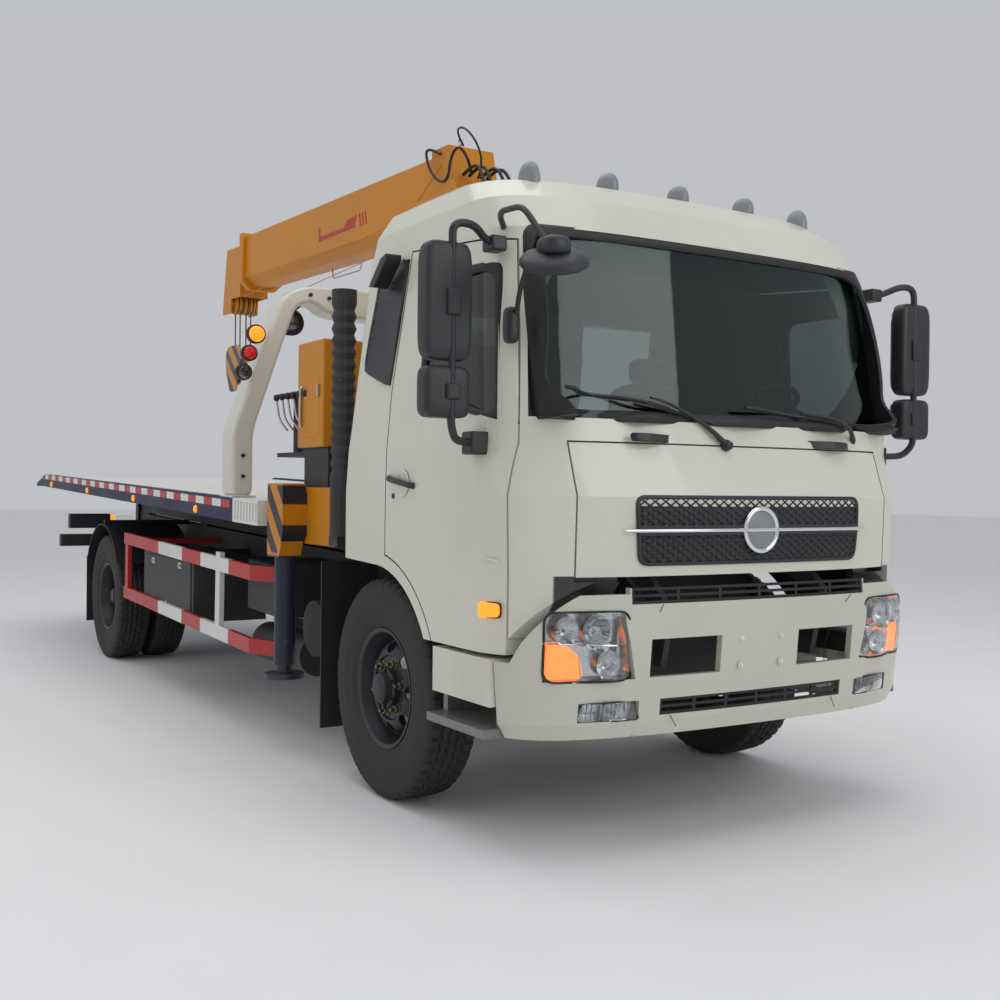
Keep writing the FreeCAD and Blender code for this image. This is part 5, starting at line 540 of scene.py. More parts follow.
camera = {"place": (4.878, -3.447, 1.425), "yaw": 148.402, "pitch": -0.556, "roll": 0.635, "lens": 42.494}
yaw, pitch, roll = (math.radians(camera[key]) for key in ("yaw", "pitch", "roll"))
ahead = np.array([math.cos(yaw) * math.cos(pitch), math.sin(yaw) * math.cos(pitch), math.sin(pitch)])
level = np.array([math.sin(yaw), -math.cos(yaw), 0])
above = np.cross(level, ahead)
right = math.cos(roll) * level + math.sin(roll) * above
upward = -math.sin(roll) * level + math.cos(roll) * above
eye = bpy.data.objects.new("eye", bpy.data.cameras.new("eye"))
eye.data.lens = camera["lens"]
eye.data.sensor_width = 36
eye.data.clip_end = 200
turn = np.eye(4)
turn[:3, :3] = np.stack([right, upward, -ahead], 1)
turn[:3, 3] = np.array(camera["place"]) + (axleX, 0, 0)
eye.matrix_world = Matrix(turn.tolist())
bpy.context.scene.collection.objects.link(eye)
bpy.context.scene.camera = eye


def softLight(name, place, target, size, power):
    # A large lamp at a place, turned to look at a target
    lamp = bpy.data.lights.new(name, "AREA")
    lamp.shape = "RECTANGLE"
    lamp.size, lamp.size_y = size
    lamp.energy = power
    made = bpy.data.objects.new(name, lamp)
    made.location = np.array(place) + (axleX, 0, 0)
    made.rotation_mode = "QUATERNION"
    made.rotation_quaternion = (Vector(target) - Vector(place)).to_track_quat("-Z", "Y")
    bpy.context.scene.collection.objects.link(made)


lights = {"world": 0.56, "top": 300.0, "front": 150.0, "side": 70.0}
softLight("topLight", (-1.5, -1.0, 9.0), (-1.5, 0, 1), (12, 8), lights["top"])
softLight("frontLight", (8.0, 2.5, 5.0), (0.5, 0, 1.5), (5, 5), lights["front"])
softLight("sideLight", (-3.0, -10.0, 5.0), (-3.0, 0, 1.2), (10, 4), lights["side"])
world = bpy.data.worlds.new("paleRoom")
world.use_nodes = True
world.node_tree.nodes["Background"].inputs[0].default_value = (0.93, 0.95, 1.0, 1.0)
world.node_tree.nodes["Background"].inputs[1].default_value = lights["world"]
bpy.context.scene.world = world
bpy.context.scene.view_settings.view_transform = "Standard"
floorHalf = 60
floorMesh = bpy.data.meshes.new("floor")
floorMesh.from_pydata([(-floorHalf, -floorHalf, 0), (floorHalf, -floorHalf, 0), (floorHalf, floorHalf, 0),
                       (-floorHalf, floorHalf, 0)], [], [(0, 1, 2, 3)])
floorMesh.materials.append(finish("floorPale", (0.86, 0.86, 0.86), 0.9, grain=0.02, mottle=0.01))
floor = bpy.data.objects.new("floor", floorMesh)
bpy.context.scene.collection.objects.link(floor)
print("camera and lights ready")


# Tyres

tyre = {"radius": 0.505, "crown": 0.006, "treadHalf": 0.104, "around": 384, "across": 38, "blocks": 52,
        "groove": 0.011, "grooveHalf": 0.0045, "zigzag": 0.007,
        "grooveRows": (-0.058, -0.0195, 0.0195, 0.058),
        "shoulder": 0.064, "lipCut": 0.007, "lipRows": 3,
        "side": ((0.1145, 0.488), (0.1195, 0.476), (0.1215, 0.470), (0.1230, 0.455), (0.1262, 0.430),
                 (0.1265, 0.405), (0.1255, 0.382), (0.1258, 0.378), (0.1248, 0.374), (0.1215, 0.350),
                 (0.1160, 0.325), (0.1165, 0.321), (0.1150, 0.317), (0.1085, 0.292),
                 (0.1010, 0.279), (0.0955, 0.272), (0.0870, 0.268), (0.0700, 0.2665))}


def step01(value):
    # A soft step from 0 to 1: 3 squares less 2 cubes
    value = np.clip(value, 0, 1)
    return value * value * (3 - 2 * value)


def tyreGrid(centreY):
    # Round the axle by angle a, and across by w: the tread carries zigzag grooves and cut shoulders
    angle = np.linspace(0, 2 * math.pi, tyre["around"], endpoint=False)[:, None]
    tread = np.linspace(-tyre["treadHalf"], tyre["treadHalf"], tyre["across"])
    turnShare = angle / (2 * math.pi) * tyre["blocks"]
    wave = np.abs((turnShare % 1) * 2 - 1) * 2 - 1
    radius = tyre["radius"] - tyre["crown"] * (tread / tyre["treadHalf"]) ** 2
    depth = np.zeros((tyre["around"], tyre["across"]))
    for number, row in enumerate(tyre["grooveRows"]):
        away = np.abs(tread - row - tyre["zigzag"] * wave * (1 if number % 2 else -1))
        depth = np.maximum(depth, step01((tyre["grooveHalf"] * 1.6 - away) / tyre["grooveHalf"]))
    shoulder = step01((np.abs(tread) - tyre["shoulder"]) / 0.006)
    cut = step01((0.17 - np.abs((turnShare + 0.5 * (tread > 0)) % 1 - 0.5)) / 0.06)
    slantShare = (turnShare * 2 + tread * 30) % 1
    middleCut = step01((0.07 - np.abs(slantShare - 0.5)) / 0.04) * (np.abs(tread) < 0.05)
    depth = np.maximum(depth, shoulder * cut)
    depth = np.maximum(depth, middleCut * 0.6)
    treadRadius = radius - depth * tyre["groove"]
    sideProfile = np.array(tyre["side"])
    ones = np.ones_like(angle)
    lip = step01((0.14 - np.abs((turnShare + 0.5) % 1 - 0.5)) / 0.06)
    lipOther = step01((0.14 - np.abs(turnShare % 1 - 0.5)) / 0.06)
    sideOut = ones * sideProfile[:, 1]
    cutRows = (np.arange(len(sideProfile)) < tyre["lipRows"])
    rightSide = sideOut - lip * cutRows * tyre["lipCut"]
    leftSide = sideOut - lipOther * cutRows * tyre["lipCut"]
    across = np.concatenate([-sideProfile[::-1, 0], tread, sideProfile[:, 0]])
    radii = np.concatenate([leftSide[:, ::-1], treadRadius, rightSide], 1)
    return np.stack([radii * np.cos(angle), np.broadcast_to(across + centreY, radii.shape),
                     radii * np.sin(angle)], -1)


def wheelAt(grid, x):
    # A tyre's grid set on the ground at x
    return sheetOf(grid + (x, 0, tyre["radius"]), closeRows=True, closeColumns=True)


wheels = {"rearX": -5.1, "frontY": 0.960, "rearY": 0.996, "twin": 0.300}
piece("treadFrontLeft", [wheelAt(tyreGrid(wheels["frontY"]), 0)], paint["tyre_rubber"], "wheel_front_left",
      stands=("tyre_front_left",), sharp=50)
piece("treadFrontRight", [wheelAt(tyreGrid(-wheels["frontY"]), 0)], paint["tyre_rubber"],
      "wheel_front_right", stands=("tyre_front_right",), sharp=50)
for side, word in ((1, "Left"), (-1, "Right")):
    pair = [wheelAt(tyreGrid(side * (wheels["rearY"] - shift)), wheels["rearX"]) for shift in
            (0, wheels["twin"])]
    piece("treadRear" + word, pair, paint["tyre_rubber"], "wheels_rear_" + word.lower(),
          stands=("tyres_rear_" + word.lower(),), sharp=50)
print("tyres made")


# Wheel rims

rim = {"flange": 0.275, "half": 0.105, "disc": 0.225, "hub": 0.150, "eye": 0.060, "holes": 8, "holeIn": 0.026,
       "holeOut": 0.040, "holeAt": 0.186, "nuts": 6, "nutAt": 0.118, "nut": 0.019, "skin": 0.006}


def rimBarrel(centreY, out):
    # Flanges and well, thick all round: a closed profile turned round the axle
    half, flange = rim["half"], rim["flange"]
    outer = [(-half, flange), (-half + 0.008, flange + 0.002), (-half + 0.014, flange - 0.004),
             (-half + 0.017, 0.262), (-half + 0.05, 0.252), (-0.02, 0.240), (0.02, 0.240),
             (half - 0.05, 0.252), (half - 0.017, 0.262), (half - 0.014, flange - 0.004),
             (half - 0.008, flange + 0.002), (half, flange)]
    inner = [(half, flange - 0.008), (half - 0.008, 0.256), (half - 0.05, 0.244), (0.02, 0.231),
             (-0.02, 0.231), (-half + 0.05, 0.244), (-half + 0.008, 0.256), (-half, flange - 0.008)]
    profile = np.array(outer + inner)
    profile[:, 0] = centreY + profile[:, 0] * out
    return turnedOf(profile, (0, 0, 0), 1, 72, closed=True)


def rimDisc(base, out, dish):
    # Eight sectors, each a ring of points from its hand hole out to its edges; depth is a function of radius
    count = rim["holes"]
    half = math.pi / count
    around = np.linspace(0, 2 * math.pi, 48, endpoint=False)
    square = np.maximum(np.abs(np.cos(around)), np.abs(np.sin(around)))
    boxA, boxR = np.cos(around) / square, np.sin(around) / square
    middle = (rim["hub"] + rim["disc"] + 0.012) / 2
    reach = (rim["disc"] + 0.012 - rim["hub"]) / 2
    share = np.linspace(0, 1, 7)[:, None]
    holeR = rim["holeAt"] + rim["holeIn"] * np.sin(around)
    holeA = rim["holeOut"] * np.cos(around) / rim["holeAt"] * 0.8
    radius = holeR + (middle + reach * boxR - holeR) * share
    angle = holeA + (half * boxA - holeA) * share
    shapes = []
    for number in range(count):
        turned = angle + 2 * half * number
        depth = base + out * dish(radius)
        grid = np.stack([radius * np.cos(turned), depth, radius * np.sin(turned)], -1)
        shapes.append(sheetOf(grid, closeColumns=True))
    ringR = np.linspace(rim["eye"], rim["hub"], 8)[:, None]
    ringA = np.linspace(0, 2 * math.pi, 96, endpoint=False)[None]
    deep = base + out * dish(ringR) + 0 * ringA
    inner = np.stack([ringR * np.cos(ringA), deep, ringR * np.sin(ringA)], -1)
    shapes.append(sheetOf(inner, closeColumns=True))
    return shapes


def hexNut(y, out, angle):
    # Six-sided nut on a domed washer, with the stud's end
    centre = (rim["nutAt"] * math.cos(angle), 0, rim["nutAt"] * math.sin(angle))
    size = rim["nut"]
    nut = turnedOf([(y, size), (y + out * 0.018, size), (y + out * 0.022, size * 0.86),
                    (y + out * 0.022, 0.004)], centre, 1, 6)
    washer = turnedOf([(y, size * 1.35), (y + out * 0.004, size * 1.3), (y + out * 0.006, size)],
                      centre, 1, 18)
    stud = turnedOf([(y + out * 0.02, 0.009), (y + out * 0.040, 0.009), (y + out * 0.043, 0.006)],
                    centre, 1, 12)
    return [nut, washer, stud]


def hubOf(y, out, reach):
    # Stepped hub with a domed cover and its bolts
    cover = [(y - out * 0.03, 0.088), (y + out * reach * 0.35, 0.086), (y + out * reach * 0.45, 0.074),
             (y + out * reach * 0.82, 0.068), (y + out * reach * 0.9, 0.060), (y + out * reach, 0.045),
             (y + out * reach, 0.006)]
    shapes = [turnedOf(cover, (0, 0, 0), 1, 40)]
    for number in range(6):
        angle = number * math.pi / 3 + 0.5
        shapes.append(turnedOf([(y + out * reach * 0.3, 0.007), (y + out * (reach * 0.45 + 0.007), 0.007),
                                (y + out * (reach * 0.45 + 0.009), 0.004)],
                               (0.079 * math.cos(angle), 0, 0.079 * math.sin(angle)), 1, 6))
    return shapes


dishRadii = [0.06, 0.14, 0.16, 0.19, 0.215, 0.235]
discAt = {"front": 0.052, "rear": 0.062}


def frontDish(radius):
    # Depth of the front disc by radius: a flat hub that falls back to the rim
    return np.interp(radius, dishRadii, [0.012, 0.012, 0.020, 0.004, -0.028, -0.045])


def rearDish(radius):
    # Depth of the rear disc by radius: a deep hub that comes out to the rim
    return np.interp(radius, dishRadii, [0.0, 0.0, -0.010, 0.018, 0.040, 0.052])


for side, word in ((1, "left"), (-1, "right")):
    place = (0, 0, tyre["radius"])
    y = side * wheels["frontY"]
    face = y + side * discAt["front"]
    shapes = [rimBarrel(y, side)] + rimDisc(face, side, frontDish) + hubOf(face + side * 0.01, side, 0.075)
    shapes = [movedOf(shape, place) for shape in shapes]
    piece("rimFront" + word.capitalize(), shapes, paint["rim_paint"], "wheel_front_" + word,
          solid=False, wall=rim["skin"], stands=("rim_front_" + word,))
    nuts = [movedOf(shape, place) for number in range(rim["nuts"])
            for shape in hexNut(face + side * 0.012, side, number * math.pi / 3 + 0.2)]
    piece("nutsFront" + word.capitalize(), nuts, paint["brass"], "wheel_front_" + word)
    place = (wheels["rearX"], 0, tyre["radius"])
    y = side * wheels["rearY"]
    deep = y - side * discAt["rear"]
    shapes = [rimBarrel(y, side), rimBarrel(y - side * wheels["twin"], -side)]
    shapes += rimDisc(deep, side, rearDish)
    shapes += rimDisc(y - side * (wheels["twin"] - discAt["rear"]), -side, rearDish)
    shapes += hubOf(deep, side, 0.13)
    shapes = [movedOf(shape, place) for shape in shapes]
    piece("rimsRear" + word.capitalize(), shapes, paint["rim_paint"], "wheels_rear_" + word,
          solid=False, wall=rim["skin"], stands=("rims_rear_" + word,))
    nuts = [movedOf(shape, place) for number in range(rim["nuts"])
            for shape in hexNut(deep, side, number * math.pi / 3 + 0.2)]
    piece("nutsRear" + word.capitalize(), nuts, paint["brass"], "wheels_rear_" + word)
print("rims made")


# Smooth skins through the cab and bumper, for everything that lies on them

def evenPowers(top, other):
    # Pairs of powers for a surface that is the same on both sides
    return [(i, j) for i in range(0, top + 1, 2) for j in range(other + 1)]


def allPowers(top, other):
    # Pairs of powers up to top and other
    return [(i, j) for i in range(top + 1) for j in range(other + 1)]


def skinThrough(samples, axis, side, powers, scales):
    # A smooth surface by least squares over powers of two coordinates, through samples of nodes' skins:
    # each sample is (node, lift, first coordinates, second coordinates)
    spots, found = [], []
    for node, lift, first, second in samples:
        grid = np.stack(np.meshgrid(first, second, indexing="ij"), -1).reshape(-1, 2)
        spots.append(grid)
        found.append(meet(node, grid, axis, side) + lift)
    spots, found = np.concatenate(spots), np.concatenate(found)
    good = ~np.isnan(found)

    def basis(a, b):
        return np.stack([(a / scales[0]) ** i * ((b - scales[2]) / scales[1]) ** j for i, j in powers], -1)

    weights = np.linalg.lstsq(basis(spots[good, 0], spots[good, 1]), found[good], rcond=None)[0]
    return lambda a, b: basis(np.asarray(a, float), np.asarray(b, float)) @ weights


def onSkin(skin, a, b, lift=0.0, axis=0, side=1):
    # Points on a skin given by two coordinates, lifted along its normal
    step = 0.002
    a, b = np.broadcast_arrays(np.asarray(a, float), np.asarray(b, float))
    slopeA = (skin(a + step, b) - skin(a - step, b)) / (2 * step)
    slopeB = (skin(a, b + step) - skin(a, b - step)) / (2 * step)
    size = np.sqrt(1 + slopeA ** 2 + slopeB ** 2)
    out = np.asarray(lift, float) * side / size
    along, first, second = skin(a, b) + out, a - out * slopeA, b - out * slopeB
    return np.stack([along, first, second] if axis == 0 else [first, along, second], -1)


def bandOn(skin, outer, inner, section, axis=0, side=1):
    # A closed band between two outlines: section gives (share from outer to inner, lift) round the band
    rows = []
    for share, lift in section:
        line = outer + (inner - outer) * share
        rows.append(onSkin(skin, line[:, 0], line[:, 1], lift, axis, side))
    return sheetOf(np.stack(rows), closeRows=True, closeColumns=True)


def patchOn(skin, outline, lifts, axis=0, side=1, rings=10):
    # A filled outline in rings towards its middle, lifted by a function of (share from the middle)
    centre = outline.mean(0)
    share = np.linspace(1, 0.02, rings)[:, None, None]
    spots = centre + (outline - centre) * share
    lift = lifts(share[..., 0] * np.ones(len(outline))) if callable(lifts) else lifts
    return sheetOf(onSkin(skin, spots[..., 0], spots[..., 1], lift, axis, side), closeColumns=True, caps=True)


def slabOn(skin, outline, low, high, axis=0, side=1, rings=6):
    # A plate between two lifts, over an outline
    under = patchOn(skin, outline, low, axis, side, rings)
    over = patchOn(skin, outline, high, axis, side, rings)
    edge = sheetOf(np.stack([onSkin(skin, outline[:, 0], outline[:, 1], lift, axis, side)
                             for lift in (low, high)]), closeColumns=True)
    return [under, over, edge]


across = np.linspace(-1.03, 1.03, 43)
screenSkin = skinThrough([("cab_shell", 0, across, np.array([1.625, 1.65, 1.675, 2.475, 2.495, 2.515])),
                          ("cab_glass", 0.015, np.linspace(-0.72, 0.72, 19), np.linspace(1.75, 2.42, 9))],
                         0, 1, evenPowers(10, 2), (1.03, 0.5, 2.08))
doorSkin = skinThrough([("door_left", 0, np.linspace(0.16, 1.04, 25), np.linspace(1.30, 2.43, 24))],
                       1, 1, allPowers(4, 4), (1.0, 1.0, 1.9))
flankSkin = skinThrough([("cab_trim", -0.004, np.linspace(-0.12, 0.12, 12), np.linspace(1.96, 2.38, 16))],
                        1, 1, allPowers(3, 4), (0.4, 1.0, 2.0))
bumperSkin = skinThrough([("bumper", 0, np.linspace(-1.02, 1.02, 49), np.linspace(0.50, 0.98, 13)),
                          ("front_lamps", -0.004, np.linspace(-1.02, 1.02, 49), np.linspace(0.50, 0.98, 13))],
                         0, 1, evenPowers(14, 2), (1.02, 0.5, 0.75))
flapSkin = skinThrough([("front_flap", 0, np.linspace(-0.8, 0.8, 31), np.linspace(1.11, 1.59, 13))],
                       0, 1, evenPowers(8, 3), (0.85, 0.3, 1.35))
print("skins fitted")

# Windscreen rubber: square outside, well rounded inside
screen = {"lowHalf": 0.994, "highHalf": 0.932, "low": 1.702, "high": 2.458, "grow": 0.010, "shrink": 0.034,
          "outRound": 0.05, "inRound": 0.15}


def quadOf(lowHalf, highHalf, low, high, grow):
    # Four corners of a symmetrical panel, moved out by grow
    return [(-lowHalf - grow, low - grow), (lowHalf + grow, low - grow), (highHalf + grow, high + grow),
            (-highHalf - grow, high + grow)]


def growthBand(make, grow, shrink, outRound, inRound, steps=10, between=14):
    # Outer and inner outline of a band round a panel
    return (roundedOutline(make(grow), outRound, steps, between),
            roundedOutline(make(-shrink), inRound, steps, between))


def screenBox(grow):
    return quadOf(screen["lowHalf"], screen["highHalf"], screen["low"], screen["high"], grow)


rubberSection = [(0, -0.006), (0, 0.003), (0.12, 0.007), (0.45, 0.009), (0.85, 0.006), (1.0, 0.0),
                 (1.0, -0.014), (0.5, -0.018)]
outer, inner = growthBand(screenBox, screen["grow"], screen["shrink"], screen["outRound"], screen["inRound"])
piece("screenRubber", [bandOn(screenSkin, outer, inner, rubberSection)], paint["rubber"], "cab")

# Door window rubbers
doorWindow = {"corners": ((1.005, 1.690), (0.915, 2.310), (0.395, 2.310), (0.395, 1.840)), "out": 0.012,
              "in": 0.020, "outRound": 0.045, "inRound": 0.07}


def shiftedOutline(corners, grow):
    # Corners moved away from the middle by about grow
    corners = np.array(corners)
    centre = corners.mean(0)
    away = corners - centre
    return centre + away + np.sign(away) * grow


def windowBox(grow):
    return shiftedOutline(doorWindow["corners"], grow)


outer, inner = growthBand(windowBox, doorWindow["out"], doorWindow["in"], doorWindow["outRound"],
                          doorWindow["inRound"], 8, 10)
sealSection = [(0, -0.004), (0, 0.002), (0.3, 0.005), (0.8, 0.003), (1.0, -0.004), (1.0, -0.016),
               (0.5, -0.018)]
seal = bandOn(doorSkin, outer, inner, sealSection, 1, 1)
piece("windowRubberLeft", [seal], paint["rubber"], "door_left")
piece("windowRubberRight", [mirrorOf(seal)], paint["rubber"], "door_right")

# Grille insert on the front flap
grille = {"lowHalf": 0.599, "highHalf": 0.618, "low": 1.131, "high": 1.405, "round": 0.045, "border": 0.012,
          "barZ": 1.268, "barHalf": 0.665, "cellY": 0.024, "cellZ": 0.015, "deep": 0.007, "proud": 0.0105,
          "across": 460, "up": 92}


def grilleBox(grow):
    return quadOf(grille["lowHalf"], grille["highHalf"], grille["low"], grille["high"], grow)


outer, inner = growthBand(grilleBox, 0.0, 0.016, grille["round"], grille["round"] * 0.7, 8, 20)
frameSection = [(0, -0.002), (0, 0.009), (0.25, 0.013), (0.7, 0.013), (1.0, 0.008), (1.0, -0.004)]
piece("grilleFrame", [bandOn(flapSkin, outer, inner, frameSection)], paint["softPlastic"], "front_flap",
      stands=("grille",))
border = grille["border"]
up = np.linspace(grille["low"] + border, grille["high"] - border, grille["up"])[:, None]
nearEdge = np.minimum(up - grille["low"] - border, grille["high"] - border - up)
corner = np.clip(1 - nearEdge / 0.03, 0, 1)
halfHere = np.interp(up, [grille["low"], grille["high"]], [grille["lowHalf"], grille["highHalf"]]) - border
halfHere = halfHere - 0.03 * (1 - np.sqrt(np.clip(1 - corner ** 2, 0, 1)))
sideways = np.linspace(-1, 1, grille["across"])[None] * halfHere
firstWay = np.abs(((sideways / grille["cellY"] + up / grille["cellZ"]) / 2) % 1 - 0.5)
otherWay = np.abs(((sideways / grille["cellY"] - up / grille["cellZ"]) / 2) % 1 - 0.5)
web = step01((np.maximum(firstWay, otherWay) - 0.36) / 0.08)
barHere = step01((0.024 - np.abs(up - grille["barZ"])) / 0.006) + 0 * sideways
lift = -grille["deep"] * (1 - np.maximum(web, barHere)) + grille["proud"] + 0.002 * barHere
piece("grilleMesh", [sheetOf(onSkin(flapSkin, sideways, up + 0 * sideways, lift))], paint["softPlastic"],
      "front_flap", solid=False, sharp=60)

barY = np.linspace(-grille["barHalf"], grille["barHalf"], 90)
barLine = onSkin(flapSkin, barY, grille["barZ"] + 0 * barY, 0.013)
thin = 0.0085 * np.clip((0.667 - np.abs(barY)) / 0.05, 0.15, 1) ** 0.5
piece("grilleBar", [tubeOf(barLine, thin, 12)], paint["chrome"], "front_flap")
badgeX = float(flapSkin(0.0, grille["barZ"]))
ringProfile = [(0.008 + 0.011 * math.cos(a), 0.087 + 0.011 * math.sin(a))
               for a in np.linspace(0, 2 * math.pi, 16, endpoint=False)]
plain = [(0.004, 0.082), (0.010, 0.074), (0.012, 0.05), (0.013, 0.02), (0.0132, 0.002)]
badgeAt = (badgeX + 0.004, 0, grille["barZ"])
piece("badgeRing", [turnedOf(ringProfile, badgeAt, 0, 72, closed=True)], paint["chrome"], "front_flap")
piece("badgeBlank", [turnedOf([(-0.01, 0.084)] + plain, badgeAt, 0, 72)], paint["lampGrey"], "front_flap")
print("grille made")

# Bumper: seams and plate bolts
trimLine = {"y": 0.44, "low": 0.503, "high": 0.985, "width": 0.0016, "slope": 0.166}
shapes = []
for y in (-trimLine["y"], trimLine["y"]):
    z = np.linspace(trimLine["low"], trimLine["high"], 20)
    sideways = y + (z - trimLine["low"]) * trimLine["slope"] * np.sign(y)
    shapes.append(tubeOf(onSkin(bumperSkin, sideways, z, 0.0002), trimLine["width"], 6))
piece("bumperSeams", shapes, paint["rubber"], "chassis")
boltSpots = ((-0.110, 0.829), (0.110, 0.829), (-0.110, 0.721), (0.110, 0.721))
shapes = []
for y, z in boltSpots:
    at = (float(bumperSkin(y, z)), y, z)
    shapes.append(turnedOf([(-0.002, 0.013), (0.003, 0.013), (0.005, 0.011), (0.005, 0.001)], at, 0, 20))
    shapes.append(turnedOf([(0.004, 0.008), (0.011, 0.008), (0.012, 0.006), (0.012, 0.001)], at, 0, 6))
piece("plateBolts", shapes, paint["white"], "chassis")

# Headlamps and fog lamps, each a bowl, reflectors, lamp and ribbed lens
lamp = {"nearHigh": 0.677, "nearLow": 0.620, "far": 0.985, "high": 0.960, "low": 0.697, "round": 0.045,
        "deep": 0.055}
fog = {"near": 0.596, "far": 0.850, "high": 0.612, "low": 0.538, "round": 0.02, "deep": 0.05}
headOutline = roundedOutline([(lamp["nearLow"], lamp["low"]), (lamp["far"], lamp["low"]),
                              (lamp["far"], lamp["high"]), (lamp["nearHigh"] - 0.02, lamp["high"])],
                             lamp["round"], 8, 8)
fogOutline = roundedOutline([(fog["near"], fog["low"]), (fog["far"], fog["low"]),
                             (fog["far"] - 0.01, fog["high"]), (fog["near"] - 0.01, fog["high"])],
                            fog["round"], 6, 8)


def bowlOf(outline, deep, narrow=0.9, mouth=-0.003):
    # Side wall from the lens edge back to a smaller floor, then the floor in rings
    centre = outline.mean(0)
    rows = []
    for share, depth in ((1, mouth), (0.985, -0.010), (0.96, -deep * 0.5), (narrow, -deep),
                         (0.6, -deep * 1.04), (0.3, -deep * 1.05), (0.03, -deep * 1.05)):
        line = centre + (outline - centre) * share
        rows.append(onSkin(bumperSkin, line[:, 0], line[:, 1], 0.0) + (depth, 0, 0))
    return sheetOf(np.stack(rows), closeColumns=True)


def reflectorOf(y, z, radius, deep, facets=20):
    # A fluted paraboloid: depth grows with the square of the radius, with flutes round it
    x = float(bumperSkin(y, z)) - 0.008
    share = np.linspace(0.12, 1, 14)[:, None]
    angle = np.linspace(0, 2 * math.pi, facets * 4, endpoint=False)[None]
    flute = 0.0014 * np.abs(np.sin(angle * facets / 2)) * share
    depth = x - deep * (1 - share ** 2) + flute
    sideways, upward = radius * share * np.cos(angle), radius * share * np.sin(angle)
    return sheetOf(np.stack([depth + 0 * angle, y + sideways, z + upward], -1), closeColumns=True)


def bulbOf(y, z, size, deep=0.03):
    # A turned bulb, widest at its middle
    x = float(bumperSkin(y, z)) - 0.008 - deep
    return turnedOf([(-0.012, size * 0.8), (0.0, size), (0.010, size * 0.9), (0.018, size * 0.5),
                     (0.020, 0.0008)], (x, y, z), 0, 20)


bowls = ({"y": 0.790, "z": 0.885, "radius": 0.066, "deep": 0.050, "bulb": 0.012},
         {"y": 0.905, "z": 0.890, "radius": 0.055, "deep": 0.040, "bulb": 0.008},
         {"y": 0.745, "z": 0.760, "radius": 0.056, "deep": 0.045, "bulb": 0.012},
         {"y": 0.72, "z": 0.575, "radius": 0.034, "deep": 0.04, "bulb": 0.009})
housing = [bowlOf(headOutline, lamp["deep"]), bowlOf(fogOutline, fog["deep"])]
mirrorShapes = [reflectorOf(bowl["y"], bowl["z"], bowl["radius"], bowl["deep"]) for bowl in bowls]
bulbs = [bulbOf(bowl["y"], bowl["z"], bowl["bulb"]) for bowl in bowls]
amberOutline = roundedOutline([(0.835, 0.705), (0.976, 0.705), (0.976, 0.835), (0.90, 0.835), (0.852, 0.79)],
                              0.02, 6, 5)
amber = [patchOn(bumperSkin, amberOutline, -0.016, rings=8)]


def lensLift(share):
    return 0.003 - 0.004 * share ** 8


lenses = [patchOn(bumperSkin, headOutline, lensLift, rings=14),
          patchOn(bumperSkin, fogOutline, lensLift, rings=10)]
divider = []
for start, end in (((0.655, 0.828), (0.975, 0.842)), ((0.842, 0.705), (0.856, 0.80))):
    share = np.linspace(0, 1, 16)
    y, z = start[0] + (end[0] - start[0]) * share, start[1] + (end[1] - start[1]) * share
    divider.append(tubeOf(onSkin(bumperSkin, y, z, -0.012), 0.004, 8))
ribs = []
for number in range(13):
    z = np.linspace(fog["low"] + 0.006, fog["high"] - 0.006, 5)
    y = fog["near"] + 0.016 + number * 0.0185 + 0 * z
    ribs.append(tubeOf(onSkin(bumperSkin, y, z, -0.004), 0.0028, 6))
piece("lampHousings", bothSides(housing), paint["reflector"], "chassis", solid=False,
      stands=("front_lamps",))
piece("lampReflectors", bothSides(mirrorShapes + divider), paint["reflector"], "chassis",
      solid=False)
piece("lampBulbs", bothSides(bulbs), paint["lamp_glass"], "chassis")
piece("lampAmber", bothSides(amber), paint["amber_lens"], "chassis", solid=False, wall=0.003)
piece("lampLenses", bothSides(lenses + ribs), paint["lamp_glass"], "chassis", solid=False,
      wall=0.0025)
edgeSection = [(0, -0.002), (0, 0.0025), (0.5, 0.003), (1, 0.001), (1, -0.006)]
shapes = []
for outline, grow in ((headOutline, 0.006), (fogOutline, 0.004)):
    centre = outline.mean(0)
    away = outline - centre
    away = away / np.linalg.norm(away, axis=1)[:, None]
    shapes.append(bandOn(bumperSkin, outline + away * grow, outline - away * 0.003, edgeSection))
piece("lampSeals", bothSides(shapes), paint["rubber"], "chassis")
print("lamps made")

# Roof marker lamps: smooth drops
marker = {"shares": (-0.69, -0.35, 0.0, 0.35, 0.69), "cabHalf": 1.12, "x": 0.766, "sideX": 0.734,
          "length": 0.06, "half": 0.038, "low": 2.662, "sideDrop": 0.045, "high": 2.789}
shapes = []
for share in marker["shares"]:
    y = share * marker["cabHalf"]
    x = marker["x"] if abs(share) < 0.5 else marker["sideX"]
    low = marker["low"] - (marker["sideDrop"] if abs(share) > 0.5 else 0)
    shapes.append(pillow((x - marker["length"], y - marker["half"], low),
                         (x + marker["length"], y + marker["half"], marker["high"]), 2.3, 20, 28))
piece("roofMarkers", shapes, paint["lampGrey"], "cab", stands=("roof_lamps",))

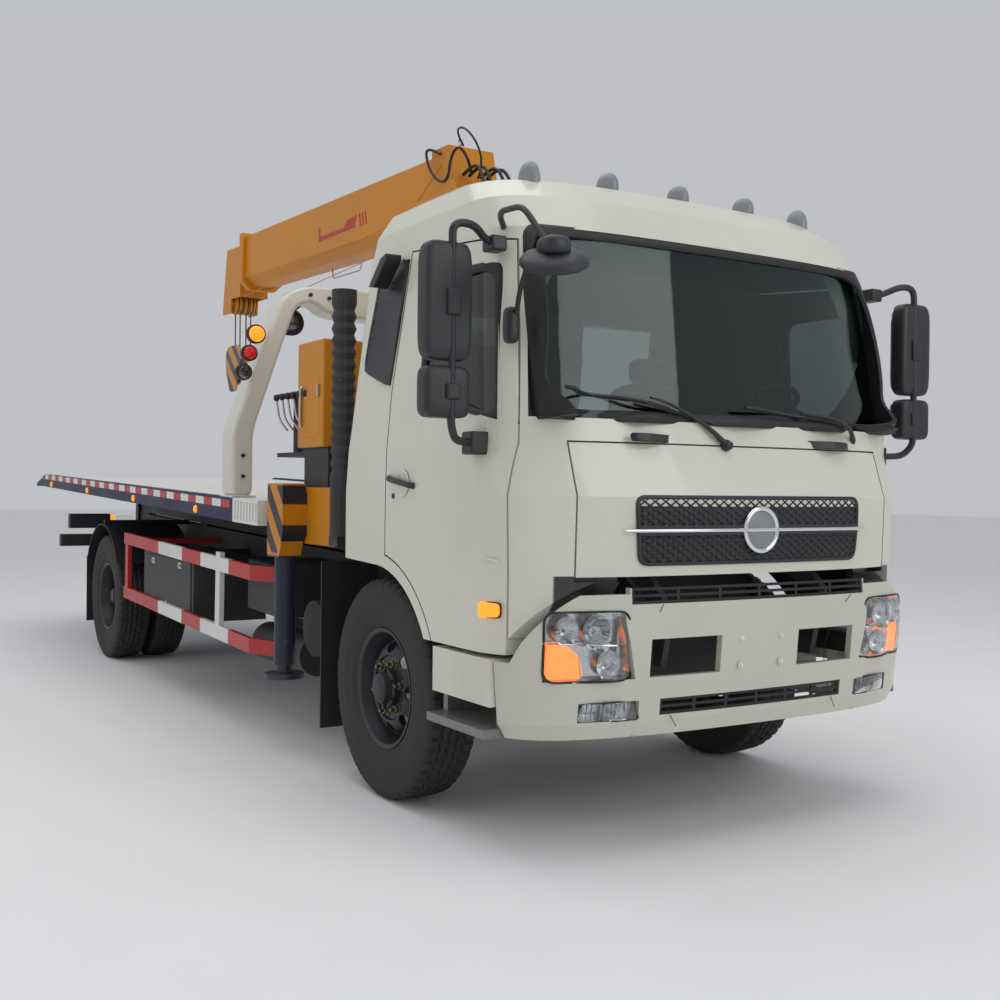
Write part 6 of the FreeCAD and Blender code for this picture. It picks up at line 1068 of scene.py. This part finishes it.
# Louvre panels behind the doors: saw-toothed slats in a raised border, in place of cab_trim
louvre = {"corners": ((0.195, 2.440), (-0.085, 2.440), (-0.185, 1.970), (0.100, 1.880)), "slats": 6}
acrossShare = np.linspace(0, 1, 14)[None, :, None]
upShare = np.linspace(0, 1, 97)[:, None, None]
frontHigh, backHigh, backLow, frontLow = (np.array(corner) for corner in louvre["corners"])
spots = ((frontLow * (1 - acrossShare) + backLow * acrossShare) * (1 - upShare)
         + (frontHigh * (1 - acrossShare) + backHigh * acrossShare) * upShare)
saw = (upShare[..., 0] * louvre["slats"]) % 1
edge = np.minimum(acrossShare[..., 0], 1 - acrossShare[..., 0]) * np.ones_like(upShare[..., 0])
lift = 0.0015 + 0.0045 * (1 - saw) * step01(edge / 0.08) + 0.002 * step01((0.06 - edge) / 0.03)
face = onSkin(flankSkin, spots[..., 0], spots[..., 1], lift, 1, 1)
rimLine = roundedOutline(louvre["corners"], 0.05, 8, 8)
centre = rimLine.mean(0)
away = (rimLine - centre) / np.linalg.norm(rimLine - centre, axis=1)[:, None]
border = bandOn(flankSkin, rimLine + away * 0.006, rimLine - away * 0.016,
                [(0, -0.003), (0, 0.004), (0.4, 0.0075), (1, 0.005), (1, -0.003)], 1, 1)
piece("louvrePanels", bothSides([sheetOf(face), border]), paint["softPlastic"], "cab",
      solid=False, sharp=50, stands=("cab_trim",))

# Wipers: tapered arms over blades, on turned pivots
wiper = {"pivots": ((-0.113, 1.612), (0.700, 1.626)), "arm": 0.0075, "blade": 0.006, "rubber": 0.0035}
armPath = (((-0.113, 1.612), (-0.17, 1.668), (-0.25, 1.722), (-0.40, 1.768), (-0.50, 1.787)),
           ((0.700, 1.626), (0.66, 1.664), (0.60, 1.705), (0.47, 1.748), (0.36, 1.762)))
bladePath = (((-0.15, 1.700), (-0.40, 1.757), (-0.66, 1.792), (-0.912, 1.812)),
             ((0.62, 1.715), (0.40, 1.748), (0.20, 1.766), (0.004, 1.772)))
shapes = []
for path in armPath:
    line = looseLine([(0, y, z) for y, z in path], 30)
    lift = np.interp(np.linspace(0, 1, len(line)), [0, 0.15, 0.8, 1], [0.012, 0.030, 0.030, 0.020])
    taper = np.interp(np.linspace(0, 1, len(line)), [0, 0.2, 1], [1.7, 1.25, 0.7])
    onScreen = onSkin(screenSkin, line[:, 1], line[:, 2], lift)
    shapes.append(tubeOf(onScreen, wiper["arm"] * taper, 10, flat=1.3))
for path in bladePath:
    line = looseLine([(0, y, z) for y, z in path], 30)
    shapes.append(tubeOf(onSkin(screenSkin, line[:, 1], line[:, 2], 0.010), wiper["blade"], 8))
    rubber = onSkin(screenSkin, line[:, 1], line[:, 2] - 0.006, 0.0)
    shapes.append(tubeOf(rubber, wiper["rubber"], 6))
for y, z in wiper["pivots"]:
    x = float(screenSkin(y, z))
    shapes.append(turnedOf([(-0.004, 0.026), (0.012, 0.024), (0.018, 0.019), (0.030, 0.017), (0.034, 0.010),
                            (0.034, 0.001)], (x, y, z), 0, 24))
piece("wipers", shapes, paint["softPlastic"], "cab")
stripSpans = ((-0.600, -0.236), (0.290, 0.640))
shapes = []
for near, far in stripSpans:
    outline = roundedOutline([(near, 1.616), (far, 1.612), (far, 1.642), (near, 1.648)], 0.014, 6, 6)
    shapes += slabOn(screenSkin, outline, -0.004, 0.006)
piece("washerStrips", shapes, paint["softPlastic"], "cab")

# Round look-down mirror on its arm, a dished shell facing down and back
dish = {"centre": (1.360, -1.065, 2.285), "radius": 0.128, "back": 0.42, "sideways": 0.30, "arm": 0.012,
        "brace": 0.010}
shell = [(0.0, 0.004), (0.004, 0.05), (0.012, 0.09), (0.026, 0.118), (0.042, dish["radius"]), (0.052, 0.127),
         (0.056, 0.120), (0.050, 0.112), (0.046, 0.004)]
body = turnedOf([(-h, r) for h, r in shell], dish["centre"], 2, 48)
body = rolledOf(body, "Y", dish["back"], np.array(dish["centre"]))
body = rolledOf(body, "X", dish["sideways"], np.array(dish["centre"]))
arm = bentPath([(0.905, -1.0, 2.455), (0.99, -1.075, 2.490), (1.20, -1.10, 2.47), (1.325, -1.075, 2.315),
                (1.350, -1.068, 2.29)], 0.06)
brace = bentPath([(1.055, -1.035, 2.06), (1.13, -1.065, 2.17), (1.285, -1.085, 2.36)], 0.05)
foot = pillow((1.015, -1.075, 1.98), (1.080, -1.025, 2.12), 4, 16, 20)
collar = pillow((1.295, -1.12, 2.255), (1.415, -1.01, 2.335), 3, 16, 20)
piece("roundMirror", [body, tubeOf(arm, dish["arm"], 12), tubeOf(brace, dish["brace"], 12), foot, collar],
      paint["softPlastic"], "cab")

# Door mirrors: housings on a bent tube, handles and side markers
mirrors = {"back": 0.94, "front": 1.03, "near": 1.205, "far": 1.405, "high": (1.902, 2.348),
           "low": (1.687, 1.883), "tube": 0.0155, "glassBack": 0.933, "glassFront": 0.945}
housings = [pillow((mirrors["back"], mirrors["near"], mirrors["high"][0]),
                   (mirrors["front"], mirrors["far"], mirrors["high"][1]), 6.5, 44, 60),
            pillow((mirrors["back"], mirrors["near"] + 0.005, mirrors["low"][0]),
                   (mirrors["front"], mirrors["far"], mirrors["low"][1]), 6.0, 36, 48)]
tubePath = bentPath([(0.952, 1.075, 2.375), (0.965, 1.12, 2.385), (1.012, 1.20, 2.425), (1.012, 1.29, 2.420),
                     (1.018, 1.292, 2.20), (1.018, 1.292, 1.66), (0.985, 1.255, 1.605), (0.94, 1.165, 1.602)],
                    0.06, 8)
clamp = [boxOf((0.975, 1.262, low), (1.042, 1.322, high)) for low, high in ((2.07, 2.17), (1.755, 1.815))]
feet = [boxOf((0.885, 1.085, 1.555), (0.965, 1.172, 1.645)),
        boxOf((0.905, 1.03, 2.345), (0.985, 1.10, 2.405))]
glass = [pillow((mirrors["glassBack"], mirrors["near"] + 0.014, 1.92),
                (mirrors["glassFront"], mirrors["far"] - 0.012, 2.335), 7, 24, 40),
         pillow((mirrors["glassBack"], mirrors["near"] + 0.016, 1.70),
                (mirrors["glassFront"], mirrors["far"] - 0.012, 1.87), 7, 20, 40)]
handleCup = turnedOf([(0.0, 0.058), (0.003, 0.060), (0.006, 0.052), (0.003, 0.044), (-0.002, 0.03),
                      (-0.003, 0.002)], (0.29, float(doorSkin(0.29, 1.445)), 1.445), 1, 40)
bar = looseLine([(0.155, 1.121, 1.466), (0.165, 1.134, 1.464), (0.22, 1.139, 1.458), (0.32, 1.139, 1.444),
                 (0.385, 1.136, 1.434), (0.395, 1.121, 1.432)], 30)
key = turnedOf([(-0.003, 0.012), (0.003, 0.012), (0.004, 0.009), (0.004, 0.001)],
               (0.198, float(doorSkin(0.198, 1.387)), 1.387), 1, 20)
sideLamp = roundedOutline([(0.943, 0.925), (1.052, 0.935), (1.052, 0.985), (0.943, 0.987)], 0.018, 6, 4)
lampSkin = skinThrough([("door_left", 0, np.linspace(0.6, 1.05, 12), np.linspace(0.82, 1.1, 9))], 1, 1,
                       allPowers(2, 2), (1.0, 1.0, 0.95))
outward = np.sign(sideLamp - sideLamp.mean(0))
rimSide = bandOn(lampSkin, sideLamp + outward * 0.004, sideLamp - outward * 0.002,
                 [(0, -0.002), (0, 0.005), (1, 0.005), (1, -0.002)], 1, 1)


def onSide(shapes, side):
    # Shapes made for the left side, or their mirror images
    return shapes if side == 1 else [mirrorOf(shape) for shape in shapes]


for side, word in ((1, "left"), (-1, "right")):
    label, body = word.capitalize(), "door_" + word
    piece("mirror" + label, onSide(housings, side), paint["softPlastic"], body,
          stands=("mirrors_" + word,))
    piece("mirrorTube" + label, onSide([tubeOf(tubePath, mirrors["tube"], 14)], side), paint["softPlastic"],
          body)
    piece("mirrorFeet" + label, onSide(clamp + feet, side), paint["softPlastic"], body,
          bevel=0.009, bevelSteps=3)
    piece("mirrorGlass" + label, onSide(glass, side), paint["chrome"], body)
    piece("handleCup" + label, onSide([handleCup], side), paint["cab_paint"], body)
    piece("handle" + label, onSide([tubeOf(bar, 0.014, 12, flat=0.7), key], side), paint["softPlastic"], body)
    piece("doorMarker" + label, onSide(slabOn(lampSkin, sideLamp, -0.002, 0.014, 1, 1), side),
          paint["amber_lens"], body)
    piece("doorMarkerRim" + label, onSide([rimSide], side), paint["rubber"], body)
print("mirrors and door fittings made")

# Cab inside: dash, seats, column
seat = {"y": 0.52, "half": 0.25, "front": 0.42, "back": -0.13, "low": 1.40, "high": 1.56, "channel": 0.006}


def cushionOf(low, high, crown, channels, axis):
    # A pillow whose face is crowned, with sewn channels across one axis
    points, faces = pillow(low, high, 5.0, 40, 56)
    low, high = np.array(low), np.array(high)
    middle, half = (low + high) / 2, (high - low) / 2
    share = (points - middle) / half
    other = [k for k in range(3) if k != axis]
    dome = (1 - share[:, other[0]] ** 2) * (1 - share[:, other[1]] ** 2)
    points[:, axis] += np.sign(share[:, axis]) * dome * crown
    groove = step01(1 - np.abs(((share[:, 1] + 1) * channels / 2) % 1 - 0.5) / 0.05)
    points[:, axis] -= np.sign(share[:, axis]) * groove * seat["channel"]
    return points, faces


dashProfile = [(1.085, 1.42), (1.085, 1.66), (1.02, 1.685), (0.93, 1.688), (0.86, 1.672), (0.815, 1.64),
               (0.80, 1.58), (0.83, 1.50), (0.86, 1.44), (0.87, 1.42)]
dash = prismOf(roundedOutline(dashProfile, 0.03, 4, 1), -0.80, 0.80, 1)
hood = pillow((0.80, 0.34, 1.62), (1.00, 0.72, 1.735), 3.2, 24, 32)
ventLine = roundedOutline([(0.802, 1.585), (0.812, 1.585), (0.812, 1.635), (0.802, 1.635)], 0.003, 3, 1)
vents = [prismOf(ventLine, y - 0.06, y + 0.06, 1) for y in (-0.7, -0.12, 0.12)]
column = tubeOf([(0.86, 0.52, 1.60), (0.70, 0.52, 1.785)], [0.05, 0.04], 16)
stalk = tubeOf([(0.76, 0.52, 1.72), (0.74, 0.40, 1.76), (0.73, 0.33, 1.775)], 0.008, 8)
piece("dash", [dash, hood, column, stalk] + vents, paint["trim"], "cab",
      stands=("cab_interior",), sharp=30)
for side, word in ((1, "Left"), (-1, "Right")):
    y = side * seat["y"]
    base = cushionOf((seat["back"], y - seat["half"], seat["low"]),
                     (seat["front"], y + seat["half"], seat["high"]), 0.015, 3, 2)
    back = cushionOf((-0.075, y - seat["half"], 1.50), (0.065, y + seat["half"], 1.98), 0.012, 3, 0)
    lean = rolledOf(back, "Y", -0.16, np.array((-0.03, y, 1.50)))
    head = cushionOf((-0.10, y - 0.13, 1.985), (-0.005, y + 0.13, 2.115), 0.008, 1, 0)
    head = rolledOf(head, "Y", -0.06, np.array((-0.06, y, 2.0)))
    made = piece("seat" + word, [base, lean, head], paint["seat_cloth"], "cab",
                 stands=("cab_interior",))
    base = boxOf((seat["back"] + 0.05, y - 0.19, 1.145), (seat["front"] - 0.08, y + 0.19, seat["low"] + 0.01))
    piece("seatBase" + word, [base], paint["trim"], "cab", bevel=0.02)
print("cab inside made")

# Bed: edge tape, marker lamps, tail lamps
bed = {"front": -1.76, "tail": -7.22, "blocks": 34, "tape": 0.046, "topZ": 1.339, "topX": -1.675,
       "rise": 0.0317, "half": 1.200, "proud": 0.0012, "markers": (-2.4, -3.9, -5.4, -6.9),
       "markerDrop": 0.085}


def bedTop(x):
    # Height of the bed side's top edge, which rises to the rear
    return bed["topZ"] + bed["rise"] * (bed["topX"] - x)


edges = np.linspace(bed["front"], bed["tail"], bed["blocks"] + 1)
tapes = ([], [])
for number, (start, end) in enumerate(zip(edges, edges[1:])):
    outline = [(start, bedTop(start) - bed["tape"]), (start, bedTop(start) - 0.001),
               (end, bedTop(end) - 0.001), (end, bedTop(end) - bed["tape"])]
    tapes[number % 2].append(prismOf(outline, bed["half"] - 0.001, bed["half"] + bed["proud"], 1))
piece("bedTapeRed", bothSides(tapes[0]), paint["red"], "bed")
piece("bedTapeWhite", bothSides(tapes[1]), paint["white"], "bed")
markers = []
for x in bed["markers"]:
    z = bedTop(x) - bed["markerDrop"]
    markers.append(turnedOf([(0, 0.024), (0.006, 0.024), (0.012, 0.018), (0.014, 0.002)],
                            (x, bed["half"], z), 1, 24))
piece("bedMarkers", bothSides(markers), paint["amber_lens"], "bed")
strips = [prismOf([(x, bedTop(x) - 0.002), (x - 0.02, bedTop(x) - 0.002), (x - 0.05, bedTop(x) - 0.05),
                   (x - 0.03, bedTop(x) - 0.05)], bed["half"] + 0.001, bed["half"] + 0.0022, 1)
          for x in (-7.28, -7.33, -7.38)]
piece("bedHatch", bothSides(strips), paint["white"], "bed")
rearLens = {"rear": -6.553, "thick": 0.02, "low": 1.034, "high": 1.130}
for word, near, far, look in (("Red", 0.86, 1.06, "redLens"), ("Amber", 0.70, 0.84, "amber_lens"),
                              ("Clear", 0.52, 0.68, "lamp_glass")):
    outline = roundedOutline([(near, rearLens["low"]), (far, rearLens["low"]), (far, rearLens["high"]),
                              (near, rearLens["high"])], 0.012, 4, 2)
    lens = prismOf(outline, rearLens["rear"], rearLens["rear"] + rearLens["thick"], 0)
    piece("tailLamp" + word, bothSides([lens]), paint[look], "chassis",
          bevel=0.004)
print("bed made")

# Arch: legs lean in above the knee, round shoulders, and a bar with a waved underside
arch = {"back": -1.935, "front": -1.745, "round": 0.075, "bolts": ((1.13, 1.60), (1.13, 1.48), (0.60, 2.56),
                                                                   (0.72, 2.57)), "work": (-1.80, 0.83, 2.40)}
outer = [(1.195, 1.357), (1.195, 1.75), (0.965, 2.36), (0.88, 2.56), (0.74, 2.625)]
inner = [(0.50, 2.452), (0.60, 2.462), (0.70, 2.53), (0.80, 2.50), (0.875, 2.30), (1.065, 1.74),
         (1.065, 1.357)]
corners = outer + [(-y, z) for y, z in outer[::-1]] + [(-y, z) for y, z in inner[::-1]] + inner
outline = roundedOutline(corners, arch["round"], 7, 1)
piece("archBody", [prismOf(outline, arch["back"], arch["front"], 0)], paint["cab_paint"], "bed",
      bevel=0.022, bevelSteps=4, stands=("arch",))
feet = [boxOf((arch["back"] - 0.01, 1.05, 1.345), (arch["front"] + 0.01, 1.198, 1.369))]
piece("archFeet", bothSides(feet), paint["cab_paint"], "bed", bevel=0.004)
bolts = [turnedOf([(0, 0.012), (0.010, 0.012), (0.012, 0.008), (0.012, 0.001)], (arch["front"] + 0.004, y, z),
                  0, 6) for y, z in arch["bolts"]]
piece("archBolts", bothSides(bolts), paint["rubber"], "bed")
archLamps = (("Amber", 1.060, 2.309, "amber_lens", 0.050), ("Red", 1.100, 2.196, "redLens", 0.042),
             ("Clear", 1.132, 2.084, "lamp_glass", 0.042))
for word, y, z, look, size in archLamps:
    base = turnedOf([(-0.006, size + 0.006), (0.022, size + 0.006), (0.026, size - 0.002),
                     (0.020, size - 0.006), (0.018, 0.002)], (arch["front"], y, z), 0, 36)
    lens = turnedOf([(0.020, size - 0.003), (0.036, size - 0.006), (0.052, size * 0.72), (0.060, size * 0.36),
                     (0.062, 0.002)], (arch["front"], y, z), 0, 36)
    piece("archLampBase" + word, bothSides([base]), paint["rubber"], "bed")
    piece("archLamp" + word, bothSides([lens]), paint[look], "bed")
house = turnedOf([(-0.075, 0.02), (-0.07, 0.045), (-0.03, 0.072), (0.02, 0.078), (0.034, 0.080),
                  (0.036, 0.070), (0.022, 0.066), (0.016, 0.002)], arch["work"], 0, 40)
arm = tubeOf(bentPath([(-1.80, 0.83, 2.47), (-1.80, 0.83, 2.53)], 0.01), 0.012, 10)
lead = tubeOf(looseLine([(-1.875, 0.83, 2.40), (-1.92, 0.82, 2.42), (-1.915, 0.76, 2.49),
                         (-1.89, 0.70, 2.54)], 18), 0.005, 8)
piece("archWorkLamps", bothSides([house, arm, lead]), paint["rubber"], "bed")
workGlass = turnedOf([(0.020, 0.067), (0.028, 0.05), (0.031, 0.002)], arch["work"], 0, 40)
piece("archWorkGlass", bothSides([workGlass]), paint["lamp_glass"], "bed")
print("arch made")

# Side: toolbox door with latches, and the fuel tank's straps and cap
box = {"back": -3.86, "front": -2.75, "low": 0.565, "high": 0.925, "face": 1.118,
       "latches": ((-3.62, 0.885), (-2.98, 0.885), (-3.30, 0.60))}
outline = roundedOutline([(box["back"], box["low"]), (box["front"], box["low"]), (box["front"], box["high"]),
                          (box["back"], box["high"])], 0.02, 5, 2)
piece("toolDoor", [prismOf(outline, -box["face"] - 0.008, -box["face"] + 0.002, 1)], paint["frame_paint"],
      "chassis", bevel=0.003)
latches = []
for x, z in box["latches"]:
    plate = roundedOutline([(x - 0.035, z - 0.022), (x + 0.035, z - 0.022), (x + 0.035, z + 0.022),
                            (x - 0.035, z + 0.022)], 0.01, 4, 1)
    latches.append(prismOf(plate, -box["face"] - 0.012, -box["face"] - 0.006, 1))
    latches.append(tubeOf([(x - 0.02, -box["face"] - 0.016, z), (x + 0.024, -box["face"] - 0.018, z)],
                          0.006, 8))
piece("toolLatches", latches, paint["steel"], "chassis", bevel=0.001)
strap = {"x": (-3.72, -3.16), "wide": 0.025}
fuel = [[float(c) for c in corner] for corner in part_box("fuel_tank")]
strapNear, strapFar = fuel[0][1] + 0.002, fuel[1][1] + 0.004
strapLow, strapHigh = fuel[0][2] - 0.002, fuel[1][2] + 0.003
straps = []
for x in strap["x"]:
    ring = roundedOutline([(strapNear, strapLow), (strapFar, strapLow), (strapFar, strapHigh),
                           (strapNear, strapHigh)], 0.10, 8, 2)
    middle = ring.mean(0)
    away = (ring - middle) / np.linalg.norm(ring - middle, axis=1)[:, None]
    grid = np.stack([np.column_stack([np.full(len(ring), x + step), ring + away * lift])
                     for step, lift in ((-strap["wide"], -0.004), (-strap["wide"], 0.001),
                                        (strap["wide"], 0.001), (strap["wide"], -0.004))])
    straps.append(sheetOf(grid, closeRows=True, closeColumns=True))
capAt = (-3.05, fuel[1][1] - 0.13, fuel[1][2])
straps.append(turnedOf([(-0.01, 0.05), (0.014, 0.05), (0.016, 0.058), (0.04, 0.056), (0.044, 0.045),
                        (0.045, 0.002)], capAt, 2, 28))
piece("tankStraps", straps, paint["steel"], "chassis")
print("side fittings made")

# Crane: oil tank, levers, boom marks, sheaves, ropes, hook, hoses
tank = {"low": (-1.188, -1.018, 1.632), "high": (-0.837, -0.792, 2.198)}
body = boxOf(tank["low"], tank["high"])
panel = prismOf(roundedOutline([(-1.150, 1.68), (-0.875, 1.68), (-0.875, 2.15), (-1.150, 2.15)], 0.04, 6, 2),
                tank["low"][1] - 0.002, tank["low"][1] + 0.02, 1)
lid = turnedOf([(-0.004, 0.038), (0.012, 0.038), (0.016, 0.030), (0.017, 0.002)],
               (-1.0, -0.905, tank["high"][2]), 2, 28)
piece("oilTankBody", [body, panel], paint["crane_paint"], "chassis", bevel=0.022, bevelSteps=4,
      stands=("oil_tank",))
gauge = tubeOf(bentPath([(-1.118, -1.018, 1.74), (-1.118, -1.030, 1.75), (-1.118, -1.030, 1.95),
                         (-1.118, -1.018, 1.96)], 0.01), 0.008, 10)
latch = boxOf((-0.905, -1.030, 1.90), (-0.880, -1.016, 1.96))
piece("oilTankFittings", [lid, gauge, latch], paint["steel"], "chassis")
valve = {"levers": 6, "first": -1.50, "pitch": 0.085, "knob": 0.017}
levers, knobs = [], []
for number in range(valve["levers"]):
    x = valve["first"] + valve["pitch"] * number
    levers.append(tubeOf(bentPath([(x, -0.95, 1.74), (x, -1.00, 1.80), (x, -1.02, 1.92)], 0.03), 0.006, 8))
    knobs.append(pillow((x - valve["knob"], -1.037, 1.905), (x + valve["knob"], -1.003, 1.945), 2.2, 10, 14))
piece("valveLevers", levers, paint["steel"], "chassis")
piece("valveKnobs", knobs, paint["rubber"], "chassis")
boomSide = 0.150  # half width of the boom's base
stripe = [(-2.985, 3.262), (-2.957, 3.262), (-2.957, 3.196), (-2.545, 3.188), (-2.498, 3.228),
          (-2.342, 3.238), (-2.374, 3.160), (-2.985, 3.166)]
slashes = [[(-2.312 + step, 3.236), (-2.292 + step, 3.237), (-2.268 + step, 3.150), (-2.288 + step, 3.149)]
           for step in (0, 0.045, 0.090)]
marks = [prismOf(outline, boomSide - 0.001, boomSide + 0.0012, 1) for outline in [stripe] + slashes]
piece("boomStripes", bothSides(marks), paint["red"], "boom")
seam = [tubeOf([(-1.166, boomSide, 3.304), (-1.469, boomSide, 3.151)], 0.004, 8),
        tubeOf([(-4.55, boomSide, 2.985), (-1.55, boomSide, 3.085)], 0.003, 8)]
piece("boomSeams", bothSides(seam), paint["crane_paint"], "boom")
guide = [tubeOf(bentPath([(-3.201, 0.05, 3.042), (-3.178, 0.05, 2.955), (-2.709, 0.05, 2.945),
                          (-2.673, 0.05, 3.03)], 0.02), 0.005, 8)]
piece("ropeGuide", guide, paint["steel"], "boom")
sheave = {"x": -4.996, "z": 2.989, "rows": (-0.047, 0.0, 0.047), "pinHalf": 0.118, "pin": 0.024}
wheelProfile = [(-0.020, 0.02), (-0.020, 0.0905), (-0.014, 0.0905), (-0.006, 0.084), (0.006, 0.084),
                (0.014, 0.0905), (0.020, 0.0905), (0.020, 0.02)]
headWheels = [turnedOf(wheelProfile, (sheave["x"], y, sheave["z"]), 1, 40) for y in sheave["rows"]]
headPin = rodOf((sheave["x"], -sheave["pinHalf"], sheave["z"]), (sheave["x"], sheave["pinHalf"], sheave["z"]),
                sheave["pin"], 20)
piece("headSheaves", headWheels + [headPin], paint["rubber"], "boom_section_three")
hook = {"x": -4.996, "top": 2.630, "low": 2.235, "half": 0.196, "side": 0.088, "cheek": 0.012, "ropeX": 0.060,
        "ropeY": 0.047, "ropeLow": 2.54, "ropeTop": 2.918, "rope": 0.006, "bowl": 0.062, "bowlZ": 2.139}
shares = ((-0.6, 1.0), (-0.9, 0.9), (-1.0, 0.7), (-0.9, 0.45), (-0.4, 0.0), (0.4, 0.0), (0.9, 0.45),
          (1.0, 0.7), (0.9, 0.9), (0.6, 1.0))
cheek = roundedOutline([(hook["x"] + out * hook["half"], hook["low"] + up * (hook["top"] - hook["low"]))
                        for out, up in shares], 0.03, 5, 1)
plates = [prismOf(cheek, -hook["side"], -hook["side"] + hook["cheek"], 1),
          prismOf(cheek, hook["side"] - hook["cheek"], hook["side"], 1)]
core = prismOf(roundedOutline([(hook["x"] - 0.15, 2.30), (hook["x"] + 0.15, 2.30), (hook["x"] + 0.15, 2.56),
                               (hook["x"] - 0.15, 2.56)], 0.06, 6, 1), -0.074, 0.074, 1)
piece("hookCheeks", plates + [core], paint["hook"], "hook", bevel=0.003,
      stands=("hook_block",))
turning = np.linspace(0.62 * math.pi, -1.02 * math.pi, 40)
bowl = np.column_stack([hook["x"] + hook["bowl"] * np.cos(turning), 0 * turning,
                        hook["bowlZ"] + hook["bowl"] * np.sin(turning)])
thick = np.interp(np.arange(40), [0, 8, 22, 34, 39], [0.016, 0.018, 0.0165, 0.012, 0.007])
piece("hookBend", [tubeOf(bowl, thick, 16), tubeOf([(hook["x"], 0, 2.29), (hook["x"], 0, 2.20)], 0.018, 20)],
      paint["frame_paint"], "hook")
falls = [rodOf((x, y, hook["ropeLow"]), (x, y, hook["ropeTop"]), hook["rope"], 8)
         for x in (hook["x"] - hook["ropeX"], hook["x"] + hook["ropeX"])
         for y in (-hook["ropeY"], hook["ropeY"])]
piece("hookRopes", falls, paint["cable"], "hook")
eyeRing = [(0.006 * math.cos(a), 0.022 + 0.006 * math.sin(a))
           for a in np.linspace(0, 2 * math.pi, 12, endpoint=False)]
piece("boomEye", [turnedOf(eyeRing, (-1.215, 0.0, 3.471), 1, 28, closed=True)], paint["steel"], "boom")
sideHose = [(-1.16, -0.165, 3.36), (-1.30, -0.185, 3.44), (-1.28, -0.19, 3.33), (-1.16, -0.19, 3.20),
            (-1.03, -0.185, 3.17), (-1.00, -0.185, 3.31), (-0.93, -0.17, 3.36), (-0.90, -0.12, 3.27),
            (-0.98, -0.06, 3.22)]
topHose = [(-1.18, 0.0, 3.44), (-1.10, -0.10, 3.49), (-0.96, -0.13, 3.48), (-0.86, -0.10, 3.38),
           (-0.88, -0.04, 3.26), (-0.97, -0.02, 3.20)]
hoses = [tubeOf(looseLine(sideHose, 70), 0.008, 10), tubeOf(looseLine(topHose, 50), 0.006, 10)]
for y in (-0.09, -0.05, 0.03, 0.07):
    rootHose = [(-1.02, y, 3.22), (-0.90, y, 3.26), (-0.80, y * 1.1, 3.20), (-0.74, y * 1.2, 3.05),
                (-0.78, y * 1.2, 2.96), (-0.86, y, 2.93)]
    hoses.append(tubeOf(looseLine(rootHose, 40), 0.010, 10))
piece("boomHoses", hoses, paint["rubber"], "boom")
print("crane fittings made")

# Cab: swage line along the doors and the vane beside each louvre
swageX = np.linspace(0.17, 1.055, 40)
swageZ = np.interp(swageX, [0.158, 0.30, 0.674, 1.092], [1.212, 1.200, 1.181, 1.145])
swage = tubeOf(onSkin(doorSkin, swageX, swageZ, -0.0025, 1, 1), 0.0055, 10)
for word, shapes in (("Left", [swage]), ("Right", [mirrorOf(swage)])):
    piece("doorSwage" + word, shapes, paint["cab_paint"], "door_" + word.lower())
vaneLine = [(-0.02, 2.335), (0.10, 2.445), (0.16, 2.462), (0.16, 2.435), (0.03, 2.325)]
vane = prismOf(roundedOutline(vaneLine, 0.008, 3, 1), 1.072, 1.150, 1)
piece("sideVanes", bothSides([vane]), paint["softPlastic"], "cab", bevel=0.004)
print("cab fittings made")
